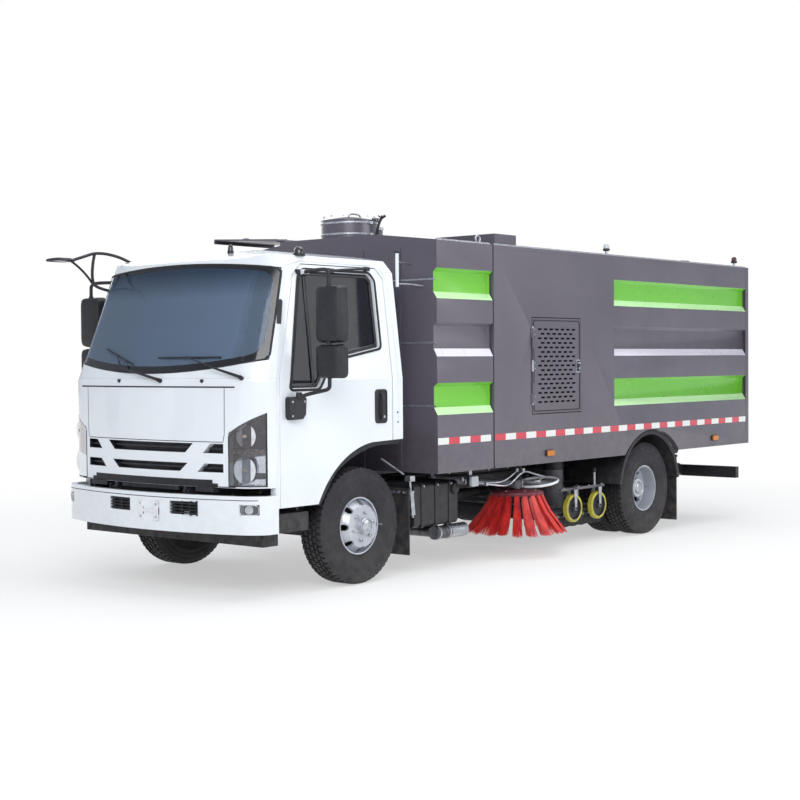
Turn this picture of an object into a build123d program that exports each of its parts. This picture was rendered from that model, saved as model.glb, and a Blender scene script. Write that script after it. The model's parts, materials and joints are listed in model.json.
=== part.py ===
from build123d import *
import math
import os

os.makedirs("parts", exist_ok=True)

# Street sweeper truck: cab-over chassis with a front module, a tipping hopper body,
# a suction nozzle and two side brushes. Millimetres, Z up, X rearward, Y to the right.
# The origin is on the ground under the middle of the vehicle's box. The sub-parts are
# modelled from the front axle, and save() moves them to the origin.

# Whole vehicle
overall_length = 6850
front_overhang = 1190
wheelbase = 3815
cab_width = 2000
body_width = 2213
tyre_radius = 415
skirt_bottom = 739
body_side_top = 2470
body_roof_top = 2540
roof_flat_width = 1010
cab_back = 460
module_front = 730
module_length = 660
module_gap = 45
hopper_tail = 5660
overrun = 60

front_axle_x = front_overhang - overall_length / 2
body_half = body_width / 2
cab_half = cab_width / 2
roof_flat_half = roof_flat_width / 2


def save(name, *shapes):
    """Write a sub-part of one or more solids, moved from the front axle to the origin."""
    solids = [solid for shape in shapes for solid in shape.solids()]
    placed = [Pos(front_axle_x, 0, 0) * solid for solid in solids]
    part = placed[0] if len(placed) == 1 else Compound(placed)
    export_step(part, f"parts/{name}.step")


def block(x0, x1, y0, y1, z0, z1):
    """Box between two corners."""
    corner = (Align.MIN, Align.MIN, Align.MIN)
    return Pos(x0, y0, z0) * Box(x1 - x0, y1 - y0, z1 - z0, align=corner)


def side_face(points):
    """Face from (x, z) points, in the plane of Y = 0."""
    return Face(Wire.make_polygon([(x, 0, z) for x, z in points], close=True))


def side_plate(points, y0, y1):
    """Prism from (x, z) points between two planes of Y."""
    return Pos(0, y0, 0) * extrude(side_face(points), amount=y1 - y0, dir=(0, 1, 0))


def cross_plate(points, x0, x1):
    """Prism from (y, z) points between two planes of X."""
    face = Face(Wire.make_polygon([(0, y, z) for y, z in points], close=True))
    return Pos(x0, 0, 0) * extrude(face, amount=x1 - x0, dir=(1, 0, 0))


def rod(start, end, radius):
    """Round bar between two points."""
    start, end = Vector(*start), Vector(*end)
    return Solid.make_cylinder(radius, (end - start).length, Plane(start, z_dir=end - start))


def tube(start, end, radius, bore):
    """Round bar with a bore right through."""
    return rod(start, end, radius) - rod(start, end, bore)


def turned(points, x, y, z, outward):
    """Ring turned about a line along Y from (radius, offset) points."""
    face = Face(Wire.make_polygon([(r, s * outward, 0) for r, s in points], close=True))
    return Pos(x, y, z) * revolve(face, Axis.Y)


def mirrored(shape):
    """The same piece on the other side of the vehicle."""
    return mirror(shape, about=Plane.XZ)


def both_sides(*shapes):
    """Each piece and its twin on the other side."""
    return [twin for shape in shapes for twin in (shape, mirrored(shape))]


# Wheels: one pressed wheel for every place, its disc outward in front and inward in the
# outer rear wheel. Offsets are from the tyre's middle plane.
tyre_width = 235
tread_width = 190
rim_seat_radius = 203
rim_flange_radius = 231
rim_half_width = 88
rim_wall = 9
disc_root_offset = 40
disc_face_offset = 122
disc_face_radius = 150
hub_radius = 82
hub_cap_radius = 58
hub_cap_reach = 152
hand_holes = 8
hand_hole_radius = 22
hand_hole_circle = 165
spindle_radius = 30
spindle_clearance = 0.3
front_track = 1770
twin_spacing = 266
rear_outer_track = 1850
drum_radius = 168
hub_end_reach = 25

wheel_z = tyre_radius
tyre_half = tyre_width / 2
front_wheel_y = front_track / 2
rear_outer_y = rear_outer_track / 2
rear_inner_y = rear_outer_y - twin_spacing
spindle_reach = rear_outer_y - disc_face_offset
bead_offset = rim_half_width - rim_wall
disc_back_offset = disc_face_offset - rim_wall
sidewall_radius = (rim_flange_radius + tyre_radius) / 2
shoulder_radius = tyre_radius - rim_wall * 2


def tyre(x, y, outward):
    """Tyre with bulged sides and square shoulders."""
    points = [
        (rim_seat_radius, -bead_offset),
        (rim_flange_radius, -bead_offset),
        (sidewall_radius, -tyre_half),
        (shoulder_radius, -tyre_half + rim_wall),
        (tyre_radius, -tread_width / 2),
        (tyre_radius, tread_width / 2),
        (shoulder_radius, tyre_half - rim_wall),
        (sidewall_radius, tyre_half),
        (rim_flange_radius, bead_offset),
        (rim_seat_radius, bead_offset),
    ]
    return turned(points, x, y, wheel_z, outward)


def wheel(x, y, outward):
    """Pressed wheel with its hand holes."""
    inner = rim_seat_radius - rim_wall
    points = [
        (rim_flange_radius, -rim_half_width),
        (rim_flange_radius, -bead_offset),
        (rim_seat_radius, -bead_offset),
        (rim_seat_radius, bead_offset),
        (rim_flange_radius, bead_offset),
        (rim_flange_radius, rim_half_width),
        (inner, rim_half_width),
        (inner, disc_root_offset + rim_wall),
        (disc_face_radius, disc_face_offset),
        (hub_cap_radius, disc_face_offset),
        (hub_cap_radius, disc_back_offset),
        (disc_face_radius - rim_wall, disc_back_offset),
        (inner, disc_root_offset - rim_wall),
        (inner, -rim_half_width),
    ]
    body = turned(points, x, y, wheel_z, outward)
    for index in range(hand_holes):
        angle = math.tau * index / hand_holes
        hole_x = x + hand_hole_circle * math.cos(angle)
        hole_z = wheel_z + hand_hole_circle * math.sin(angle)
        low = (hole_x, y, hole_z)
        high = (hole_x, y + outward * (disc_face_offset + overrun), hole_z)
        body = body - rod(low, high, hand_hole_radius)
    return body


def hub(x, start, end, bore_end):
    """Hub along Y, bored from its start for the spindle."""
    bore = rod((x, start, wheel_z), (x, bore_end, wheel_z), spindle_radius + spindle_clearance)
    return rod((x, start, wheel_z), (x, end, wheel_z), hub_radius) - bore


for side, sign in (("left", -1), ("right", 1)):
    save(f"tyre_front_{side}", tyre(0, sign * front_wheel_y, sign))
    front_hub = hub(0, sign * (front_wheel_y + disc_root_offset), sign * (front_wheel_y + disc_face_offset),
                    sign * (front_wheel_y + disc_back_offset + spindle_clearance))
    front_cap = rod((0, sign * (front_wheel_y + disc_face_offset), wheel_z),
                    (0, sign * (front_wheel_y + hub_cap_reach), wheel_z), hub_cap_radius)
    save(f"rim_front_{side}", wheel(0, sign * front_wheel_y, sign) + front_hub + front_cap)
    outer_tyre = tyre(wheelbase, sign * rear_outer_y, -sign)
    inner_tyre = tyre(wheelbase, sign * rear_inner_y, sign)
    save(f"tyres_rear_{side}", outer_tyre, inner_tyre)
    twin_wheels = wheel(wheelbase, sign * rear_outer_y, -sign) + wheel(wheelbase, sign * rear_inner_y, sign)
    rear_hub = hub(wheelbase, sign * (rear_inner_y + disc_root_offset), sign * (rear_outer_y + hub_end_reach),
                   sign * (spindle_reach + spindle_clearance))
    save(f"rims_rear_{side}", twin_wheels + rear_hub)

# Chassis frame: two channels, open inward, with cross members between them
frame_width = 830
rail_height = 180
rail_flange = 70
rail_steel = 9
frame_top = 700
frame_front = -980
frame_end = 5400
cross_member_length = 80
cross_member_height = 55
lift_pivot_x = 2300
cross_member_places = (frame_front + cross_member_length, 1450, lift_pivot_x, 3300, 4450,
                       frame_end - cross_member_length)
tip_hinge_x = 5450
tip_hinge_z = 660
tip_pin_radius = 18
tip_lug_radius = 38
tip_lug_width = 20
cab_hinge_x = -1070
cab_hinge_z = 702
cab_pin_radius = 12
cab_lug_width = 30

rail_outer = frame_width / 2
rail_inner = rail_outer - rail_flange
frame_bottom = frame_top - rail_height


def frame_rail():
    """Left channel with the tipping hinge's lug at its tail."""
    outside = block(frame_front, frame_end, -rail_outer, -rail_inner, frame_bottom, frame_top)
    inside = block(frame_front - overrun, frame_end + overrun, -rail_outer + rail_steel,
                   -rail_inner + overrun, frame_bottom + rail_steel, frame_top - rail_steel)
    web_y = -rail_outer
    lug_start = frame_end - cross_member_length
    lug = block(lug_start, tip_hinge_x, web_y, web_y + rail_steel,
                tip_hinge_z - tip_lug_radius, tip_hinge_z + tip_lug_radius)
    eye = rod((tip_hinge_x, web_y, tip_hinge_z), (tip_hinge_x, web_y + rail_steel, tip_hinge_z),
              tip_lug_radius)
    pin = rod((tip_hinge_x, web_y, tip_hinge_z), (tip_hinge_x, -rail_inner, tip_hinge_z),
              tip_pin_radius)
    nose = block(cab_hinge_x, frame_front + cross_member_length, web_y, web_y + rail_steel,
                 frame_bottom, cab_hinge_z)
    nose_eye = rod((cab_hinge_x, web_y, cab_hinge_z), (cab_hinge_x, web_y + rail_steel, cab_hinge_z),
                   cab_lug_width)
    nose_pin = rod((cab_hinge_x, web_y, cab_hinge_z), (cab_hinge_x, -rail_inner, cab_hinge_z),
                   cab_pin_radius)
    return outside - inside + lug + eye + pin + nose + nose_eye + nose_pin


save("frame_rails", *both_sides(frame_rail()))

# Each cylinder turns on a pin between two lugs on the third cross member
lift_y = 200
lift_pivot_z = 655
lift_eye_half = 25
lift_eye_radius = 40
lift_pin_radius = 15
lift_lug_gap = 6
lift_lug_width = 14

cross_half = rail_outer - rail_steel
cross_bottom = frame_bottom + rail_steel
members = []
for place in cross_member_places:
    member = block(place - cross_member_length / 2, place + cross_member_length / 2, -cross_half,
                   cross_half, cross_bottom, cross_bottom + cross_member_height)
    if place == lift_pivot_x:
        for sign in (-1, 1):
            lug_inner = lift_eye_half + lift_lug_gap
            lug_outer = lug_inner + lift_lug_width
            for lug_side in (-1, 1):
                near, far = sorted((sign * lift_y + lug_side * lug_inner, sign * lift_y + lug_side * lug_outer))
                member = member + block(place - lift_pin_radius * 2, place + lift_pin_radius * 2, near, far,
                                        cross_bottom, lift_pivot_z + lift_pin_radius * 2)
            member = member + rod((place, sign * lift_y - lug_outer, lift_pivot_z),
                                  (place, sign * lift_y + lug_outer, lift_pivot_z), lift_pin_radius)
    members.append(member)
save("frame_cross_members", *members)

# Front axle: a dropped beam between the king pins, and the leaf springs over it
king_pin_y = 780
king_pin_radius = 16
king_pin_clearance = 0.5
king_boss_radius = 40
beam_width = 70
beam_height = 90
beam_drop = 60
beam_drop_start = 480
beam_drop_end = 600
fork_gap = 1
fork_height = 50

beam_low = wheel_z - beam_drop - beam_height / 2
beam_points = [
    (-king_pin_y, wheel_z - beam_height / 2),
    (-beam_drop_end, wheel_z - beam_height / 2),
    (-beam_drop_start, beam_low),
    (beam_drop_start, beam_low),
    (beam_drop_end, wheel_z - beam_height / 2),
    (king_pin_y, wheel_z - beam_height / 2),
    (king_pin_y, wheel_z + beam_height / 2),
    (beam_drop_end, wheel_z + beam_height / 2),
    (beam_drop_start, beam_low + beam_height),
    (-beam_drop_start, beam_low + beam_height),
    (-beam_drop_end, wheel_z + beam_height / 2),
    (-king_pin_y, wheel_z + beam_height / 2),
]
beam = cross_plate(beam_points, -beam_width / 2, beam_width / 2)
for sign in (-1, 1):
    boss_low = (0, sign * king_pin_y, wheel_z - beam_height / 2)
    boss_high = (0, sign * king_pin_y, wheel_z + beam_height / 2)
    beam = beam + rod(boss_low, boss_high, king_boss_radius)
    beam = beam - rod(boss_low, boss_high, king_pin_radius + king_pin_clearance)
save("front_axle", beam)


def knuckle(sign):
    """King pin fork, steering plate and the spindle that the hub turns on."""
    eye_low = wheel_z - beam_height / 2 - fork_gap
    eye_high = wheel_z + beam_height / 2 + fork_gap
    y = sign * king_pin_y
    plate_in = sign * (king_pin_y + king_boss_radius + fork_gap)
    plate_out = sign * (king_pin_y + king_boss_radius + fork_gap + rim_wall)
    low = rod((0, y, eye_low - fork_height), (0, y, eye_low), king_boss_radius)
    high = rod((0, y, eye_high), (0, y, eye_high + fork_height), king_boss_radius)
    pin = rod((0, y, eye_low), (0, y, eye_high), king_pin_radius)
    fork_low = block(-king_boss_radius, king_boss_radius, min(y, plate_out), max(y, plate_out),
                     eye_low - fork_height, eye_low)
    fork_high = block(-king_boss_radius, king_boss_radius, min(y, plate_out), max(y, plate_out),
                      eye_high, eye_high + fork_height)
    plate = rod((0, plate_in, wheel_z), (0, plate_out, wheel_z), drum_radius)
    spindle_end = sign * (front_wheel_y + disc_back_offset)
    spindle = rod((0, plate_in, wheel_z), (0, spindle_end, wheel_z), spindle_radius)
    return low + high + pin + fork_low + fork_high + plate + spindle


save("knuckle_left", knuckle(-1))
save("knuckle_right", knuckle(1))

# Rear axle: housing, differential, spindles and the drive shaft from the gearbox
housing_radius = 62
differential_radius = 185
differential_width = 260
shaft_radius = 38
gearbox_end = 690
brake_plate_radius = 160

housing_half = rear_inner_y - rim_half_width / 2
rear_axle = rod((wheelbase, -housing_half, wheel_z), (wheelbase, housing_half, wheel_z), housing_radius)
bowl = rod((wheelbase, -differential_width / 2, wheel_z), (wheelbase, differential_width / 2, wheel_z),
           differential_radius)
bowl_band = rod((wheelbase, -differential_width, wheel_z), (wheelbase, differential_width, wheel_z),
                (housing_radius + differential_radius) / 2)
spindles = rod((wheelbase, -spindle_reach, wheel_z), (wheelbase, spindle_reach, wheel_z), spindle_radius)
drive_shaft = rod((gearbox_end, 0, wheel_z), (wheelbase, 0, wheel_z), shaft_radius)
rear_axle = rear_axle + bowl + bowl_band + spindles + drive_shaft
for sign in (-1, 1):
    plate_y = sign * (housing_half - rim_wall)
    rear_axle = rear_axle + rod((wheelbase, plate_y, wheel_z), (wheelbase, sign * housing_half, wheel_z),
                                brake_plate_radius)
save("rear_axle", rear_axle)

# Leaf springs: under the rails in front, beside them behind
leaf_width = 70
leaf_pack = 55
front_spring_half = 600
rear_spring_half = 620
front_spring_rise = 50
rear_spring_rise = 5
hanger_length = 60
rear_spring_offset = 20


def leaf_spring(x, y, low, rise, half):
    """Pack of leaves, thick in the middle and thin at the eyes, with its two hangers."""
    points = [
        (x - half, low + rise),
        (x - half, low + rise + leaf_pack / 2),
        (x, low + leaf_pack),
        (x + half, low + rise + leaf_pack / 2),
        (x + half, low + rise),
        (x, low),
    ]
    return side_plate(points, y - leaf_width / 2, y + leaf_width / 2)


front_spring_y = (rail_outer + rail_inner) / 2
front_spring_low = beam_low + beam_height
rear_spring_y = rail_outer + rear_spring_offset + leaf_width / 2
rear_spring_low = wheel_z + housing_radius
springs = []
for sign in (-1, 1):
    springs.append(leaf_spring(0, sign * front_spring_y, front_spring_low, front_spring_rise,
                               front_spring_half))
    springs.append(leaf_spring(wheelbase, sign * rear_spring_y, rear_spring_low, rear_spring_rise,
                               rear_spring_half))
    for end in (-1, 1):
        x = end * (front_spring_half - hanger_length / 2)
        eye_low = front_spring_low + front_spring_rise + leaf_pack / 2
        springs.append(block(x - hanger_length / 2, x + hanger_length / 2,
                             sign * front_spring_y - leaf_width / 2,
                             sign * front_spring_y + leaf_width / 2, eye_low, frame_bottom))
        x = wheelbase + end * (rear_spring_half - hanger_length / 2)
        near, far = sorted((sign * rail_outer, sign * (rear_spring_y + leaf_width / 2)))
        eye_low = rear_spring_low + rear_spring_rise + leaf_pack / 2
        springs.append(block(x - hanger_length / 2, x + hanger_length / 2, near, far,
                             eye_low, frame_top - hanger_length))
save("leaf_springs", *springs)

# Engines: the truck's own with its gearbox, and the sweeper's in the front module
engine_front = -380
engine_back = 420
engine_half = 260
engine_bottom = 440
engine_top = 960
gearbox_half = 170
gearbox_bottom = 460
gearbox_top = 820
auxiliary_length = 500
auxiliary_half = 520
auxiliary_height = 720
module_floor_top = 980
wall = 50

module_back = module_front + module_length
auxiliary_x = (module_front + module_back) / 2
truck_engine = block(engine_front, engine_back, -engine_half, engine_half, engine_bottom, engine_top)
gearbox = block(engine_back, gearbox_end, -gearbox_half, gearbox_half, gearbox_bottom, gearbox_top)
auxiliary = block(auxiliary_x - auxiliary_length / 2, auxiliary_x + auxiliary_length / 2,
                  -auxiliary_half, auxiliary_half, module_floor_top,
                  module_floor_top + auxiliary_height)
engine_mount = block(-hanger_length, hanger_length, engine_half, rail_inner, frame_bottom,
                     frame_bottom + hanger_length)
save("engines", truck_engine + gearbox + engine_mount + mirrored(engine_mount), auxiliary)

# Side tanks, exhaust, mudflaps and steps hung from the rails
tank_front = 660
tank_back = 1190
tank_outer = 930
tank_bottom = 330
tank_top = 660
exhaust_radius = 50
exhaust_wall = 4
silencer_strap_lap = 20
exhaust_start = 1000
exhaust_tail = 1300
exhaust_z = 270
exhaust_y = 900
silencer_radius = 90
silencer_front = 850
silencer_back = 1350
silencer_y = 250
silencer_z = 390
cross_pipe_radius = 42
flap_thickness = 10
front_flap_x = 520
front_flap_bottom = 150
front_flap_top = 640
front_flap_inner = 770
front_flap_outer = 1000
rear_flap_x = 4340
rear_flap_bottom = 83
rear_flap_top = 690
rear_flap_inner = 520
rear_flap_outer = 1045
flap_bar = 24
tank_edge_round = 35

tank = block(tank_front, tank_back, -tank_outer, -rail_outer, tank_bottom, tank_top)
tank = fillet(tank.edges().filter_by(Axis.X), tank_edge_round)
battery = block(tank_front, tank_back, rail_outer, tank_outer, tank_bottom, tank_top)
battery = fillet(battery.edges().filter_by(Axis.Z), tank_edge_round)
save("side_tanks", tank, battery)

silencer = rod((silencer_front, -silencer_y, silencer_z), (silencer_back, -silencer_y, silencer_z),
               silencer_radius)
silencer_strap = block(silencer_front + hanger_length, silencer_front + hanger_length * 2,
                       -rail_inner - silencer_strap_lap, -silencer_y, silencer_z, frame_bottom)
cross_pipe = rod((exhaust_start, -silencer_y, exhaust_z), (exhaust_start, -exhaust_y, exhaust_z),
                 cross_pipe_radius)
tail_pipe = rod((exhaust_start - exhaust_radius * 3 / 2, -exhaust_y, exhaust_z),
                (exhaust_tail, -exhaust_y, exhaust_z), exhaust_radius)
tail_bore = rod((exhaust_start + exhaust_radius, -exhaust_y, exhaust_z),
                (exhaust_tail, -exhaust_y, exhaust_z), exhaust_radius - exhaust_wall)
save("exhaust", silencer + silencer_strap + cross_pipe + tail_pipe - tail_bore)

front_flap = block(front_flap_x, front_flap_x + flap_thickness, -front_flap_outer, -front_flap_inner,
                   front_flap_bottom, front_flap_top)
front_bar = block(front_flap_x, front_flap_x + flap_bar, -front_flap_inner - flap_bar, -rail_outer,
                  front_flap_top - flap_bar, front_flap_top)
rear_flap = block(rear_flap_x, rear_flap_x + flap_thickness, -rear_flap_outer, -rear_flap_inner,
                  rear_flap_bottom, rear_flap_top)
rear_bar = block(rear_flap_x, rear_flap_x + flap_bar, -rear_flap_outer, -rail_outer,
                 rear_flap_top - flap_bar, rear_flap_top)
flaps = both_sides(front_flap + front_bar, rear_flap + rear_bar)

# Rear guard bar under the hopper's tail
guard_bottom = 400
guard_height = 110
guard_front = 5460
guard_depth = 60
guard_half = 1070
guard_arm_start = 5150
guard_arm_width = 60

guard = block(guard_front, guard_front + guard_depth, -guard_half, guard_half, guard_bottom,
              guard_bottom + guard_height)
guard_arm_points = [
    (guard_arm_start, frame_bottom + rail_steel),
    (guard_arm_start, frame_bottom),
    (guard_front, guard_bottom),
    (guard_front, guard_bottom + guard_height),
    (frame_end, frame_bottom + rail_steel),
]
guard_arm = side_plate(guard_arm_points, -rail_outer - guard_arm_width, -rail_outer)
# Tow plate behind the bar, with an upright bore for a pin
tow_reach = 50
tow_half_width = 40
tow_thick = 30
tow_low = 440
tow_bore = 18
tow_x = guard_front + guard_depth + tow_reach
tow_plate = block(guard_front + guard_depth, tow_x, -tow_half_width, tow_half_width, tow_low,
                  tow_low + tow_thick)
tow_plate = tow_plate + rod((tow_x, 0, tow_low), (tow_x, 0, tow_low + tow_thick), tow_half_width)
tow_plate = tow_plate - rod((tow_x, 0, tow_low), (tow_x, 0, tow_low + tow_thick), tow_bore)
save("rear_guard", guard + tow_plate + guard_arm + mirrored(guard_arm))


# Cab shell: plan sections with a bowed front and rounded corners. Every value of a
# section is a place on the outer skin, and inset moves all of them inward.
cab_wall = 50
cab_front_low = -1100
cab_corner_low = -1020
cab_corner_half_low = 830
cab_side_low = -870
cab_front_high = -755
cab_corner_high = -690
cab_corner_half_high = 725
cab_side_high = -580
cab_half_high = 885
cab_bottom = 560
cab_belt = 1450
cab_top = 2385
cab_roof_side = 2300
cab_roof_front = 2285
cab_roof_back_start = 330
cab_roof_back_start_z = 2340
cab_roof_back_end_z = 2215
corner_normal = 30
corner_bow = 22


def plan_wire(front, corner, corner_half, side, half, back, z, inset):
    """Closed section at one height."""
    lean = math.radians(corner_normal)
    tip = (corner + inset * math.cos(lean), corner_half - inset * math.sin(lean))
    flank = (side + inset * math.sin(lean), half - inset)
    nose = (front + inset, 0)
    middle = ((tip[0] + flank[0]) / 2 - corner_bow * math.cos(lean),
              (tip[1] + flank[1]) / 2 + corner_bow * math.sin(lean))
    rear = back - inset
    edges = [
        Line((rear, -flank[1], z), (flank[0], -flank[1], z)),
        ThreePointArc((flank[0], -flank[1], z), (middle[0], -middle[1], z), (tip[0], -tip[1], z)),
        ThreePointArc((tip[0], -tip[1], z), (nose[0], 0, z), (tip[0], tip[1], z)),
        ThreePointArc((tip[0], tip[1], z), (middle[0], middle[1], z), (flank[0], flank[1], z)),
        Line((flank[0], flank[1], z), (rear, flank[1], z)),
        Line((rear, flank[1], z), (rear, -flank[1], z)),
    ]
    return Wire([edge.edge() for edge in edges])


def cab_form(inset):
    """Solid inside of the cab's skin, moved inward by inset."""
    low = plan_wire(cab_front_low, cab_corner_low, cab_corner_half_low, cab_side_low, cab_half,
                    cab_back, 0, inset)
    lower = Pos(0, 0, cab_bottom) * extrude(Face(low), amount=cab_belt - cab_bottom, dir=(0, 0, 1))
    belt = plan_wire(cab_front_low, cab_corner_low, cab_corner_half_low, cab_side_low, cab_half,
                     cab_back, cab_belt, inset)
    high = plan_wire(cab_front_high, cab_corner_high, cab_corner_half_high, cab_side_high,
                     cab_half_high, cab_back, cab_top, inset)
    upper = Solid.make_loft([belt, high], True)
    crown_edges = [
        Line((0, -cab_half - overrun, 0), (0, -cab_half - overrun, cab_roof_side - inset)),
        Line((0, -cab_half - overrun, cab_roof_side - inset), (0, -cab_half_high, cab_roof_side - inset)),
        ThreePointArc((0, -cab_half_high, cab_roof_side - inset), (0, 0, cab_top - inset),
                      (0, cab_half_high, cab_roof_side - inset)),
        Line((0, cab_half_high, cab_roof_side - inset), (0, cab_half + overrun, cab_roof_side - inset)),
        Line((0, cab_half + overrun, cab_roof_side - inset), (0, cab_half + overrun, 0)),
        Line((0, cab_half + overrun, 0), (0, -cab_half - overrun, 0)),
    ]
    crown_face = Face(Wire([edge.edge() for edge in crown_edges]))
    reach = cab_back - cab_front_low + overrun * 2
    crown = Pos(cab_front_low - overrun, 0, 0) * extrude(crown_face, amount=reach, dir=(1, 0, 0))
    rear = cab_back - inset
    rear_start = cab_roof_back_start - inset * 2 / 3
    middle_x = (cab_front_high + rear_start) / 2
    profile_edges = [
        Line((cab_front_low - overrun, 0, 0), (cab_front_low - overrun, 0, cab_roof_front - inset)),
        Line((cab_front_low - overrun, 0, cab_roof_front - inset),
             (cab_front_high + inset, 0, cab_roof_front - inset)),
        ThreePointArc((cab_front_high + inset, 0, cab_roof_front - inset),
                      (middle_x, 0, cab_top - inset),
                      (rear_start, 0, cab_roof_back_start_z - inset)),
        Line((rear_start, 0, cab_roof_back_start_z - inset), (rear, 0, cab_roof_back_end_z - inset / 2)),
        Line((rear, 0, cab_roof_back_end_z - inset / 2), (rear, 0, 0)),
        Line((rear, 0, 0), (cab_front_low - overrun, 0, 0)),
    ]
    profile_face = Face(Wire([edge.edge() for edge in profile_edges]))
    profile = Pos(0, -cab_half - overrun, 0) * extrude(profile_face, amount=cab_width + overrun * 2,
                                                       dir=(0, 1, 0))
    return (lower + upper) & crown & profile


# Side openings of the cab, as (x, z) outlines, and the wheel arch under the door
panel_bottom = 742
door_front = -812
door_bottom = 602
door_pillar_top_x = -590
door_pillar_top_z = 2170
door_top_front_x = -500
door_top = 2246
door_rear = 352
door_rear_corner = 270
door_rear_corner_z = 2170
arch_front_x = -440
arch_middle_x = -225
arch_middle_z = 860
arch_top_x = 120
arch_top = 1000
arch_rear_z = 1012
front_step_x = -850

cab_bottom_edges = [
    Line((cab_front_low - overrun, 0, 0), (cab_front_low - overrun, 0, panel_bottom)),
    Line((cab_front_low - overrun, 0, panel_bottom), (front_step_x, 0, panel_bottom)),
    Line((front_step_x, 0, panel_bottom), (front_step_x, 0, door_bottom)),
    Line((front_step_x, 0, door_bottom), (arch_front_x, 0, door_bottom)),
    ThreePointArc((arch_front_x, 0, door_bottom), (arch_middle_x, 0, arch_middle_z),
                  (arch_top_x, 0, arch_top)),
    Line((arch_top_x, 0, arch_top), (cab_back + overrun, 0, arch_rear_z)),
    Line((cab_back + overrun, 0, arch_rear_z), (cab_back + overrun, 0, 0)),
    Line((cab_back + overrun, 0, 0), (cab_front_low - overrun, 0, 0)),
]
cab_bottom_face = Face(Wire([edge.edge() for edge in cab_bottom_edges]))
below_cab = Pos(0, -cab_half - overrun, 0) * extrude(cab_bottom_face, amount=cab_width + overrun * 2,
                                                     dir=(0, 1, 0))
cab_inside = cab_form(cab_wall)
cab_skin = cab_form(0) - cab_inside - below_cab

door_gap = 6
door_rear_gap = 10
door_outline = [
    (door_front, door_bottom - overrun),
    (door_front, door_bottom),
    (door_front, cab_belt),
    (door_pillar_top_x, door_pillar_top_z),
    (door_top_front_x, door_top),
    (door_rear_corner, door_top),
    (door_rear, door_rear_corner_z),
    (door_rear, door_bottom - overrun),
]
door_gaps = (door_gap, door_gap, door_gap, door_gap, 0, 0, -door_rear_gap, -door_rear_gap)
door_drop = (0, 0, 0, -door_gap, -door_gap, -door_gap, -door_gap, 0)
door_leaf_outline = []
for (x, z), shift, drop in zip(door_outline, door_gaps, door_drop):
    door_leaf_outline.append((x + shift, z + drop))
door_zone = cab_half * 3 / 4
doorway = side_plate(door_outline, -cab_half - overrun, -door_zone)
door_leaf = side_plate(door_leaf_outline, -cab_half - overrun, -door_zone)
door_gap_zones = doorway + mirrored(doorway)

# Windscreen opening: wider below, cut back to a leaning line at each pillar
screen_bottom = 1500
screen_bottom_side = 1590
screen_bottom_half = 960
screen_top = 2262
screen_top_side = 2215
screen_top_half = 890
pillar_edge_low_x = -852
pillar_edge_low_z = 1590
pillar_edge_high_x = -655
pillar_edge_high_z = 2230
screen_glass = 6
screen_edges = [
    ThreePointArc((0, -screen_bottom_half, screen_bottom_side), (0, 0, screen_bottom),
                  (0, screen_bottom_half, screen_bottom_side)),
    Line((0, screen_bottom_half, screen_bottom_side), (0, screen_top_half, screen_top_side)),
    ThreePointArc((0, screen_top_half, screen_top_side), (0, 0, screen_top),
                  (0, -screen_top_half, screen_top_side)),
    Line((0, -screen_top_half, screen_top_side), (0, -screen_bottom_half, screen_bottom_side)),
]
screen_face = Face(Wire([edge.edge() for edge in screen_edges]))
screen_reach = pillar_edge_high_x - cab_front_low + overrun
screen_prism = Pos(cab_front_low - overrun, 0, 0) * extrude(screen_face, amount=screen_reach,
                                                            dir=(1, 0, 0))
pillar_slope = (pillar_edge_high_x - pillar_edge_low_x) / (pillar_edge_high_z - pillar_edge_low_z)
pillar_foot_x = pillar_edge_low_x - pillar_slope * (pillar_edge_low_z - cab_belt)
pillar_head_x = pillar_edge_high_x + pillar_slope * (cab_top - pillar_edge_high_z)
ahead_of_pillars = side_plate([
    (cab_front_low - overrun, cab_belt),
    (pillar_foot_x, cab_belt),
    (pillar_head_x, cab_top),
    (cab_front_low - overrun, cab_top),
], -cab_half - overrun, cab_half + overrun)
screen_zone = screen_prism & ahead_of_pillars
screen_pane = (cab_form(screen_glass) - cab_form(screen_glass * 2)) & screen_zone

# Rear window and the splits between roof, front, pillars and rear panel
rear_window_half = 560
rear_window_low = 1620
rear_window_high = 2080
roof_split = 2222
cowl_z = 1470
front_split = -835
door_hinge_low = 800
door_hinge_high = 1260
door_hinge_length = 90
door_pin_radius = 2.7
door_hinge_inset = 4
rear_split = door_rear_corner

rear_window = block(cab_back - cab_wall - overrun, cab_back + overrun, -rear_window_half,
                    rear_window_half, rear_window_low, rear_window_high)
rear_pane_x = cab_back - cab_wall / 2
rear_pane = block(rear_pane_x, rear_pane_x + screen_glass, -rear_window_half, rear_window_half,
                  rear_window_low, rear_window_high)
save("cab_glass", screen_pane, rear_pane)

cab_frame = cab_skin - door_gap_zones - screen_zone - rear_window
wide = cab_half + overrun
roof_zone = block(cab_front_low - overrun, cab_back + overrun, -wide, wide, roof_split,
                  cab_top + overrun)
rear_zone = block(rear_split, cab_back + overrun, -wide, wide, 0, roof_split)
front_zone = block(cab_front_low - overrun, front_split, -wide, wide, 0, cowl_z)
save("cab_roof", cab_frame & roof_zone)
save("cab_rear", cab_frame & rear_zone)
hinge_x = door_front + door_gap / 2
hinge_y = cab_half - door_hinge_inset
pillars = cab_frame - roof_zone - rear_zone - front_zone
for low in (door_hinge_low, door_hinge_high):
    pin = rod((hinge_x, -hinge_y, low), (hinge_x, -hinge_y, low + door_hinge_length), door_pin_radius)
    tab = block(hinge_x - door_gap * 2, hinge_x, -hinge_y - door_pin_radius, -hinge_y + door_pin_radius,
                low + door_hinge_length / 3, low + door_hinge_length * 2 / 3)
    pillars = pillars + pin + tab + mirrored(pin) + mirrored(tab)
save("cab_pillars", pillars)

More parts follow.
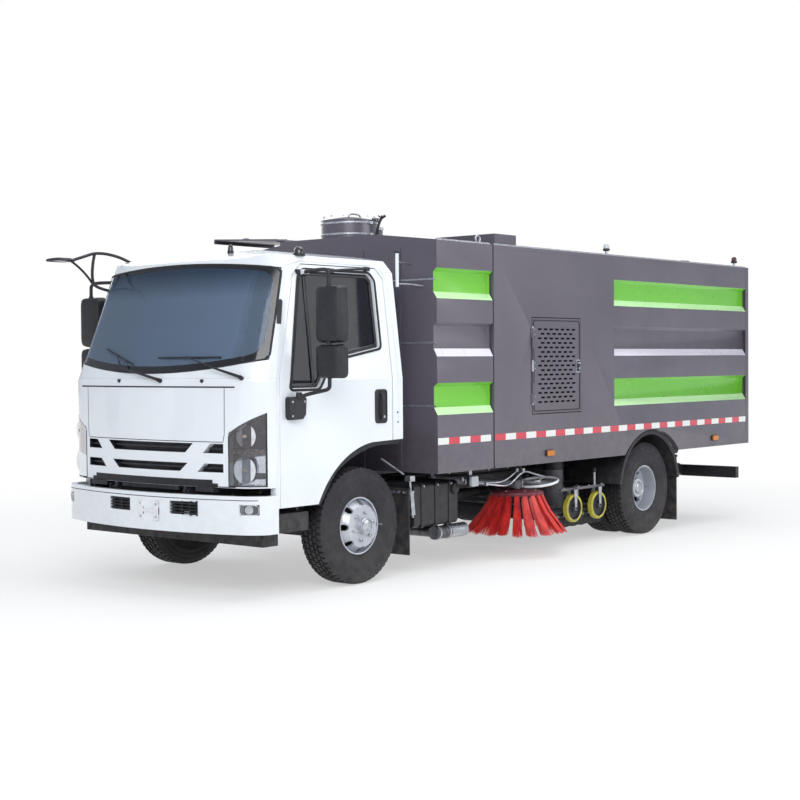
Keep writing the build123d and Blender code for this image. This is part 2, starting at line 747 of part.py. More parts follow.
# Front panel: six openings between the white bars, as (y, z) outlines of the right half,
# and the headlamps' places
grille_upper_top = 1034
grille_upper_bottom = 971
grille_lower_top = 900
grille_lower_bottom = 844
grille_centre_half = 440
grille_centre_taper = 70
grille_lower_half = 390
grille_side_inner = 540
grille_side_outer = 700
grille_side_slant = 60
lamp_inner_y = 742
lamp_outer_y = 978
lamp_bottom = 752
lamp_top_inner = 1108
lamp_top_outer = 1242
lamp_gap = 2
grille_slat = 12
grille_back = 20

openings = []
for half, top, bottom in ((grille_centre_half, grille_upper_top, grille_upper_bottom),
                          (grille_lower_half, grille_lower_top, grille_lower_bottom)):
    foot = half - grille_centre_taper
    outline = [(-half, top), (half, top), (foot, bottom), (-foot, bottom)]
    openings.append(cross_plate(outline, cab_front_low - overrun, cab_corner_low + overrun))
    outer = [(grille_side_inner + half - grille_lower_half, top), (grille_side_outer, top),
             (grille_side_outer, bottom),
             (grille_side_inner + half - grille_lower_half - grille_side_slant, bottom)]
    side_opening = cross_plate(outer, cab_front_low - overrun, cab_corner_low + overrun)
    openings.extend(both_sides(side_opening))
lamp_outline = [(lamp_inner_y, lamp_bottom), (lamp_outer_y, lamp_bottom),
                (lamp_outer_y, lamp_top_outer), (lamp_inner_y, lamp_top_inner)]
lamp_zone = cross_plate(lamp_outline, cab_front_low - overrun, front_split - lamp_gap)
front_panel = (cab_frame & front_zone) - lamp_zone - mirrored(lamp_zone)
for opening in openings:
    front_panel = front_panel - opening
save("cab_front", front_panel)
lamp_unit = cab_skin & cross_plate([
    (lamp_inner_y + lamp_gap, lamp_bottom + lamp_gap),
    (lamp_outer_y - lamp_gap, lamp_bottom + lamp_gap),
    (lamp_outer_y - lamp_gap, lamp_top_outer - lamp_gap * 2),
    (lamp_inner_y + lamp_gap, lamp_top_inner - lamp_gap * 2),
], cab_front_low - overrun, front_split - lamp_gap * 2)
save("headlamps", *both_sides(lamp_unit))

# Dark grille behind the openings, and the strip under them
strip_bottom = 712
strip_half = 640
grille_skin = cab_inside - cab_form(cab_wall + grille_back)
grille_panel = grille_skin & block(cab_front_low, cab_corner_low + cab_wall * 2, -grille_side_outer,
                                   grille_side_outer, panel_bottom, grille_upper_top + grille_slat)
strip = block(cab_front_low + grille_back, cab_front_low + cab_wall + grille_back, -strip_half,
              strip_half, strip_bottom, panel_bottom)
for sign in (-1, 1):
    near, far = sorted((sign * (rail_outer + fork_height), sign * (rail_inner - fork_height)))
    strip = strip - block(cab_front_low, cab_front_low + cab_wall + grille_back, near, far,
                          strip_bottom, panel_bottom)
cab_lug = rod((cab_hinge_x, -rail_inner - cab_lug_width - fork_gap, cab_hinge_z),
              (cab_hinge_x, -rail_inner - fork_gap, cab_hinge_z), cab_lug_width * 2 / 3)
cab_lug_bore = rod((cab_hinge_x, -rail_outer, cab_hinge_z), (cab_hinge_x, -rail_inner, cab_hinge_z),
                   cab_pin_radius + spindle_clearance)
cab_lug_arm = block(cab_hinge_x - cab_lug_width / 3, cab_front_low + cab_wall + grille_back,
                    -rail_inner - cab_lug_width - fork_gap, -rail_inner - fork_gap,
                    cab_hinge_z, panel_bottom + cab_lug_width)
cab_lugs = both_sides(cab_lug + (cab_lug_arm - cab_skin) - cab_lug_bore)
slat_skin = cab_form(cab_wall / 2) - cab_inside
grille = grille_panel + strip
for opening in openings:
    middle = opening.center().Z
    slat = block(cab_front_low, cab_corner_low + cab_wall * 2, -grille_side_outer, grille_side_outer,
                 middle - grille_slat / 2, middle + grille_slat / 2)
    grille = grille + (slat_skin & slat & opening)
for lug in cab_lugs:
    grille = grille + lug
save("grille", grille)

# Cab floor: footwell, riser and the seat platform over the engine and the wheels
floor_plate = 40
footwell_top = 840
platform_top = 1060
footwell_back = -470
floor_side_gap = 12
liner_plate = 14
liner_inner = 620

floor_half = cab_half - cab_wall - floor_side_gap
liner_top = platform_top - floor_plate
floor_front = cab_front_low + cab_wall
floor_outline = [
    (floor_front, footwell_top - floor_plate),
    (footwell_back, footwell_top - floor_plate),
    (footwell_back, platform_top - floor_plate),
    (cab_back - cab_wall, platform_top - floor_plate),
    (cab_back - cab_wall, platform_top),
    (footwell_back - floor_plate, platform_top),
    (footwell_back - floor_plate, footwell_top),
    (floor_front, footwell_top),
]
cab_floor = (side_plate(floor_outline, -floor_half, floor_half) & cab_inside) - grille
liner_edges = [
    ThreePointArc((arch_front_x, 0, door_bottom), (arch_middle_x, 0, arch_middle_z),
                  (arch_top_x, 0, arch_top)),
    Line((arch_top_x, 0, arch_top), (cab_back - cab_wall, 0, arch_top)),
    Line((cab_back - cab_wall, 0, arch_top), (cab_back - cab_wall, 0, liner_top)),
    Line((cab_back - cab_wall, 0, liner_top), (arch_top_x, 0, liner_top)),
    ThreePointArc((arch_top_x, 0, liner_top), (arch_middle_x - liner_plate, 0, arch_middle_z + liner_plate),
                  (arch_front_x - liner_plate, 0, door_bottom)),
    Line((arch_front_x - liner_plate, 0, door_bottom), (arch_front_x, 0, door_bottom)),
]
liner_face = Face(Wire([edge.edge() for edge in liner_edges]))
liner = Pos(0, -floor_half, 0) * extrude(liner_face, amount=floor_half - liner_inner, dir=(0, 1, 0))

# Doors: the leaf is the whole thickness of the side, with its window cut
window_front_x = -700
window_front_z = 1400
window_step_x = -430
window_step_rise_x = -300
window_step_z = 1590
window_rear_x = 236
window_rear_z = 1678
window_top = 2196
window_top_rear = 190
window_front_top_x = -530
window_front_top_z = 2150
door_glass = 5
window_outline = [
    (window_front_x, window_front_z),
    (window_step_x, window_front_z),
    (window_step_rise_x, window_step_z),
    (window_rear_x, window_rear_z),
    (window_rear_x, window_top - (window_rear_x - window_top_rear)),
    (window_top_rear, window_top),
    (window_front_top_x + cab_wall, window_top),
    (window_front_top_x, window_front_top_z),
]
window_hole = side_plate(window_outline, -cab_half - overrun, -door_zone)
left_door = (cab_skin & door_leaf) - window_hole
glass_skin = cab_form(cab_wall / 2) - cab_form(cab_wall / 2 + door_glass)
left_glass = glass_skin & window_hole
save("door_left", left_door)
save("door_right", mirrored(left_door))
save("door_glass_left", left_glass)
save("door_glass_right", mirrored(left_glass))

# Mirrors on the doors: two heads on a bent tube, and a bracket on the door skin
mirror_y = 1245
mirror_half = 112
mirror_front = -620
mirror_back = -520
main_mirror_low = 1701
main_mirror_high = 2082
wide_mirror_low = 1464
wide_mirror_high = 1690
mirror_tube = 12
mirror_foot_x = -677
mirror_foot_low = 1187
mirror_foot_high = 1343
mirror_foot_half = 82
mirror_foot_depth = 45
mirror_arm_x = -585
mirror_arm_top = 2185
mirror_arm_door_x = -480
mirror_arm_door_y = 905
mirror_round = 25

main_mirror = block(mirror_front, mirror_back, -mirror_y - mirror_half, -mirror_y + mirror_half,
                    main_mirror_low, main_mirror_high)
main_mirror = fillet(main_mirror.edges().filter_by(Axis.Z), mirror_round)
wide_mirror = block(mirror_front, mirror_back, -mirror_y - mirror_half, -mirror_y + mirror_half,
                    wide_mirror_low, wide_mirror_high)
wide_mirror = fillet(wide_mirror.edges().filter_by(Axis.Z), mirror_round)
mirror_foot = block(mirror_foot_x - mirror_foot_half, mirror_foot_x + mirror_foot_half,
                    -cab_half - mirror_foot_depth, -cab_half, mirror_foot_low, mirror_foot_high)
mirror_post = rod((mirror_arm_x, -mirror_y, mirror_foot_high + mirror_foot_depth),
                  (mirror_arm_x, -mirror_y, mirror_arm_top), mirror_tube)
mirror_lower = rod((mirror_foot_x, -cab_half - mirror_foot_depth / 2, mirror_foot_high - mirror_foot_depth),
                   (mirror_arm_x, -mirror_y, mirror_foot_high + mirror_foot_depth), mirror_tube)
mirror_upper = rod((mirror_arm_door_x, -mirror_arm_door_y, mirror_arm_top),
                   (mirror_arm_x, -mirror_y, mirror_arm_top), mirror_tube)
left_mirrors = main_mirror + wide_mirror + mirror_foot + mirror_post + mirror_lower + mirror_upper
left_mirrors = left_mirrors - cab_form(0)
save("mirrors_left", left_mirrors)
save("mirrors_right", mirrored(left_mirrors))

# Kerb mirrors ahead of the windscreen's right corner, on their own tube frame
kerb_apex_x = -776
kerb_apex_z = 2399
kerb_roof_x = -473
kerb_roof_z = 2296
kerb_low_x = -807
kerb_low_z = 2174
kerb_pillar_x = -668
kerb_pillar_z = 2112
kerb_y = 950
kerb_roof_y = 820
kerb_pillar_y = 885
kerb_tip_x = -1000
kerb_tip_z = 2330
kerb_head_half = 80
kerb_head_length = 180
kerb_head_thick = 18
kerb_tube = 12
kerb_apex = (kerb_apex_x, kerb_y, kerb_apex_z)
kerb_low = (kerb_low_x, kerb_y, kerb_low_z)
kerb_tip = (kerb_tip_x, kerb_y, kerb_tip_z)
kerb_frame = rod((kerb_roof_x, kerb_roof_y, kerb_roof_z), kerb_apex, kerb_tube)
kerb_frame = kerb_frame + rod(kerb_apex, kerb_low, kerb_tube)
kerb_frame = kerb_frame + rod((kerb_pillar_x, kerb_pillar_y, kerb_pillar_z), kerb_low, kerb_tube)
kerb_frame = kerb_frame + rod(kerb_apex, kerb_tip, kerb_tube)
kerb_head = block(kerb_tip_x - kerb_head_length, kerb_tip_x, kerb_y - kerb_head_half,
                  kerb_y + kerb_head_half, kerb_tip_z - kerb_head_thick, kerb_tip_z + kerb_head_thick)
save("kerb_mirrors", (kerb_frame + kerb_head) - cab_form(0))

# Seats, dashboard and steering wheel
seat_front = -420
seat_length = 480
cushion_low = 1140
cushion_high = 1260
back_thick = 110
back_top = 1800
back_lean = 100
driver_seat_y = -500
driver_seat_half = 250
bench_inner = -120
bench_outer = 850
seat_base_inset = 60
dash_back = -600
dash_top = 1420
dash_bottom = 1000
dash_knee = -760
wheel_rim_radius = 205
wheel_rim_tube = 15
wheel_centre_x = -505
wheel_centre_z = 1420
wheel_lean = 35
column_radius = 28


def seat(y0, y1):
    """Base, cushion and leaning back of one seat, as three solids that touch."""
    seat_back_x = seat_front + seat_length
    base = block(seat_front + seat_base_inset, seat_back_x - seat_base_inset, y0 + seat_base_inset,
                 y1 - seat_base_inset, platform_top, cushion_low)
    cushion = block(seat_front, seat_back_x, y0, y1, cushion_low, cushion_high)
    back = side_plate([
        (seat_back_x, cushion_low),
        (seat_back_x + back_thick, cushion_low),
        (seat_back_x + back_thick + back_lean, back_top),
        (seat_back_x + back_lean, back_top),
    ], y0, y1)
    return [base, cushion, back]


driver_seat = seat(driver_seat_y - driver_seat_half, driver_seat_y + driver_seat_half)
bench = seat(bench_inner, bench_outer)
save("cab_floor", cab_floor, *both_sides(liner), driver_seat[0], bench[0])
save("seat_pads", *driver_seat[1:], *bench[1:])

dash_outline = [
    (floor_front, dash_bottom),
    (dash_knee, dash_bottom),
    (dash_back, dash_bottom + seat_base_inset * 2),
    (dash_back, dash_top - seat_base_inset),
    (dash_knee, dash_top),
    (floor_front, dash_top),
]
dashboard = (side_plate(dash_outline, -floor_half, floor_half) & cab_inside) - grille
lean = math.radians(wheel_lean)
wheel_plane = Plane((wheel_centre_x, driver_seat_y, wheel_centre_z),
                    z_dir=(math.sin(lean), 0, math.cos(lean)))
rim_torus = Solid.make_torus(wheel_rim_radius, wheel_rim_tube, wheel_plane)
spokes = []
for turn in (0, 120, 240):
    angle = math.radians(turn)
    tip_point = wheel_plane.from_local_coords((wheel_rim_radius * math.cos(angle),
                                               wheel_rim_radius * math.sin(angle), 0))
    spokes.append(rod(tuple(wheel_plane.origin), tuple(tip_point), wheel_rim_tube))
column_end = wheel_plane.from_local_coords((0, 0, -wheel_rim_radius))
column = rod(tuple(wheel_plane.origin), tuple(column_end), column_radius)
steering = rim_torus + spokes[0] + spokes[1] + spokes[2] + column - dashboard
save("dashboard", dashboard, steering)

# Front bumper: bowed like the cab, with two tow openings, fog lamps and plate slots
bumper_front = -front_overhang
bumper_corner = -1065
bumper_corner_half = 860
bumper_side = -935
bumper_half = 1025
bumper_end = -852
bumper_bottom = 440
bumper_top = 695
bumper_wall = 42
fog_inner = 870
fog_outer = 985
fog_low = 572
fog_high = 640
socket_inner = 195
socket_outer = 430
socket_middle_y = -112
socket_low = 560
socket_high = 648
hook_x = -1105
hook_radius = 30
hook_bore = 14
hook_thick = 20
hook_z = 606
slot_size = 50
slot_spread = 75
slot_low = 545
skid_low = 345
skid_high = 430
skid_half = 925
skid_front = -905
skid_back = -760
step_low = 430
step_high = 560
step_front = -800
step_back = -500
step_inner = 620
step_outer = 960

bumper_outer = plan_wire(bumper_front, bumper_corner, bumper_corner_half, bumper_side, bumper_half,
                         bumper_end, bumper_bottom, 0)
bumper_inner = plan_wire(bumper_front, bumper_corner, bumper_corner_half, bumper_side, bumper_half,
                         bumper_end, bumper_bottom, bumper_wall)
bumper_height = bumper_top - bumper_bottom
bumper = extrude(Face(bumper_outer), amount=bumper_height, dir=(0, 0, 1))
bumper = bumper - extrude(Face(bumper_inner), amount=bumper_height, dir=(0, 0, 1))
bumper = bumper - block(bumper_end - bumper_wall, bumper_end, -bumper_half + bumper_wall,
                        bumper_half - bumper_wall, bumper_bottom, bumper_top)
hole_reach = bumper_corner + bumper_wall * 2
for sign in (-1, 1):
    near, far = sorted((socket_middle_y + sign * socket_inner, socket_middle_y + sign * socket_outer))
    bumper = bumper - block(bumper_front - overrun, hole_reach, near, far, socket_low, socket_high)
    near, far = sorted((sign * fog_inner, sign * fog_outer))
    bumper = bumper - block(bumper_front - overrun, bumper_side, near, far, fog_low, fog_high)
    near, far = sorted((socket_middle_y + sign * slot_spread - slot_size / 2,
                        socket_middle_y + sign * slot_spread + slot_size / 2))
    bumper = bumper - block(bumper_front - overrun, hole_reach, near, far, slot_low,
                            slot_low + slot_size)
# Two brackets tie the bumper to the frame's nose
bumper_arm = block(bumper_front + bumper_wall, frame_front + cross_member_length,
                   -rail_outer - guard_arm_width, -rail_outer, frame_bottom,
                   frame_bottom + guard_arm_width)
# Tow eye on the left bracket, behind its opening
hook_y = -rail_outer - guard_arm_width / 2
hook_near = (hook_x, hook_y - hook_thick / 2, hook_z)
hook_far = (hook_x, hook_y + hook_thick / 2, hook_z)
hook = rod(hook_near, hook_far, hook_radius)
hook = hook + block(hook_x - hook_radius, hook_x + hook_radius * 2, hook_y - hook_thick / 2,
                    hook_y + hook_thick / 2, frame_bottom + guard_arm_width / 2, hook_z)
hook = hook - rod(hook_near, hook_far, hook_bore)
save("front_bumper", bumper + bumper_arm + mirrored(bumper_arm) + hook)

skid = block(skid_front, skid_back, -skid_half, skid_half, skid_low, skid_high)
skid_arm = block(skid_back - guard_arm_width, skid_back, -rail_outer, -rail_inner, skid_high,
                 frame_bottom)
step = block(step_front, step_back, -step_outer, -step_inner, step_low, step_high)
step_arm = block(step_front, step_front + guard_arm_width, -step_inner, -rail_outer,
                 step_high - guard_arm_width, step_high)
save("steps_and_flaps", skid + skid_arm + mirrored(skid_arm), *both_sides(step + step_arm), *flaps)

# Lamps on the chassis: fog lamps in the bumper, tail lamps on the guard
fog_depth = 40
tail_lamp_inner = 640
tail_lamp_outer = 980
tail_lamp_height = 85
fog_unit = block(bumper_corner, bumper_side - fog_depth / 2, -fog_outer, -fog_inner, fog_low, fog_high)
bumper_hollow = extrude(Face(bumper_outer), amount=bumper_height, dir=(0, 0, 1))
fog_unit = fog_unit & bumper_hollow
tail_unit = block(guard_front, guard_front + guard_depth, -tail_lamp_outer, -tail_lamp_inner,
                  guard_bottom + guard_height, guard_bottom + guard_height + tail_lamp_height)
save("chassis_lamps", *both_sides(fog_unit, tail_unit))


# Body side: flat sheet with three recessed bands. A band is (top, upper edge of the
# recess, lower edge of the recess, foot of the shelf), and all are as deep.
band_depth = 33
band_heights = (
    (2262, 2235, 2087, 2038),
    (1860, 1835, 1667, 1608),
    (1410, 1385, 1230, 1175),
)
band_rear_start = 3170
body_floor = 980
body_floor_plate = 40


def side_sheet(x0, x1, banded):
    """Left wall of the body between two places, with or without its bands."""
    outer, inner = -body_half, -body_half + wall
    points = [(inner, skirt_bottom), (outer, skirt_bottom)]
    if banded:
        for top, upper, lower, foot in reversed(band_heights):
            points += [(outer, foot), (outer + band_depth, lower)]
            points += [(outer + band_depth, upper), (outer, top)]
    points += [(outer, body_side_top), (inner, body_side_top)]
    return cross_plate(points, x0, x1)


roof_fall = (body_roof_top - body_side_top) / (body_half - roof_flat_half)


def roof_sheet(x0, x1, left_end, right_end):
    """Roof plate of one thickness: flat in the middle, falling to each side."""
    top = []
    for y in (left_end, -roof_flat_half, roof_flat_half, right_end):
        fall = max(abs(y) - roof_flat_half, 0) * roof_fall
        top.append((y, body_roof_top - fall))
    bottom = [(y, z - roof_plate) for y, z in reversed(top)]
    return cross_plate(top + bottom, x0, x1)


def end_wall(x0, x1, z0):
    """Wall across the body, under the roof plate and between the side walls."""
    half = body_half - wall
    edge = body_side_top - roof_plate + wall * roof_fall
    points = [(-half, z0), (half, z0), (half, edge), (roof_flat_half, body_roof_top - roof_plate),
              (-roof_flat_half, body_roof_top - roof_plate), (-half, edge)]
    return cross_plate(points, x0, x1)


# Front module on the rails: walls, floor, roof with its right part left open for the lid
roof_plate = 30
sill_width = 70
lid_hinge_radius = 9
lid_open_angle = 9.7
lid_lip = 40
lid_plate = 12
lid_overhang = 125
lid_front_overhang = 40

module_left = side_sheet(module_front, module_back, True)
module_right = mirrored(module_left)
module_walls = module_left + module_right
module_walls = module_walls + end_wall(module_front, module_front + wall, skirt_bottom)
module_walls = module_walls + end_wall(module_back - wall, module_back, skirt_bottom)
module_roof = roof_sheet(module_front, module_back, -body_half, roof_flat_half)
module_floor = block(module_front + wall, module_back - wall, -body_half + wall, body_half - wall,
                     body_floor - body_floor_plate, body_floor)
module_shell = module_walls + module_roof + module_floor
for sign in (-1, 1):
    near, far = sorted((sign * rail_inner, sign * (rail_inner + sill_width)))
    sill = block(module_front, module_back, near, far, frame_top, body_floor - body_floor_plate)
    module_shell = module_shell + sill
save("front_module", module_shell)

lid_far = body_half + lid_overhang
lid_fall = math.degrees(math.atan(roof_fall))
lid_hinge_z = body_roof_top + lid_hinge_radius + spindle_clearance
lid_length = (lid_far - roof_flat_half) / math.cos(math.radians(lid_fall))
lid_front = module_front - lid_front_overhang
lid_sheet = block(lid_front, module_back, 0, lid_length, 0, lid_plate)
lid_edge = block(lid_front, module_back, lid_length - lid_plate, lid_length, -lid_lip + lid_plate, 0)
lid_barrel = rod((lid_front, 0, 0), (module_back, 0, 0), lid_hinge_radius)
lid_shape = lid_sheet + lid_edge + lid_barrel
lid_place = Pos(0, roof_flat_half, lid_hinge_z) * Rot(lid_open_angle - lid_fall, 0, 0)
save("roof_lid", lid_place * lid_shape)

# Air outlet drum and the small pipe beside it, on the module's roof
drum_x = 1000
outlet_radius = 220
outlet_height = 150
outlet_lid_rise = 28
outlet_wall = 6
vent_pipe_x = 1240
vent_pipe_y = -110
vent_pipe_radius = 28
vent_pipe_height = 110
outlet_top = body_roof_top + outlet_height
outlet = tube((drum_x, 0, body_roof_top), (drum_x, 0, outlet_top), outlet_radius,
              outlet_radius - outlet_wall)
outlet_lid = Solid.make_cone(outlet_radius + outlet_wall, outlet_radius / 3, outlet_lid_rise,
                             Plane((drum_x, 0, outlet_top)))
vent_pipe = rod((vent_pipe_x, vent_pipe_y, body_roof_top),
                (vent_pipe_x, vent_pipe_y, body_roof_top + vent_pipe_height), vent_pipe_radius)
save("air_outlet", outlet + outlet_lid, vent_pipe)

# Hopper body: floor, front wall, partition and roof in one shell, two side walls with
# the rear wheel arches, and a pair of sills that ride over the rails
hopper_front = module_back + module_gap
tailgate_thick = 55
tailgate_gap = 6
partition_x = 2950
arch_half = 470
arch_rise = 210
tip_clearance = 10
vent_front = 1940
vent_back = 2650
vent_low = 1140
vent_high = 1920
vent_gap = 6
vent_hinge_radius = 9
vent_pin_radius = 5
vent_hinge_half = 300
vent_barrel = 80

hopper_back = hopper_tail - tailgate_thick - tailgate_gap
hopper_floor = block(hopper_front, hopper_back, -body_half + wall, body_half - wall,
                     body_floor - body_floor_plate, body_floor)
hopper_roof = roof_sheet(hopper_front, hopper_back, -body_half, body_half)
hopper_shell = hopper_floor + hopper_roof + end_wall(hopper_front, hopper_front + wall, body_floor)
hopper_shell = hopper_shell + end_wall(partition_x, partition_x + wall, body_floor)

arch_edges = [
    ThreePointArc((wheelbase - arch_half, 0, skirt_bottom), (wheelbase, 0, skirt_bottom + arch_rise),
                  (wheelbase + arch_half, 0, skirt_bottom)),
    Line((wheelbase + arch_half, 0, skirt_bottom), (wheelbase + arch_half, 0, skirt_bottom - overrun)),
    Line((wheelbase + arch_half, 0, skirt_bottom - overrun),
         (wheelbase - arch_half, 0, skirt_bottom - overrun)),
    Line((wheelbase - arch_half, 0, skirt_bottom - overrun), (wheelbase - arch_half, 0, skirt_bottom)),
]
arch_face = Face(Wire([edge.edge() for edge in arch_edges]))
rear_arch = Pos(0, -body_half - overrun, 0) * extrude(arch_face, amount=body_half, dir=(0, 1, 0))
plain_side = side_sheet(hopper_front, band_rear_start, False)
banded_side = side_sheet(band_rear_start, hopper_back, True)
roof_skin = roof_sheet(hopper_front - overrun, hopper_back + overrun, -body_half, body_half)
left_side = plain_side + banded_side - rear_arch - roof_skin
right_side = mirrored(left_side)
vent_hole = block(vent_front, vent_back, -body_half - overrun, -body_half + wall + overrun, vent_low,
                  vent_high)
vent_hinge_y = body_half + vent_hinge_radius
vent_middle = (vent_low + vent_high) / 2
vent_pin = rod((vent_front, -vent_hinge_y, vent_middle - vent_hinge_half),
               (vent_front, -vent_hinge_y, vent_middle + vent_hinge_half), vent_pin_radius)
left_side = left_side - vent_hole + vent_pin
for sign in (-1, 1):
    near, far = sorted((vent_middle + sign * vent_hinge_half,
                        vent_middle + sign * (vent_hinge_half - vent_barrel)))
    left_side = left_side + rod((vent_front, -vent_hinge_y, near), (vent_front, -vent_hinge_y, far),
                                vent_hinge_radius)
    left_side = left_side + block(vent_front - vent_hinge_radius * 2, vent_front, -vent_hinge_y, -body_half,
                                  near, far)
save("hopper_sides", left_side, right_side)

sill_bottom = frame_top + tip_clearance
lift_eye_x = 3950
lift_eye_z = 830
lift_cheek = 15
lift_cheek_gap = 12
lift_cheek_half = 50
hopper_sill_parts = []
for sign in (-1, 1):
    near, far = sorted((sign * rail_inner, sign * (rail_inner + sill_width)))
    sill = block(hopper_front, hopper_back, near, far, sill_bottom, body_floor - body_floor_plate)
    lug_near, lug_far = sorted((sign * (rail_inner + fork_gap),
                                sign * (rail_inner + fork_gap + tip_lug_width)))
    lug = block(tip_hinge_x - tip_lug_radius, tip_hinge_x + tip_lug_radius, lug_near, lug_far,
                tip_hinge_z, sill_bottom)
    lug = lug + rod((tip_hinge_x, lug_near, tip_hinge_z), (tip_hinge_x, lug_far, tip_hinge_z),
                    tip_lug_radius)
    lug = lug - rod((tip_hinge_x, lug_near, tip_hinge_z), (tip_hinge_x, lug_far, tip_hinge_z),
                    tip_pin_radius + spindle_clearance)
    hopper_sill_parts.append(sill + lug)
    for cheek_side in (-1, 1):
        cheek_y = sign * lift_y + cheek_side * (lift_eye_half + lift_cheek_gap)
        near, far = sorted((cheek_y, cheek_y + cheek_side * lift_cheek))
        hopper_sill_parts.append(block(lift_eye_x - lift_cheek_half, lift_eye_x + lift_cheek_half,
                                       near, far, lift_eye_z - lift_cheek_half,
                                       body_floor - body_floor_plate))

# Tailgate hung from the roof's rear edge
gate_hinge_radius = 16
gate_hinge_lift = 4
gate_pin_radius = 8
gate_hinge_half = 420
gate_knuckle = 120
gate_lug = 60
gate_half = body_half
gate_bottom = skirt_bottom
gate_points = [
    (-gate_half, gate_bottom), (gate_half, gate_bottom), (gate_half, body_side_top),
    (roof_flat_half, body_roof_top), (-roof_flat_half, body_roof_top), (-gate_half, body_side_top),
]
gate_back = hopper_tail
gate_front = gate_back - tailgate_thick
tailgate = cross_plate(gate_points, gate_front, gate_back)
gate_hinge_x = gate_front - tailgate_gap / 2
gate_hinge_z = body_roof_top + gate_hinge_lift + gate_hinge_radius
for sign in (-1, 1):
    near, far = sorted((sign * gate_hinge_half, sign * (gate_hinge_half - gate_knuckle)))
    knuckle_piece = rod((gate_hinge_x, near, gate_hinge_z), (gate_hinge_x, far, gate_hinge_z),
                        gate_hinge_radius)
    leaf = block(gate_hinge_x, gate_back, near, far, body_roof_top, gate_hinge_z)
    bore = rod((gate_hinge_x, near, gate_hinge_z), (gate_hinge_x, far, gate_hinge_z),
               gate_pin_radius + spindle_clearance)
    tailgate = tailgate + knuckle_piece + leaf - bore
save("tailgate", tailgate)
gate_pins = []
for sign in (-1, 1):
    for lug_y in (gate_hinge_half + gate_lug, gate_hinge_half - gate_knuckle):
        near, far = sorted((sign * (lug_y - fork_gap), sign * (lug_y - gate_lug + fork_gap)))
        gate_pins.append(block(gate_hinge_x - gate_lug, gate_hinge_x, near, far, body_roof_top,
                               gate_hinge_z + gate_pin_radius))
    near, far = sorted((sign * (gate_hinge_half + gate_lug - fork_gap),
                        sign * (gate_hinge_half - gate_knuckle - gate_lug + fork_gap)))
    gate_pins.append(rod((gate_hinge_x, near, gate_hinge_z), (gate_hinge_x, far, gate_hinge_z),
                         gate_pin_radius))
roof_hinge = gate_pins[0]
for piece in gate_pins[1:]:
    roof_hinge = roof_hinge + piece
save("hopper_shell", hopper_shell + roof_hinge, *hopper_sill_parts)

# Louvred door over the filter chamber, hinged at its front edge
vent_door = block(vent_front + vent_gap, vent_back - vent_gap, -body_half, -body_half + wall,
                  vent_low + vent_gap, vent_high - vent_gap)
slot_rows = 17
slot_columns = 7
slot_length_share = 0.07
slot_height_share = 0.4
slot_field_share = 0.8
door_width = vent_back - vent_front
door_height = vent_high - vent_low
row_pitch = door_height * slot_field_share / slot_rows
column_pitch = door_width * slot_field_share / slot_columns
for row in range(slot_rows):
    slots = slot_columns - row % 2
    row_z = (vent_low + vent_high) / 2 + (row - (slot_rows - 1) / 2) * row_pitch
    for column in range(slots):
        slot_x = (vent_front + vent_back) / 2 + (column - (slots - 1) / 2) * column_pitch
        half_length = door_width * slot_length_share / 2
        half_height = row_pitch * slot_height_share / 2
        slot = block(slot_x - half_length, slot_x + half_length, -body_half - overrun,
                     -body_half + wall + overrun, row_z - half_height, row_z + half_height)
        vent_door = vent_door - slot
for sign in (-1, 1):
    near, far = sorted((vent_middle + sign * (vent_hinge_half - vent_barrel - fork_gap),
                        vent_middle + sign * (vent_hinge_half - vent_barrel * 2 - fork_gap)))
    vent_door = vent_door + rod((vent_front, -vent_hinge_y, near), (vent_front, -vent_hinge_y, far),
                                vent_hinge_radius)
    vent_door = vent_door + block(vent_front, vent_front + vent_hinge_radius * 2, -vent_hinge_y, -body_half,
                                  near, far)
    vent_door = vent_door - rod((vent_front, -vent_hinge_y, near), (vent_front, -vent_hinge_y, far),
                                vent_pin_radius + spindle_clearance)
save("vent_door", vent_door)

# Hatch box on the hopper's left roof slope
hatch_front = 1730
hatch_back = 2020
hatch_outer = 900
hatch_inner = 300
hatch_top = 2585
hatch_side_z = body_roof_top - (hatch_outer - roof_flat_half) * roof_fall
hatch = cross_plate([
    (-hatch_outer, hatch_side_z),
    (-roof_flat_half, body_roof_top),
    (-hatch_inner, body_roof_top),
    (-hatch_inner, hatch_top),
    (-hatch_outer, hatch_top),
], hatch_front, hatch_back)
save("roof_hatch", hatch)

# Tipping cylinders between the rails
barrel_radius = 52
barrel_start = 60
barrel_length = 1350
barrel_wall_end = 40
rod_radius = 28
rod_start = 120
rod_clearance = 0.3
lift_dx = lift_eye_x - lift_pivot_x
lift_dz = lift_eye_z - lift_pivot_z
lift_length = math.hypot(lift_dx, lift_dz)


def along_lift(y, distance):
    """Point on a cylinder's line at a distance from its pivot."""
    share = distance / lift_length
    return (lift_pivot_x + lift_dx * share, y, lift_pivot_z + lift_dz * share)


barrels = []
rods = []
for sign in (-1, 1):
    y = sign * lift_y
    barrel = rod(along_lift(y, barrel_start), along_lift(y, barrel_length), barrel_radius)
    barrel = barrel + rod(along_lift(y, 0), along_lift(y, barrel_start), lift_eye_half)
    barrel = barrel - rod(along_lift(y, rod_start - barrel_wall_end), along_lift(y, barrel_length),
                          rod_radius + rod_clearance)
    eye_near = (lift_pivot_x, y - lift_eye_half, lift_pivot_z)
    eye_far = (lift_pivot_x, y + lift_eye_half, lift_pivot_z)
    eye = rod(eye_near, eye_far, lift_eye_radius)
    barrels.append(barrel + eye - rod(eye_near, eye_far, lift_pin_radius + rod_clearance))
    stem = rod(along_lift(y, rod_start), along_lift(y, lift_length), rod_radius)
    stem_eye = rod((lift_eye_x, y - lift_eye_half, lift_eye_z),
                   (lift_eye_x, y + lift_eye_half, lift_eye_z), lift_eye_radius)
    rods.append(stem + stem_eye)
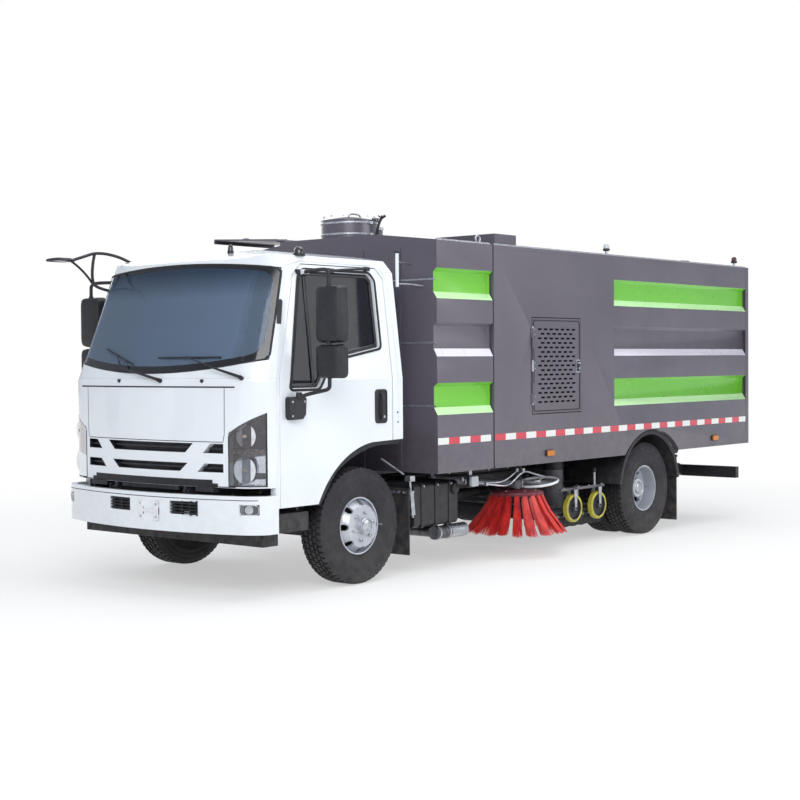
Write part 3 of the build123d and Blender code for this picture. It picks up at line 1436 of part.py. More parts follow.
save("lift_barrels", *barrels)
save("lift_rods", *rods)

# Suction nozzle: a flat hood across the vehicle, its two risers, side bars and forks
hood_front = 2540
hood_back = 3300
hood_half = 880
hood_bottom = 215
hood_top = 288
hood_slant = 60
riser_x = 2950
riser_y = 620
riser_radius = 85
riser_top = 790
riser_wall = 6
caster_front = 2750
caster_back = 3130
caster_radius = 120
caster_width = 50
caster_y = 950
caster_z = 315
caster_axle = 12
bar_front = 2560
bar_back = 3230
bar_low = 470
bar_high = 490
bar_half = 14
fork_plate = 8
bearing_half = 25
handle_x = 3090
handle_top = 620
handle_radius = 10

hood = side_plate([
    (hood_front, hood_bottom),
    (hood_back, hood_bottom),
    (hood_back - hood_slant, hood_top),
    (hood_front + hood_slant, hood_top),
], -hood_half, hood_half)
mouth_front = hood_front + hood_slant * 2
mouth_back = hood_back - hood_slant * 2
mouth_half = hood_half - wall
hood_walls = [
    hood & block(hood_front, mouth_front, -hood_half, hood_half, hood_bottom, hood_top),
    hood & block(mouth_back, hood_back, -hood_half, hood_half, hood_bottom, hood_top),
    block(mouth_front, mouth_back, -mouth_half, mouth_half, hood_top - riser_wall, hood_top),
    block(mouth_front, mouth_back, -hood_half, -mouth_half, hood_bottom, hood_top),
    block(mouth_front, mouth_back, mouth_half, hood_half, hood_bottom, hood_top),
]
nozzle_parts = []
for sign in (-1, 1):
    riser_low = (riser_x, sign * riser_y, hood_top)
    riser_foot = (riser_x, sign * riser_y, hood_top - riser_wall)
    riser_high = (riser_x, sign * riser_y, riser_top)
    riser_hole = rod(riser_foot, riser_high, riser_radius - riser_wall)
    nozzle_parts.append(rod(riser_low, riser_high, riser_radius) - riser_hole)
    hood_walls[2] = hood_walls[2] - riser_hole
    bar_y = sign * caster_y
    side_frame = block(bar_front, bar_back, bar_y - bar_half, bar_y + bar_half, bar_low, bar_high)
    post_near, post_far = sorted((sign * (hood_half - bar_half * 2), bar_y))
    post_x = (caster_front + caster_back) / 2
    side_frame = side_frame + block(post_x - bar_half, post_x + bar_half, post_near, post_far, bar_low,
                                    bar_high)
    post_near, post_far = sorted((sign * (hood_half - bar_half * 2), sign * hood_half))
    side_frame = side_frame + block(post_x - bar_half, post_x + bar_half, post_near, post_far, hood_top,
                                    bar_high)
    side_frame = side_frame + rod((handle_x, bar_y, bar_low), (handle_x, bar_y, handle_top), handle_radius)
    for caster_x in (caster_front, caster_back):
        inner_y = sign * (caster_y - caster_width / 2 - fork_plate)
        near, far = sorted((inner_y, inner_y - sign * fork_plate))
        side_frame = side_frame + block(caster_x - bearing_half, caster_x + bearing_half, near, far,
                                        hood_bottom, bar_high)
        near, far = sorted((inner_y - sign * fork_plate, bar_y))
        side_frame = side_frame + block(caster_x - bearing_half, caster_x + bearing_half, near, far,
                                        bar_low, bar_high)
        side_frame = side_frame - rod((caster_x, -caster_y, caster_z), (caster_x, caster_y, caster_z),
                                      caster_axle + spindle_clearance)
    nozzle_parts.append(side_frame)
save("suction_nozzle", *hood_walls, *nozzle_parts)

for name, caster_x in (("nozzle_wheels_front", caster_front), ("nozzle_wheels_rear", caster_back)):
    axle_rod = rod((caster_x, -caster_y - caster_width / 2, caster_z),
                   (caster_x, caster_y + caster_width / 2, caster_z), caster_axle)
    pair = axle_rod
    for sign in (-1, 1):
        near = (caster_x, sign * (caster_y - caster_width / 2), caster_z)
        far = (caster_x, sign * (caster_y + caster_width / 2), caster_z)
        pair = pair + rod(near, far, caster_radius)
    save(name, pair)

# Fixed sleeves that the nozzle's risers slide in, on brackets from the rails
sleeve_clearance = 0.5
sleeve_wall = 6
sleeve_low = 620
sleeve_high = 925
sleeve_arm = 40
sleeves = []
for sign in (-1, 1):
    low = (riser_x, sign * riser_y, sleeve_low)
    high = (riser_x, sign * riser_y, sleeve_high)
    bore = riser_radius + sleeve_clearance
    near, far = sorted((sign * rail_outer, sign * riser_y))
    arm = block(riser_x - sleeve_arm, riser_x + sleeve_arm, near, far, sleeve_low,
                sleeve_low + sleeve_arm)
    sleeve = rod(low, high, bore + sleeve_wall) + arm
    sleeves.append(sleeve - rod(low, high, bore))

# Side brushes: a swinging arm on the rail, a head that drops on it, and the brush
arm_pivot_x = 1320
arm_pivot_y = 560
arm_z = 640
arm_tube = 30
arm_post_radius = 35
head_x = 2010
head_y = 900
head_sleeve_wall = 14
head_sleeve_low = 542
head_sleeve_high = 602
motor_radius = 45
motor_low = 536
motor_high = 732
brush_plate_radius = 280
brush_plate_low = 500
brush_plate_high = 530
tuft_count = 20
tuft_tip_radius = 415
tuft_thick = 45
tuft_bottom = 180
tuft_gap = 26
ring_radius = 165
ring_tube = 11
spoke_radius = 8
ring_z = 572
ring_offset_x = 225
ring_offset_y = 45
brush_shaft_radius = 15
head_sleeve_middle = (head_sleeve_low + head_sleeve_high) / 2
pivot_bracket_low = 580
pivot_bracket_high = 602


def brush_arm():
    """Left arm: pivot tube, trailing tube, the sleeve that guides the motor, and the guard ring."""
    pivot = rod((arm_pivot_x, -arm_pivot_y, arm_z - arm_tube), (arm_pivot_x, -arm_pivot_y, arm_z + arm_tube),
                arm_post_radius)
    boom = rod((arm_pivot_x, -arm_pivot_y, arm_z), (head_x, -head_y, head_sleeve_middle), arm_tube)
    sleeve = rod((head_x, -head_y, head_sleeve_low), (head_x, -head_y, head_sleeve_high),
                 motor_radius + head_sleeve_wall)
    bore = rod((head_x, -head_y, head_sleeve_low - overrun), (head_x, -head_y, head_sleeve_high + overrun),
               motor_radius + spindle_clearance)
    ring_x = head_x + ring_offset_x
    ring_y = head_y + ring_offset_y
    ring = Solid.make_torus(ring_radius, ring_tube, Plane((ring_x, -ring_y, ring_z)))
    spoke = rod((head_x, -head_y, ring_z), (ring_x + ring_radius, -ring_y, ring_z), spoke_radius)
    pin_bore = rod((arm_pivot_x, -arm_pivot_y, arm_z - overrun), (arm_pivot_x, -arm_pivot_y, arm_z + overrun),
                   cab_pin_radius + spindle_clearance)
    return pivot + boom + sleeve + ring + spoke - bore - pin_bore


def brush_head():
    """Left head: the motor that slides in the arm's sleeve."""
    motor = rod((head_x, -head_y, motor_low), (head_x, -head_y, motor_high), motor_radius)
    bore = rod((head_x, -head_y, motor_low), (head_x, -head_y, motor_high - arm_tube / 2),
               brush_shaft_radius + spindle_clearance)
    return motor - bore


def brush():
    """Left brush: plate, drive shaft and a flared row of tufts cut from one cone."""
    plate = rod((head_x, -head_y, brush_plate_low), (head_x, -head_y, brush_plate_high),
                brush_plate_radius)
    shaft = rod((head_x, -head_y, brush_plate_high), (head_x, -head_y, motor_high - arm_tube),
                brush_shaft_radius)
    height = brush_plate_low - tuft_bottom
    base = Plane((head_x, -head_y, tuft_bottom))
    skirt = Solid.make_cone(tuft_tip_radius, brush_plate_radius, height, base)
    hollow = Solid.make_cone(tuft_tip_radius - tuft_thick, brush_plate_radius - tuft_thick, height, base)
    tufts = skirt - hollow
    for index in range(tuft_count):
        turn = 360 * index / tuft_count
        gap = block(0, tuft_tip_radius + overrun, -tuft_gap / 2, tuft_gap / 2, tuft_bottom - overrun,
                    brush_plate_low)
        tufts = tufts - Pos(head_x, -head_y, 0) * Rot(0, 0, turn) * gap
    return plate + shaft + tufts


left_arm = brush_arm()
left_head = brush_head()
left_brush = brush()
for side, shaped in (("left", lambda shape: shape), ("right", mirrored)):
    save(f"brush_arm_{side}", shaped(left_arm))
    save(f"brush_head_{side}", shaped(left_head))
    save(f"brush_{side}", shaped(left_brush))

pivot_bracket = block(arm_pivot_x - arm_post_radius, arm_pivot_x + arm_post_radius,
                      -arm_pivot_y - arm_post_radius, -rail_outer, pivot_bracket_low,
                      pivot_bracket_high)
pivot_pin = rod((arm_pivot_x, -arm_pivot_y, pivot_bracket_low), (arm_pivot_x, -arm_pivot_y, arm_z + arm_tube),
                cab_pin_radius)
save("sweeper_brackets", *sleeves, *both_sides(pivot_bracket + pivot_pin))
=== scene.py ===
import sys
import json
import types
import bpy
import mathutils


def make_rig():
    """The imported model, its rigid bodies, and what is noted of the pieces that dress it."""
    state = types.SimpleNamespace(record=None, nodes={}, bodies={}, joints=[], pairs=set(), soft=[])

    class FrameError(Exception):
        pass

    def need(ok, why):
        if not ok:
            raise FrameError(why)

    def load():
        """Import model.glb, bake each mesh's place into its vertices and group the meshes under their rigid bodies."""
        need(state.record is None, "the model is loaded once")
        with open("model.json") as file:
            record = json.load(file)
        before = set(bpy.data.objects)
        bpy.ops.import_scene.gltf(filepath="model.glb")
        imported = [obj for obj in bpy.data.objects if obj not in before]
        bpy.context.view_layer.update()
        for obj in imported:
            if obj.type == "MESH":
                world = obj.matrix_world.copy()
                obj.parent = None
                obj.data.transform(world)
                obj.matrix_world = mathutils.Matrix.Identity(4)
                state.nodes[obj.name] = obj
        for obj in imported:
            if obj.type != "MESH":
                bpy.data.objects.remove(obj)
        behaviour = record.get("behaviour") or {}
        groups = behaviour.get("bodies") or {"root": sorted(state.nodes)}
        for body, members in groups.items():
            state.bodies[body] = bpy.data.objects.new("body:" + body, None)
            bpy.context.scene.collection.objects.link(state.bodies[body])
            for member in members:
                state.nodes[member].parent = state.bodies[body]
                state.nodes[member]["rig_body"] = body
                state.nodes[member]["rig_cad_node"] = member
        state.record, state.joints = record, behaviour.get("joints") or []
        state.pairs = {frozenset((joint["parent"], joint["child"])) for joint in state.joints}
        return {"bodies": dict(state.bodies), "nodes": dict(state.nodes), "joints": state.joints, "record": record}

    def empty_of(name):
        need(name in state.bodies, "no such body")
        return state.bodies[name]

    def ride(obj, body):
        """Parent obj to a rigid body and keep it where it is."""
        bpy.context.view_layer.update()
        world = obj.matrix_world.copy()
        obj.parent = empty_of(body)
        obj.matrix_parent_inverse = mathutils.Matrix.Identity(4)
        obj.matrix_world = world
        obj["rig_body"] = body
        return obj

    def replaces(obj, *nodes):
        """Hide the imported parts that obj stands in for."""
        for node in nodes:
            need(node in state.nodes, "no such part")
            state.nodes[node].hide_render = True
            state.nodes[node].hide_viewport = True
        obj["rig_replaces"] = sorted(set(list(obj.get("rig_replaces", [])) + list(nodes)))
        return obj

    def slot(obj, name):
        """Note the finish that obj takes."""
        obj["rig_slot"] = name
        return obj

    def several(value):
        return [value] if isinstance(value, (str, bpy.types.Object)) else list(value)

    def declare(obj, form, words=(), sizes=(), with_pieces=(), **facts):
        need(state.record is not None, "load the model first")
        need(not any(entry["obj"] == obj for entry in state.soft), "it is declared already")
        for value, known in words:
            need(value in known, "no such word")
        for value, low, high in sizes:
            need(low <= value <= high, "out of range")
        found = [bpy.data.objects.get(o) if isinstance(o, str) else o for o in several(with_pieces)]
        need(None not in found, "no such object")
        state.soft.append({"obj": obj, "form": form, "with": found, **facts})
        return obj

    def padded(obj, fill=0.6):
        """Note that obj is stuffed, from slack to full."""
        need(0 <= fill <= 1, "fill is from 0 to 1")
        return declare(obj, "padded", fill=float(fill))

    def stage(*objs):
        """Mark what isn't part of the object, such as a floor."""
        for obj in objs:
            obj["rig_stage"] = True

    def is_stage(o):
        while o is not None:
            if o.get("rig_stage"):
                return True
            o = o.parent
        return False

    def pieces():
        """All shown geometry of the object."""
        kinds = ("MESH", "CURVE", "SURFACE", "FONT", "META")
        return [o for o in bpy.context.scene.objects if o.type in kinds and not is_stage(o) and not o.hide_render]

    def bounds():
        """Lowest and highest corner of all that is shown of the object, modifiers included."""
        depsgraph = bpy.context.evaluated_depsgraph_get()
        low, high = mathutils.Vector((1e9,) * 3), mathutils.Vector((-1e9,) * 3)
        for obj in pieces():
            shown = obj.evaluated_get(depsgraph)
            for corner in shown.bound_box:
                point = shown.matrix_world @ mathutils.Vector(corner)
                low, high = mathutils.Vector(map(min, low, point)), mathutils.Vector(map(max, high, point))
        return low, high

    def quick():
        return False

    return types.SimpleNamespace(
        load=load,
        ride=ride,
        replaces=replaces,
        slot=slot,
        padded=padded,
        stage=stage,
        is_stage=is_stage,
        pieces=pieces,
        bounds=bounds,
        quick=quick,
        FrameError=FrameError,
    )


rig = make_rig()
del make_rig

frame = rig.load()

import json
import math

import bmesh
import bpy
from bpy.props import FloatProperty, FloatVectorProperty, IntProperty, PointerProperty
from bpy.types import Operator, Panel, PropertyGroup
from mathutils import Matrix, Vector
from mathutils.bvhtree import BVHTree

bl_info = {
    "name": "Street sweeper truck",
    "version": (1, 0, 0),
    "blender": (4, 5, 0),
    "location": "3D View > Sidebar > Sweeper",
    "description": "Finishes, trim and small parts of a street sweeper truck on its packed solids",
    "category": "Object",
}

CAD_BOX = [list(corner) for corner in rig.bounds()]

# Places are in metres from the front axle, as in the part's source: X rearward, Y to the
# right, Z up. This moves them to the frame's origin.
FRONT_AXLE = Vector((-2.235, 0, 0))
SIDES = (("left", -1), ("right", 1))


def linear(code):
    """Linear colour of an sRGB hex value."""
    parts = [int(code[i:i + 2], 16) / 255 for i in (0, 2, 4)]
    return [c / 12.92 if c <= 0.04045 else ((c + 0.055) / 1.055) ** 2.4 for c in parts] + [1]


# ---- Materials

def node(tree, kind, inputs=None, **settings):
    """Add a node with its settings, and give each input a value or a link."""
    made = tree.nodes.new(kind)
    for name, value in settings.items():
        setattr(made, name, value)
    for key, value in (inputs or {}).items():
        if isinstance(value, bpy.types.NodeSocket):
            tree.links.new(value, made.inputs[key])
        else:
            made.inputs[key].default_value = value
    return made


def material(name, recipe):
    """The named material, mixed by its recipe on first use."""
    found = bpy.data.materials.get(name)
    if found is None:
        found = bpy.data.materials.new(name)
        found.use_nodes = True
        tree = found.node_tree
        tree.nodes.clear()
        place = node(tree, "ShaderNodeTexCoord").outputs["Object"]
        node(tree, "ShaderNodeOutputMaterial", {"Surface": recipe(tree, place)})
    return found


def noise(tree, place, size_mm, detail, stretch=(1, 1, 1)):
    """Noise whose blobs are about the given size, longer along an axis with a stretch over 1."""
    spread = node(tree, "ShaderNodeMapping", {"Vector": place, "Scale": [1 / s for s in stretch]})
    return node(tree, "ShaderNodeTexNoise",
                {"Vector": spread.outputs[0], "Scale": 1000 / size_mm, "Detail": detail}).outputs[0]


def ranged(tree, value, low, high, to_low=0.0, to_high=1.0):
    """Value carried from one range to another, held at its ends."""
    return node(tree, "ShaderNodeMapRange",
                {"Value": value, "From Min": low, "From Max": high, "To Min": to_low,
                 "To Max": to_high}).outputs[0]


def mixed(tree, share, first, second):
    """Colour between two colours or sockets, by share."""
    made = node(tree, "ShaderNodeMix", {0: share}, data_type="RGBA")
    for slot, value in ((6, first), (7, second)):
        if isinstance(value, bpy.types.NodeSocket):
            tree.links.new(value, made.inputs[slot])
        else:
            made.inputs[slot].default_value = linear(value) if isinstance(value, str) else value
    return made.outputs[2]


def coat(light, dark, patch_mm=300, rough=(0.25, 0.4), relief=0.0, relief_mm=2.0, stretch=(1, 1, 1),
         dust=None, dust_top=0.0, dust_share=0.5, **shader):
    """Recipe of an opaque finish: two tones in soft patches, uneven gloss, a fine relief in
    millimetres and, below a height, road dust that thins out upwards."""
    def recipe(tree, place):
        tone = mixed(tree, ranged(tree, noise(tree, place, patch_mm, 4, stretch), 0.35, 0.65), light, dark)
        fine = noise(tree, place, relief_mm, 2, stretch)
        gloss = ranged(tree, noise(tree, place, patch_mm / 4, 5, stretch), 0.3, 0.7, *rough)
        if dust:
            height = node(tree, "ShaderNodeSeparateXYZ", {0: place}).outputs[2]
            fall = ranged(tree, height, dust_top, 0.15, 0.0, dust_share)
            cloud = ranged(tree, noise(tree, place, 60, 6), 0.35, 0.7)
            share = node(tree, "ShaderNodeMath", {0: fall, 1: cloud}, operation="MULTIPLY").outputs[0]
            tone = mixed(tree, share, tone, dust)
        shade = node(tree, "ShaderNodeBsdfPrincipled", {"Base Color": tone, "Roughness": gloss})
        if relief:
            bump = node(tree, "ShaderNodeBump", {"Height": fine, "Strength": 0.6, "Distance": relief / 1000})
            tree.links.new(bump.outputs[0], shade.inputs["Normal"])
        for name, value in shader.items():
            shade.inputs[name.replace("_", " ")].default_value = value
        return shade.outputs[0]
    return recipe


def clear(tint, rough=0.02, body=0.3, ior=1.5, look="FFFFFF", top_tint=None, top_low=0.0, top_high=1.0):
    """Recipe of a thin clear sheet: most light passes straight through, tinted by look, the rest
    meets the sheet's own colour and gloss, more so at a glancing angle. A shade band may darken it."""
    def recipe(tree, place):
        colour = linear(tint)
        if top_tint:
            height = node(tree, "ShaderNodeSeparateXYZ", {0: place}).outputs[2]
            colour = mixed(tree, ranged(tree, height, top_low, top_high), tint, top_tint)
        glancing = node(tree, "ShaderNodeFresnel", {"IOR": ior}).outputs[0]
        share = node(tree, "ShaderNodeMath", {0: glancing, 1: body}, operation="ADD", use_clamp=True).outputs[0]
        through = node(tree, "ShaderNodeBsdfTransparent", {"Color": linear(look)})
        sheet = node(tree, "ShaderNodeBsdfPrincipled", {"Base Color": colour, "Roughness": rough, "IOR": ior,
                                                        "Coat Weight": 0.5, "Coat Roughness": 0.02})
        return node(tree, "ShaderNodeMixShader", {0: share, 1: through.outputs[0], 2: sheet.outputs[0]}).outputs[0]
    return recipe




# ---- Meshes

def block(bm, x0, x1, y0, y1, z0, z1, mat=0):
    """Box between two corners, each pair of places in either order."""
    corners = [bm.verts.new((x, y, z)) for x in sorted((x0, x1)) for y in sorted((y0, y1))
               for z in sorted((z0, z1))]
    for loop in ((0, 1, 3, 2), (4, 6, 7, 5), (0, 4, 5, 1), (2, 3, 7, 6), (0, 2, 6, 4), (1, 5, 7, 3)):
        bm.faces.new([corners[i] for i in loop]).material_index = mat


def bridged(bm, rings, mat=0, closed=False):
    """Skin between closed rings of points, and back to the first ring if it is closed."""
    for low, high in zip(rings, rings[1:] + rings[:1] if closed else rings[1:]):
        for i in range(len(low)):
            j = (i + 1) % len(low)
            bm.faces.new((low[i], low[j], high[j], high[i])).material_index = mat


def channel(bm, rows):
    """Bar of a closed section, capped at both ends, from a row of points for each corner of the section."""
    for low, high in zip(rows, rows[1:] + rows[:1]):
        for k in range(len(low) - 1):
            bm.faces.new((low[k], low[k + 1], high[k + 1], high[k]))
    bm.faces.new([row[0] for row in rows])
    bm.faces.new([row[-1] for row in reversed(rows)])


def taken_in(bm, mesh, mat=0):
    """Move a finished mesh into a mesh in progress, in one of its materials."""
    start = len(bm.faces)
    bm.from_mesh(mesh)
    bpy.data.meshes.remove(mesh)
    bm.faces.ensure_lookup_table()
    for face in bm.faces[start:]:
        face.material_index = mat
    return bm


def turned(bm, profile, centre, axis, sides=32, mat=0, closed=False, ends=True):
    """Surface turned about an axis through a centre, from (radius, distance along) points."""
    axis = Vector(axis).normalized()
    across = axis.orthogonal().normalized()
    upright = axis.cross(across)
    rings = []
    for radius, along in profile:
        spot = Vector(centre) + axis * along
        rings.append([bm.verts.new(spot + (across * math.cos(math.tau * i / sides)
                                           + upright * math.sin(math.tau * i / sides)) * radius)
                      for i in range(sides)])
    bridged(bm, rings, mat, closed)
    if ends and not closed:
        for ring in (rings[0], rings[-1]):
            bm.faces.new(ring).material_index = mat


def rod(bm, start, end, radius, sides=16, mat=0, end_radius=None):
    """Round bar or cone between two points."""
    start, end = Vector(start), Vector(end)
    length = (end - start).length
    far = radius if end_radius is None else end_radius
    turned(bm, [(radius, 0), (far, length)], start, end - start, sides, mat)


def pipe(bm, points, radius, sides=10, mat=0, closed=False, straight=False):
    """Bent tube along points, round at its bends unless it is straight."""
    data = bpy.data.curves.new("bend", "CURVE")
    data.dimensions = "3D"
    data.bevel_depth = radius
    data.bevel_resolution = max(1, sides // 4)
    data.use_fill_caps = True
    spline = data.splines.new("POLY" if straight else "NURBS")
    spline.points.add(len(points) - 1)
    for point, place in zip(spline.points, points):
        point.co = (*place, 1)
    spline.use_cyclic_u = closed
    if not straight:
        spline.order_u = 3
        spline.resolution_u = 6
        spline.use_endpoint_u = not closed
    holder = bpy.data.objects.new("bend", data)
    mesh = bpy.data.meshes.new_from_object(holder)
    for polygon in mesh.polygons:
        polygon.material_index = mat
    bm.from_mesh(mesh)
    bpy.data.objects.remove(holder)
    bpy.data.curves.remove(data)
    bpy.data.meshes.remove(mesh)


def prism(bm, outline, depth, mat=0):
    """Plate from an outline of points, thick along a vector."""
    low = [bm.verts.new(Vector(p)) for p in outline]
    high = [bm.verts.new(Vector(p) + Vector(depth)) for p in outline]
    bm.faces.new(low[::-1]).material_index = mat
    bm.faces.new(high).material_index = mat
    bridged(bm, [low, high], mat)


def rounded(points, radius, steps=5):
    """Flat outline of (a, b) points with its corners rounded."""
    made = []
    count = len(points)
    for i, corner in enumerate(points):
        corner = Vector(corner)
        before, after = Vector(points[i - 1]) - corner, Vector(points[(i + 1) % count]) - corner
        reach = min(radius, before.length * 0.45, after.length * 0.45)
        start, end = corner + before.normalized() * reach, corner + after.normalized() * reach
        for step in range(steps + 1):
            t = step / steps
            made.append(start * (1 - t) ** 2 + corner * 2 * t * (1 - t) + end * t ** 2)
    return made


def mirrored(bm):
    """A copy of a mesh in progress on the other side of the vehicle."""
    twin = bm.copy()
    bmesh.ops.scale(twin, vec=(1, -1, 1), verts=twin.verts)
    bmesh.ops.reverse_faces(twin, faces=twin.faces)
    return twin


def joined(*parts):
    """One mesh in progress from several."""
    whole = bmesh.new()
    for part in parts:
        mesh = bpy.data.meshes.new("joined")
        part.to_mesh(mesh)
        whole.from_mesh(mesh)
        bpy.data.meshes.remove(mesh)
        part.free()
    return whole


def piece(name, shape, body, slot, materials, replaces=(), bevel=0.0, steps=2, smooth=35, outward=True,
          thick=0.0):
    """Object at the origin from a mesh in progress or a finished mesh, riding on a body."""
    if isinstance(shape, bmesh.types.BMesh):
        if outward:
            bmesh.ops.recalc_face_normals(shape, faces=shape.faces)
        mesh = bpy.data.meshes.new(name)
        shape.to_mesh(mesh)
        shape.free()
    else:
        mesh = shape
        mesh.name = name
    mesh.transform(Matrix.Translation(FRONT_AXLE))
    for item in materials or ():
        mesh.materials.append(item)
    mesh.shade_smooth()
    mesh.set_sharp_from_angle(angle=math.radians(smooth))
    made = bpy.data.objects.new(name, mesh)
    bpy.context.scene.collection.objects.link(made)
    if thick:
        wall = made.modifiers.new("wall", "SOLIDIFY")
        wall.thickness = thick
        wall.offset = -1
    if bevel:
        edge = made.modifiers.new("edges", "BEVEL")
        edge.width = bevel
        edge.segments = steps
        edge.limit_method = "ANGLE"
        edge.angle_limit = math.radians(32)
        edge.harden_normals = True
        edge.use_clamp_overlap = True
    if replaces:
        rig.replaces(made, *replaces)
    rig.ride(made, body)
    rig.slot(made, slot)
    return made


def solid_of(name):
    """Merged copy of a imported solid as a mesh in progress, measured from the front axle."""
    bm = bmesh.new()
    bm.from_mesh(frame["nodes"][name].data)
    bmesh.ops.translate(bm, verts=bm.verts, vec=-FRONT_AXLE)
    bmesh.ops.remove_doubles(bm, verts=bm.verts, dist=2e-5)
    bmesh.ops.dissolve_degenerate(bm, dist=1e-5, edges=bm.edges)
    bmesh.ops.dissolve_limit(bm, angle_limit=math.radians(0.6), verts=bm.verts, edges=bm.edges)
    return bm


BODY_OF = {name: node_object["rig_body"] for name, node_object in frame["nodes"].items()}
SLOT_OF = {row["node"]: row["material_slot"] for row in frame["record"]["subparts"]}


def dressed(name, materials, paint=None, bevel=0.0, steps=2, smooth=35):
    """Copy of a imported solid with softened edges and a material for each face."""
    bm = solid_of(name)
    bm.normal_update()
    if paint:
        for face in bm.faces:
            face.material_index = paint(face.calc_center_median(), face.normal)
    return piece(f"{name}_skin", bm, BODY_OF[name], SLOT_OF[name], materials, (name,), bevel, steps,
                 smooth, outward=False)


def painted(names, recipe_name, recipe):
    """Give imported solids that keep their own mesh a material."""
    for name in names:
        data = frame["nodes"][name].data
        data.materials.clear()
        data.materials.append(material(recipe_name, recipe))


def skin_of(*names):
    """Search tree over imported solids, measured from the front axle."""
    bm = bmesh.new()
    for name in names:
        bm.from_mesh(frame["nodes"][name].data)
    bmesh.ops.translate(bm, verts=bm.verts, vec=-FRONT_AXLE)
    tree = BVHTree.FromBMesh(bm)
    bm.free()
    return tree


def landed(tree, start, direction, lift=0.0):
    """Where a line first meets the searched solids, lifted off them along their normal."""
    spot, normal, _, _ = tree.ray_cast(Vector(start), Vector(direction).normalized())
    if spot is None:
        raise RuntimeError(f"nothing to land on from {tuple(start)}")
    if normal.dot(Vector(direction)) > 0:
        normal = -normal
    return spot + normal * lift, normal


def ribbon(bm, tree, points, direction, width, lift=0.0006, closed=False):
    """Thin strip laid on the searched solids under a line of points."""
    step = 0.02
    line = []
    ends = points + points[:1] if closed else points
    for start, end in zip(ends, ends[1:]):
        start, end = Vector(start), Vector(end)
        count = max(1, int((end - start).length / step))
        line += [start.lerp(end, i / count) for i in range(count)]
    if not closed:
        line.append(Vector(ends[-1]))
    direction = Vector(direction).normalized()
    count = len(line)
    rows = []
    for i, spot in enumerate(line):
        before = line[i - 1] if closed or i else spot
        after = line[(i + 1) % count] if closed or i < count - 1 else spot
        along = (after - before).normalized()
        across = along.cross(direction).normalized() * width / 2
        rows.append([bm.verts.new(landed(tree, spot + side, direction, lift)[0])
                     for side in (across, -across)])
    pairs = list(zip(rows, rows[1:] + rows[:1])) if closed else list(zip(rows, rows[1:]))
    for (a, b), (c, d) in pairs:
        bm.faces.new((a, b, d, c))


# ---- Geometry Nodes

def socket_in(tree, name, kind, default=None):
    """Named input of a geometry tree."""
    made = tree.interface.new_socket(name, in_out="INPUT", socket_type=kind)
    if default is not None:
        made.default_value = default
    return made.identifier


def ring_tree():
    """Tree that sets a shape round a circle, facing outward, with a small random tilt."""
    tree = bpy.data.node_groups.get("Ring of pieces")
    if tree:
        return tree
    tree = bpy.data.node_groups.new("Ring of pieces", "GeometryNodeTree")
    socket_in(tree, "Geometry", "NodeSocketGeometry")
    socket_in(tree, "Piece", "NodeSocketObject")
    socket_in(tree, "Count", "NodeSocketInt", 8)
    socket_in(tree, "Radius", "NodeSocketFloat", 0.1)
    socket_in(tree, "Jitter", "NodeSocketFloat", 0.0)
    socket_in(tree, "Seed", "NodeSocketInt", 7)
    socket_in(tree, "Material", "NodeSocketMaterial")
    tree.interface.new_socket("Geometry", in_out="OUTPUT", socket_type="NodeSocketGeometry")
    given = node(tree, "NodeGroupInput").outputs
    circle = node(tree, "GeometryNodeMeshCircle", {"Vertices": given["Count"], "Radius": given["Radius"]})
    facing = node(tree, "FunctionNodeAlignRotationToVector",
                  {"Vector": node(tree, "GeometryNodeInputPosition").outputs[0]}, axis="X", pivot_axis="Z")
    minus = node(tree, "ShaderNodeMath", {0: given["Jitter"], 1: -1.0}, operation="MULTIPLY")
    tilt = node(tree, "FunctionNodeRandomValue",
                {"Min": minus.outputs[0], "Max": given["Jitter"], "Seed": given["Seed"]}, data_type="FLOAT_VECTOR")
    turn = node(tree, "FunctionNodeEulerToRotation", {0: tilt.outputs[0]})
    both = node(tree, "FunctionNodeRotateRotation",
                {0: facing.outputs[0], 1: turn.outputs[0]}, rotation_space="LOCAL")
    shape = node(tree, "GeometryNodeObjectInfo", {"Object": given["Piece"]})
    laid = node(tree, "GeometryNodeInstanceOnPoints",
                {"Points": circle.outputs[0], "Instance": shape.outputs["Geometry"],
                 "Rotation": both.outputs[0]})
    real = node(tree, "GeometryNodeRealizeInstances", {0: laid.outputs[0]})
    dressed_up = node(tree, "GeometryNodeSetMaterial", {"Geometry": real.outputs[0], "Material": given["Material"]})
    node(tree, "NodeGroupOutput", {0: dressed_up.outputs[0]})
    return tree


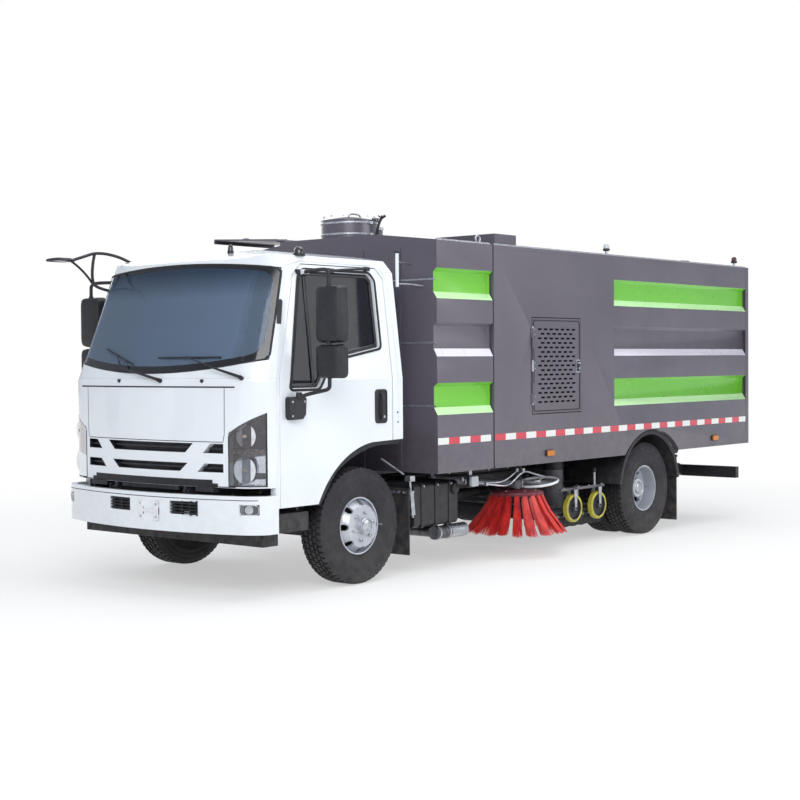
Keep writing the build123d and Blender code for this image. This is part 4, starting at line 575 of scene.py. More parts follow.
def row_tree():
    """Tree that sets a shape in a grid of rows, each second row shifted and one shorter."""
    tree = bpy.data.node_groups.get("Rows of pieces")
    if tree:
        return tree
    tree = bpy.data.node_groups.new("Rows of pieces", "GeometryNodeTree")
    socket_in(tree, "Geometry", "NodeSocketGeometry")
    socket_in(tree, "Piece", "NodeSocketObject")
    socket_in(tree, "Count", "NodeSocketInt", 8)
    socket_in(tree, "Step", "NodeSocketVector", (0.1, 0, 0))
    socket_in(tree, "Rows", "NodeSocketInt", 1)
    socket_in(tree, "Row Step", "NodeSocketVector", (0, 0, 0.1))
    socket_in(tree, "Material", "NodeSocketMaterial")
    tree.interface.new_socket("Geometry", in_out="OUTPUT", socket_type="NodeSocketGeometry")
    given = node(tree, "NodeGroupInput").outputs
    line = node(tree, "GeometryNodeMeshLine", {"Count": given["Count"], "Offset": given["Step"]}, mode="OFFSET")
    rows = node(tree, "GeometryNodeMeshLine", {"Count": given["Rows"], "Offset": given["Row Step"]}, mode="OFFSET")
    shape = node(tree, "GeometryNodeObjectInfo", {"Object": given["Piece"]})
    one = node(tree, "GeometryNodeInstanceOnPoints",
               {"Points": line.outputs[0], "Instance": shape.outputs["Geometry"]})
    row = node(tree, "GeometryNodeRealizeInstances", {0: one.outputs[0]})
    field = node(tree, "GeometryNodeInstanceOnPoints", {"Points": rows.outputs[0], "Instance": row.outputs[0]})
    real = node(tree, "GeometryNodeRealizeInstances", {0: field.outputs[0]})
    dressed_up = node(tree, "GeometryNodeSetMaterial", {"Geometry": real.outputs[0], "Material": given["Material"]})
    node(tree, "NodeGroupOutput", {0: dressed_up.outputs[0]})
    return tree


def grown(tree, place, shape, **values):
    """Mesh that a geometry tree makes from a shape, moved to its place."""
    mesh = bpy.data.meshes.new("seed")
    shape.to_mesh(mesh)
    shape.free()
    seed = bpy.data.objects.new("seed", mesh)
    host = bpy.data.objects.new("host", bpy.data.meshes.new("host"))
    for made in (seed, host):
        bpy.context.scene.collection.objects.link(made)
    grow = host.modifiers.new("grow", "NODES")
    grow.node_group = tree
    named = {item.name: item.identifier for item in tree.interface.items_tree
             if getattr(item, "in_out", "") == "INPUT"}
    for key, value in {"Piece": seed, **values}.items():
        grow[named[key.replace("_", " ")]] = value
    host.update_tag()
    bpy.context.view_layer.update()
    result = bpy.data.meshes.new_from_object(host.evaluated_get(bpy.context.evaluated_depsgraph_get()))
    result.transform(place)
    for made in (host, seed):
        data = made.data
        bpy.data.objects.remove(made)
        bpy.data.meshes.remove(data)
    return result


def facing(centre, axis, spin=0.0):
    """Placement whose Z lies along an axis at a centre."""
    turn = Vector(axis).normalized().to_track_quat("Z", "Y").to_matrix().to_4x4()
    return Matrix.Translation(Vector(centre)) @ turn @ Matrix.Rotation(spin, 4, "Z")


# ---- Sizes and colours that can be changed

def colour_value(name, description, code):
    """Colour property with its default from a hex value."""
    return FloatVectorProperty(name=name, description=description, subtype="COLOR", size=4, min=0, max=1,
                               default=linear(code))


class SweeperPaint(PropertyGroup):
    """Colours of the painted panels."""
    cab: colour_value("Cab", "Enamel of the cab, the doors and the bumper", "E6EBF0")
    body: colour_value("Body", "Metallic enamel of the module and the hopper", "67626D")
    body_shade: colour_value("Body shade", "The same enamel where it takes less light", "5D5863")
    band: colour_value("Band", "Green back of the recessed bands", "6CC22A")
    # Shelf and plain shelf are painted sky highlights: the upward shelves under the green bands and under the plain
    # band are made paler than their green and grey enamel to stand for the sky light they catch
    shelf: colour_value("Shelf", "Pale green shelf under a green band", "C9F7B4")
    plain_shelf: colour_value("Plain shelf", "White shelf under the plain band", "EAE6F2")


class SweeperWheels(PropertyGroup):
    """Sizes of the tyres' tread and the wheels' fixings."""
    tread_blocks: IntProperty(name="Tread blocks", description="Blocks round one rib", default=58, min=20, max=90)
    tread_depth: FloatProperty(name="Tread depth", description="Height of a tread block", default=0.009,
                               min=0.004, max=0.014, unit="LENGTH")
    nuts: IntProperty(name="Nuts", description="Wheel nuts on one disc", default=6, min=4, max=10)
    nut_circle: FloatProperty(name="Nut circle", description="Radius of the ring of nuts", default=0.098,
                              min=0.08, max=0.13, unit="LENGTH")


class SweeperBrushes(PropertyGroup):
    """Sizes of the side brushes' tufts."""
    tufts: IntProperty(name="Tufts", description="Tufts round one brush", default=20, min=8, max=30)
    strands: IntProperty(name="Strands", description="Bristles across one tuft", default=13, min=4, max=24)
    strand: FloatProperty(name="Strand", description="Thickness of one bundle of bristles", default=0.0042,
                          min=0.002, max=0.008, unit="LENGTH")


class SweeperBody(PropertyGroup):
    """Sizes of the strips and fixings on the body."""
    tape_block: FloatProperty(name="Tape block", description="Length of one reflective block", default=0.14,
                              min=0.05, max=0.3, unit="LENGTH")
    tape_width: FloatProperty(name="Tape width", description="Height of the reflective tape", default=0.05,
                              min=0.03, max=0.08, unit="LENGTH")
    tape_middle: FloatProperty(name="Tape middle", description="Height of the tape above the ground",
                               default=0.979, min=0.8, max=1.1, unit="LENGTH")


class SweeperStage(PropertyGroup):
    """Light and camera."""
    lens: FloatProperty(name="Lens", description="Focal length on a 36 mm sensor", default=67.07, min=20,
                        max=200)
    key: FloatProperty(name="Key light", description="Power of the large front light in watts", default=620,
                       min=0, max=9000)


# ---- Finishes

def white_enamel():
    """Baked enamel on pressed steel: clean, glossy, with a faint orange peel."""
    paint = bpy.context.scene.sweeper_paint
    return material("baked white enamel", coat(list(paint.cab), [c * 0.95 for c in paint.cab[:3]] + [1], 700,
                    (0.16, 0.26), 0.05, 4, dust="B8B3AA", dust_top=0.9, dust_share=0.22, Coat_Weight=0.6,
                    Coat_Roughness=0.08))


def grey_enamel():
    """Metallic body enamel: soft violet grey, fine flakes, satin gloss."""
    paint = bpy.context.scene.sweeper_paint
    return material("metallic grey enamel", coat(list(paint.body), list(paint.body_shade), 900, (0.3, 0.42),
                    0.06, 3, dust="8F877C", dust_top=1.3, dust_share=0.35, Metallic=0.25,
                    Coat_Weight=0.35, Coat_Roughness=0.2))


def green_enamel():
    """Glossy green band enamel."""
    paint = bpy.context.scene.sweeper_paint
    return material("green band enamel", coat(list(paint.band), [c * 0.94 for c in paint.band[:3]] + [1], 900,
                    (0.25, 0.35), 0.05, 3, Coat_Weight=0.4, Coat_Roughness=0.15))


def pale_green_enamel():
    """Pale green painted sky highlight on the shelves under the green bands, whose real paint is the band's green
    enamel.
    """
    paint = bpy.context.scene.sweeper_paint
    return material("pale green enamel", coat(list(paint.shelf), [c * 0.93 for c in paint.shelf[:3]] + [1],
                    400, (0.25, 0.4), 0.05, 3, Coat_Weight=0.4))


def pale_enamel():
    """White painted sky highlight on the shelf under the plain band, whose real paint is the grey body enamel."""
    paint = bpy.context.scene.sweeper_paint
    return material("pale band enamel", coat(list(paint.plain_shelf),
                    [c * 0.93 for c in paint.plain_shelf[:3]] + [1], 400, (0.25, 0.4), 0.05, 3, Coat_Weight=0.4))


# Each finish: name of the real material, then its recipe. Comments say what the eye gets.
FINISHES = {
    # moulded ABS with a fine leather grain, nearly black, soft sheen
    "black plastic": ("grained black ABS", coat("23232A", "1B1B21", 200, (0.42, 0.6), 0.25, 1.6)),
    # polypropylene of the arches and cab underside: greyer and duller, dusty low down
    "arch plastic": ("moulded polypropylene", coat("26252B", "1D1C22", 150, (0.5, 0.72), 0.4, 5,
                                                   dust="6E675E", dust_top=1.0, dust_share=0.45)),
    # cured rubber of seals: deep matte black
    "seal rubber": ("extruded rubber", coat("17171C", "202026", 120, (0.5, 0.7), 0.1, 2)),
    # black ceramic print on the screen's edge: glossy under the glass
    "frit": ("black ceramic print", coat("14151B", "1A1C24", 300, (0.08, 0.14))),
    # chassis paint over hot rolled steel: satin black with road dust
    "chassis": ("black chassis paint", coat("1B1A22", "141319", 250, (0.4, 0.62), 0.3, 6, dust="4A443F",
                                            dust_top=0.7, dust_share=0.3, Coat_Weight=0.15)),
    # sand cast iron: dark grey, rough and blotched with oil
    "cast iron": ("sand cast iron", coat("4A4A4D", "2F2E30", 90, (0.5, 0.75), 0.8, 3, Metallic=0.5)),
    # tyre rubber: blue black sides, greyer where dust sits
    "tyre": ("vulcanised tyre rubber", coat("26252B", "1C1B21", 120, (0.55, 0.75), 0.3, 3, dust="5E5951",
                                            dust_top=0.6, dust_share=0.4)),
    # silver wheel enamel: even, satin, with fine flakes
    "wheel": ("silver wheel enamel", coat("C9CCD3", "B6BAC3", 300, (0.32, 0.42), 0.03, 12, Metallic=0.45,
                                          Coat_Weight=0.3)),
    # metallised bezel of the lamps: pale silver grey
    "lamp bezel": ("metallised ABS", coat("C2C0C4", "A5A3A8", 80, (0.18, 0.3), Metallic=0.55)),
    # zinc plating on fixings and rods
    "zinc": ("zinc plated steel", coat("C9CCD2", "A4A7AD", 25, (0.28, 0.45), 0.1, 2, Metallic=0.9)),
    # bright chrome on lamps, latches and piston rods
    "chrome": ("bright chrome plate", coat("E6E8EE", "D2D5DC", 60, (0.05, 0.12), Metallic=1.0)),
    # stainless tube with a drawn grain along it
    "stainless": ("drawn stainless steel", coat("C4C7CC", "9EA1A8", 30, (0.2, 0.36), 0.1, 1.5,
                                                (6, 1, 1), Metallic=0.95)),
    # aluminised exhaust tube, dulled by heat
    "exhaust": ("aluminised exhaust steel", coat("77757B", "4E4C52", 60, (0.28, 0.45), 0.3, 4, Metallic=0.8,
                                                 dust="6A6259", dust_top=0.5, dust_share=0.25)),
    # grey painted nozzle steel, scuffed
    "machine grey": ("grey machine enamel", coat("77777E", "5C5B62", 120, (0.35, 0.6), 0.2, 4,
                                                 dust="6B6258", dust_top=0.7, dust_share=0.5, Metallic=0.2)),
    # cast polyurethane tread of the castors: waxy mustard yellow
    "castor": ("cast polyurethane", coat("C9C24A", "A9A13B", 60, (0.35, 0.5), 0.15, 3, Subsurface_Weight=0.1)),
    # polypropylene bristles: bright red at the tips, darker at the root
    "bristle": ("red polypropylene bristle", coat("D93A33", "B5242A", 45, (0.35, 0.5), 0.4, 2, (1, 1, 8),
                                                  Subsurface_Weight=0.08)),
    # wine red primer on the brush plate
    "brush plate": ("wine red primer", coat("7C2F3A", "5F232D", 80, (0.45, 0.6), 0.2, 4)),
    # woven seat cloth: dark grey, rough, with a visible weave
    "seat cloth": ("woven seat cloth", coat("3B3B44", "2C2C35", 30, (0.8, 0.95), 0.9, 1.2, Sheen_Weight=0.4)),
    # vinyl of the dashboard and floor
    "vinyl": ("grained vinyl", coat("3A3A42", "2D2D34", 150, (0.5, 0.7), 0.4, 2)),
    # needled felt of the headlining
    "felt": ("needled felt", coat("8E8D92", "77767C", 40, (0.9, 1.0), 0.6, 1.5)),
    # mirror glass: silvered, slightly dark
    "mirror": ("silvered mirror glass", coat("AEB4BC", "A4AAB3", 200, (0.02, 0.05), Metallic=1.0)),
    # blank enamel plate
    "plate": ("blank white enamel plate", coat("E8E8EC", "DCDCE0", 100, (0.3, 0.45), 0.05, 2)),
}


def finish(name):
    """Material of a named finish."""
    return material(*FINISHES[name])


def screen_glass():
    """Laminated windscreen: cool grey blue with a darker shade band along its top."""
    return material("laminated screen glass", clear("8FA3BA", 0.03, 0.22, look="D8E0EA", top_tint="4E6078",
                                                    top_low=2.02, top_high=2.2))


def side_glass():
    """Tempered side glass, looking dark against the cab's shade."""
    return material("tempered side glass", clear("2C2D39", 0.03, 0.28, look="9A9DAA"))


def lens(name, tint, body):
    """Moulded polycarbonate lamp lens."""
    return material(f"{name} polycarbonate", clear(tint, 0.06, body, 1.58, tint))


def tape(name, light, dark):
    """Prismatic sheeting: small hexagonal cells, bright in any light."""
    def recipe(tree, place):
        cells = node(tree, "ShaderNodeTexVoronoi", {"Vector": place, "Scale": 220.0, "Randomness": 0.1},
                     feature="DISTANCE_TO_EDGE").outputs[0]
        wall = ranged(tree, cells, 0.03, 0.1)
        shade = node(tree, "ShaderNodeBsdfPrincipled",
                     {"Base Color": mixed(tree, wall, dark, light), "Roughness": 0.3, "Coat Weight": 0.6})
        bump = node(tree, "ShaderNodeBump", {"Height": wall, "Strength": 0.3, "Distance": 0.0003})
        tree.links.new(bump.outputs[0], shade.inputs["Normal"])
        return shade.outputs[0]
    return material(f"{name} prismatic sheeting", recipe)


# ---- Stage

def turned_camera(data):
    """Camera object where the photograph was taken from, looking the way it looked."""
    yaw, pitch, roll = (math.radians(a) for a in (39.7715, -1.5693, -0.4394))
    ahead = Vector((math.cos(yaw) * math.cos(pitch), math.sin(yaw) * math.cos(pitch), math.sin(pitch)))
    right = ahead.cross(Vector((0, 0, 1))).normalized()
    up = right.cross(ahead)
    level = right * math.cos(roll) + up * math.sin(roll)
    upright = up * math.cos(roll) - right * math.sin(roll)
    made = bpy.data.objects.new("camera", data)
    basis = Matrix((level, upright, -ahead)).transposed().to_4x4()
    made.matrix_world = Matrix.Translation(Vector((-7.8426, -7.9763, 1.5773)) + FRONT_AXLE) @ basis
    return made


class SWEEPER_OT_stage(Operator):
    """Floor, world, soft lights and the camera"""
    bl_idname = "sweeper.stage"
    bl_label = "Stage"

    def execute(self, context):
        scene = context.scene
        stage = scene.sweeper_stage
        data = bpy.data.cameras.new("camera")
        data.sensor_width = 36
        data.lens = stage.lens
        data.shift_x = -9.892 / 800
        data.shift_y = 1.62 / 800
        data.clip_end = 200
        camera = turned_camera(data)
        scene.collection.objects.link(camera)
        scene.camera = camera
        scene.view_settings.view_transform = "Standard"

        bm = bmesh.new()
        prism(bm, [(-60, -60, -0.02), (60, -60, -0.02), (60, 60, -0.02), (-60, 60, -0.02)], (0, 0, 0.0195))
        mesh = bpy.data.meshes.new("floor")
        bmesh.ops.recalc_face_normals(bm, faces=bm.faces)
        bm.to_mesh(mesh)
        bm.free()
        floor = bpy.data.objects.new("floor", mesh)
        scene.collection.objects.link(floor)

        def pale_floor(tree, place):
            ray = node(tree, "ShaderNodeLightPath").outputs
            seen = node(tree, "ShaderNodeMath", {0: ray["Is Camera Ray"], 1: ray["Is Glossy Ray"]},
                        operation="MAXIMUM").outputs[0]
            seen = node(tree, "ShaderNodeMath", {0: seen, 1: ray["Is Transmission Ray"]},
                        operation="MAXIMUM").outputs[0]
            far = node(tree, "ShaderNodeVectorMath", {0: place}, operation="LENGTH").outputs["Value"]
            white = ranged(tree, far, 4.0, 8.0, 0.5, 1.0)
            share = node(tree, "ShaderNodeMath", {0: seen, 1: white}, operation="MULTIPLY").outputs[0]
            lit = node(tree, "ShaderNodeBsdfDiffuse", {"Color": linear("F1F1F0")})
            glow = node(tree, "ShaderNodeEmission", {"Color": (1, 1, 1, 1), "Strength": 1.0})
            return node(tree, "ShaderNodeMixShader", {0: share, 1: lit.outputs[0], 2: glow.outputs[0]}).outputs[0]
        mesh.materials.append(material("pale studio floor", pale_floor))
        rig.stage(floor)

        world = bpy.data.worlds.new("studio")
        world.use_nodes = True
        tree = world.node_tree
        tree.nodes.clear()
        ray = node(tree, "ShaderNodeLightPath").outputs
        seen = node(tree, "ShaderNodeMath", {0: ray["Is Camera Ray"], 1: ray["Is Transmission Ray"]},
                    operation="MAXIMUM").outputs[0]
        fill = node(tree, "ShaderNodeBackground", {"Color": linear("E3E9F2"), "Strength": 0.62})
        white = node(tree, "ShaderNodeBackground", {"Color": (1, 1, 1, 1), "Strength": 1.0})
        both = node(tree, "ShaderNodeMixShader", {0: seen, 1: fill.outputs[0], 2: white.outputs[0]})
        node(tree, "ShaderNodeOutputWorld", {"Surface": both.outputs[0]})
        scene.world = world

        # Softboxes: place, aim, width, height, watts
        boxes = (
            ("key", (-9.5, -7.5, 6.5), (-0.6, 0, 1.0), 6, 5, stage.key),
            ("roof", (0.5, -1.5, 9.0), (0.2, 0, 1.0), 9, 6, stage.key * 0.75),
            ("side", (4.5, -10.5, 4.0), (1.8, 0, 1.2), 7, 4, stage.key * 0.42),
            ("far", (3.0, 10.0, 6.0), (0, 0, 1.0), 7, 5, stage.key * 0.4),
        )
        for name, place, aim, width, height, watts in boxes:
            lamp = bpy.data.lights.new(name, "AREA")
            lamp.shape = "RECTANGLE"
            lamp.size, lamp.size_y, lamp.energy = width, height, watts
            made = bpy.data.objects.new(name, lamp)
            made.location = place
            made.rotation_euler = (Vector(place) - Vector(aim)).to_track_quat("Z", "Y").to_euler()
            scene.collection.objects.link(made)
        return {"FINISHED"}


# ---- Body, hopper and chassis panels

BANDS = ((2.262, 2.235, 2.087, 2.038), (1.860, 1.835, 1.667, 1.608), (1.410, 1.385, 1.230, 1.175))
BODY_HALF = 1.1065


def band_paint(centre, normal):
    """Material place of a face of the banded sides: body enamel, green enamel, and on the upward shelves a painted sky
    highlight in pale green and in white.
    """
    if abs(centre.y) < 1.06 or abs(normal.x) > 0.5:
        return 0
    for index, (top, _, lower, foot) in enumerate(BANDS):
        if lower < centre.z < top and index != 1 and abs(centre.y) < BODY_HALF - 0.008:
            return 1
        # upward shelves under the bands take a painted sky highlight, pale green under the green bands and white under
        # the plain one
        if foot < centre.z < lower and normal.z > 0.2:
            return 3 if index == 1 else 2
    return 0


class SWEEPER_OT_body_panels(Operator):
    """Painted module, hopper, doors and lids with softened edges"""
    bl_idname = "sweeper.body_panels"
    bl_label = "Body panels"

    def execute(self, context):
        # the third and fourth paints are the painted sky highlight on the upward shelves of the banded sides
        paints = [grey_enamel(), green_enamel(), pale_green_enamel(), pale_enamel()]
        for name in ("front_module", "hopper_sides"):
            dressed(name, paints, band_paint, 0.002)
        for name in ("hopper_shell", "tailgate", "roof_hatch", "roof_lid"):
            dressed(name, [grey_enamel()], None, 0.002)
        # faces round the vent door's edge and inside its slots take the black chassis paint: painted shade in the gaps
        # and openings
        dressed("vent_door", [grey_enamel(), finish("chassis")],
                lambda c, n: 1 if abs(c.y) < BODY_HALF - 0.001 and abs(n.y) < 0.5 and 1.2 < c.z < 1.86 else 0)
        dressed("air_outlet", [grey_enamel()], None, 0.0015)
        return {"FINISHED"}


class SWEEPER_OT_chassis(Operator):
    """Finishes of the frame, axles, engines and other parts under the body"""
    bl_idname = "sweeper.chassis"
    bl_label = "Chassis"

    def execute(self, context):
        for name, key, edge in (("frame_rails", "chassis", 0.002), ("frame_cross_members", "chassis", 0.002),
                                ("front_axle", "cast iron", 0.004), ("rear_axle", "cast iron", 0.004),
                                ("leaf_springs", "chassis", 0.002), ("engines", "cast iron", 0.012),
                                ("side_tanks", "chassis", 0.004), ("rear_guard", "chassis", 0.004),
                                ("knuckle_left", "cast iron", 0.003), ("knuckle_right", "cast iron", 0.003),
                                ("sweeper_brackets", "chassis", 0.002), ("lift_barrels", "chassis", 0.003),
                                ("suction_nozzle", "machine grey", 0.002), ("lift_rods", "chrome", 0.002),
                                ("brush_arm_left", "machine grey", 0.003),
                                ("brush_arm_right", "machine grey", 0.003),
                                ("exhaust", "exhaust", 0.002)):
            dressed(name, [finish(key)], None, edge)
        dressed("steps_and_flaps", [finish("arch plastic")], None, 0.006)
        return {"FINISHED"}


# ---- Cab shell

class SWEEPER_OT_cab_shell(Operator):
    """Enamelled cab panels, doors and bumper, plastic grille and the glass"""
    bl_idname = "sweeper.cab_shell"
    bl_label = "Cab shell"

    def execute(self, context):
        paint = [white_enamel(), finish("felt"), finish("black plastic")]

        def cab_paint(centre, normal):
            """Outside white, inside felt or black, by the side that a face looks to."""
            outward = Vector((centre.x + 0.35, centre.y, (centre.z - 1.5) * 0.9))
            inside = abs(centre.y) < 0.955 - max(centre.z - 1.45, 0) * 0.123 and centre.x < 0.415 \
                and outward.dot(normal) < 0 and centre.z < 2.36
            return (1 if centre.z > 2.0 else 2) if inside else 0

        for name in ("cab_front", "cab_roof", "cab_rear", "cab_pillars"):
            dressed(name, paint, cab_paint, 0.003)
        for name in ("door_left", "door_right"):
            dressed(name, paint, lambda c, n: 2 if abs(c.y) < 0.96 and c.y * n.y < -0.3 else 0, 0.004)
        dressed("front_bumper", [white_enamel(), finish("chassis")],
                lambda c, n: 1 if abs(c.y) < 0.5 and c.x > -1.1 and c.z < 0.63 else 0, 0.012, 3)
        dressed("grille", [finish("black plastic")], None, 0.002)
        painted(("cab_floor",), *FINISHES["vinyl"])
        dressed("cab_glass", [screen_glass(), side_glass()], lambda c, n: 1 if c.x > 0 else 0)
        for name in ("door_glass_left", "door_glass_right"):
            dressed(name, [side_glass()])
        return {"FINISHED"}


# ---- Screen and window trim

def arc_points(half, side_z, middle_z, steps=24):
    """(y, z) points of a shallow arc across the vehicle."""
    return [(half * (2 * i / steps - 1), side_z + (middle_z - side_z) * (1 - (2 * i / steps - 1) ** 2))
            for i in range(steps + 1)]


def loop_even(points, count):
    """Closed outline of points spaced evenly along it."""
    points = [Vector(p) for p in points]
    lengths = [0.0]
    for a, b in zip(points, points[1:] + points[:1]):
        lengths.append(lengths[-1] + (b - a).length)
    made = []
    for i in range(count):
        want = lengths[-1] * i / count
        k = max(j for j in range(len(points)) if lengths[j] <= want)
        a, b = points[k], points[(k + 1) % len(points)]
        made.append(a.lerp(b, (want - lengths[k]) / max((b - a).length, 1e-9)))
    return made


def moved_out(points, distance):
    """Closed flat outline moved outward by a distance, inward if it is negative."""
    points = [Vector(p) for p in points]
    area = sum(a.x * b.y - b.x * a.y for a, b in zip(points, points[1:] + points[:1]))
    turn = 1 if area > 0 else -1
    made = []
    for i, spot in enumerate(points):
        before = (spot - points[i - 1]).normalized()
        after = (points[(i + 1) % len(points)] - spot).normalized()
        one, two = (Vector((d.y, -d.x)) * turn for d in (before, after))
        both = (one + two).normalized()
        made.append(spot + both * distance / max(0.4, both.dot(one)))
    return made


def band_between(bm, tree, outer, inner, place, direction, lift, layers):
    """Strip on a curved surface between two outlines of the same number of points."""
    rows = []
    for k in range(layers + 1):
        rows.append([bm.verts.new(landed(tree, place(o.lerp(i, k / layers)), direction, lift)[0])
                     for o, i in zip(outer, inner)])
    bridged(bm, rows)


class SWEEPER_OT_screen_trim(Operator):
    """Black printed border and seal of the windscreen, wipers and washer nozzles"""
    bl_idname = "sweeper.screen_trim"
    bl_label = "Screen trim"

    def execute(self, context):
        glass = skin_of("cab_glass")
        skin = skin_of("cab_front", "cab_pillars", "cab_roof", "cab_glass")
        outer = [*arc_points(0.949, 1.597, 1.508), *reversed(arc_points(0.880, 2.206, 2.253))]
        inner = rounded([*arc_points(0.922, 1.634, 1.550, 8), *reversed(arc_points(0.860, 2.186, 2.236, 8))],
                        0.10, 4)

        def out_to(point, width):
            """The point moved from the screen's middle by a width."""
            away = Vector((point[0] / 0.9, (point[1] - 1.88) / 0.33))
            return Vector((point[0] + width * math.copysign(min(1, abs(away.x) ** 6), away.x),
                           point[1] + width * math.copysign(min(1, abs(away.y) ** 6), away.y)))

        bm = bmesh.new()
        outer = loop_even(rounded(outer, 0.06, 2), 160)
        inner = loop_even(inner, 160)
        # start both outlines at the same corner
        def from_corner(line):
            first = min(range(len(line)), key=lambda i: (line[i] - Vector((-1.2, 1.2))).length)
            return line[first:] + line[:first]
        outer, inner = from_corner(outer), from_corner(inner)
        band_between(bm, glass, outer, inner, lambda p: Vector((-1.6, p.x, p.y)), (1, 0, 0), 0.0012, 4)
        piece("screen_border", bm, "cab", "cab_plastic", [finish("frit")], outward=False)

        # Rubber seal in the joint between the glass and the panels
        bm = bmesh.new()
        edge = loop_even(rounded([*arc_points(0.956, 1.593, 1.503), *reversed(arc_points(0.886, 2.211, 2.258))],
                                 0.03, 2), 130)
        line = [landed(skin, (-1.6, p.x, p.y), (1, 0, 0), 0.0)[0] for p in edge]
        pipe(bm, line, 0.0085, 8, closed=True, straight=True)
        piece("screen_seal", bm, "cab", "cab_plastic", [finish("seal rubber")])

        # Two wipers: root, arm with a sprung elbow, blade with its rubber
        bm = bmesh.new()
        for root, elbow, tip_far, tip_near in (
                ((-0.145, 1.452), (0.268, 1.530), (0.560, 1.668), (0.180, 1.555)),
                ((-0.846, 1.470), (-0.610, 1.530), (-0.070, 1.600), (-0.640, 1.600))):
            spots = [landed(skin, (-1.6, y, z), (1, 0, 0), lift)[0]
                     for (y, z), lift in ((root, 0.03), (elbow, 0.05), (tip_far, 0.02), (tip_near, 0.02))]
            rod(bm, landed(skin, (-1.6, *root), (1, 0, 0), 0.0)[0], spots[0], 0.016, 14, 0, 0.013)
            rod(bm, spots[0], spots[1], 0.011, 10, 0, 0.007)
            middle = spots[2].lerp(spots[3], 0.5)
            middle_spot = landed(skin, middle + Vector((-0.4, 0, 0)), (1, 0, 0), 0.03)[0]
            rod(bm, spots[1], middle_spot, 0.006, 8, 0, 0.005)
            steps = 14
            blade = []
            for i in range(steps + 1):
                t = i / steps
                spot = spots[3].lerp(spots[2], t)
                blade.append(landed(skin, spot + Vector((-0.4, 0, 0)), (1, 0, 0), 0.012)[0])
            pipe(bm, blade, 0.0055, 6, 1, straight=True)
            lifted = [p + Vector((-0.009, 0, 0.002)) for p in blade[2:-2]]
            pipe(bm, lifted, 0.004, 6, 0, straight=True)
        for y in (0.302, -0.528):
            spot, normal = landed(skin, (-1.6, y, 1.452), (1, 0, 0), 0.0)
            rod(bm, spot - normal * 0.002, spot + normal * 0.014, 0.014, 12, 0, 0.009)
        piece("wipers", bm, "cab", "cab_plastic", [finish("black plastic"), finish("seal rubber")], bevel=0.0012)
        return {"FINISHED"}


DOOR_GLASS = [(-0.700, 1.400), (-0.430, 1.400), (-0.300, 1.590), (0.236, 1.678), (0.236, 2.150),
              (0.190, 2.196), (-0.480, 2.196), (-0.530, 2.150)]


class SWEEPER_OT_window_trim(Operator):
    """Rubber runs, waist mouldings and slim frames of the side and rear windows"""
    bl_idname = "sweeper.window_trim"
    bl_label = "Window trim"

    def execute(self, context):
        for side, sign in SIDES:
            door = skin_of(f"door_{side}", f"door_glass_{side}")
            bm = bmesh.new()
            inward = (0, -sign, 0)
            window = rounded(DOOR_GLASS, 0.02, 3)
            ribbon(bm, door, [Vector((p.x, sign * 1.5, p.y)) for p in moved_out(window, 0.013)], inward, 0.018,
                   0.0016, True)
            piece(f"window_frame_{side}", bm, f"door_{side}_body", "cab_plastic", [finish("seal rubber")],
                  outward=False, thick=-0.004)
            # Printed edge of the pane and the slim upright bar ahead of its sliding half
            glass = skin_of(f"door_glass_{side}")
            bm = bmesh.new()
            ribbon(bm, glass, [(-0.470, sign * 1.5, 1.418), (-0.455, sign * 1.5, 2.186)], inward,
                   0.024, 0.003)
            ribbon(bm, glass, [Vector((p.x, sign * 1.5, p.y)) for p in moved_out(window, -0.016)], inward, 0.024,
                   0.003, True)
            piece(f"window_runs_{side}", bm, f"door_{side}_body", "cab_plastic", [finish("frit")],
                  outward=False, thick=-0.003)
        rear = skin_of("cab_rear", "cab_glass")
        bm = bmesh.new()
        outline = rounded([(-0.574, 1.606), (0.574, 1.606), (0.574, 2.094), (-0.574, 2.094)], 0.02, 3)
        ribbon(bm, rear, [Vector((0.9, p.x, p.y)) for p in outline], (-1, 0, 0), 0.022, 0.0015, True)
        piece("rear_window_frame", bm, "cab", "cab_plastic", [finish("seal rubber")], outward=False, thick=-0.005)
        return {"FINISHED"}


# ---- Lamps

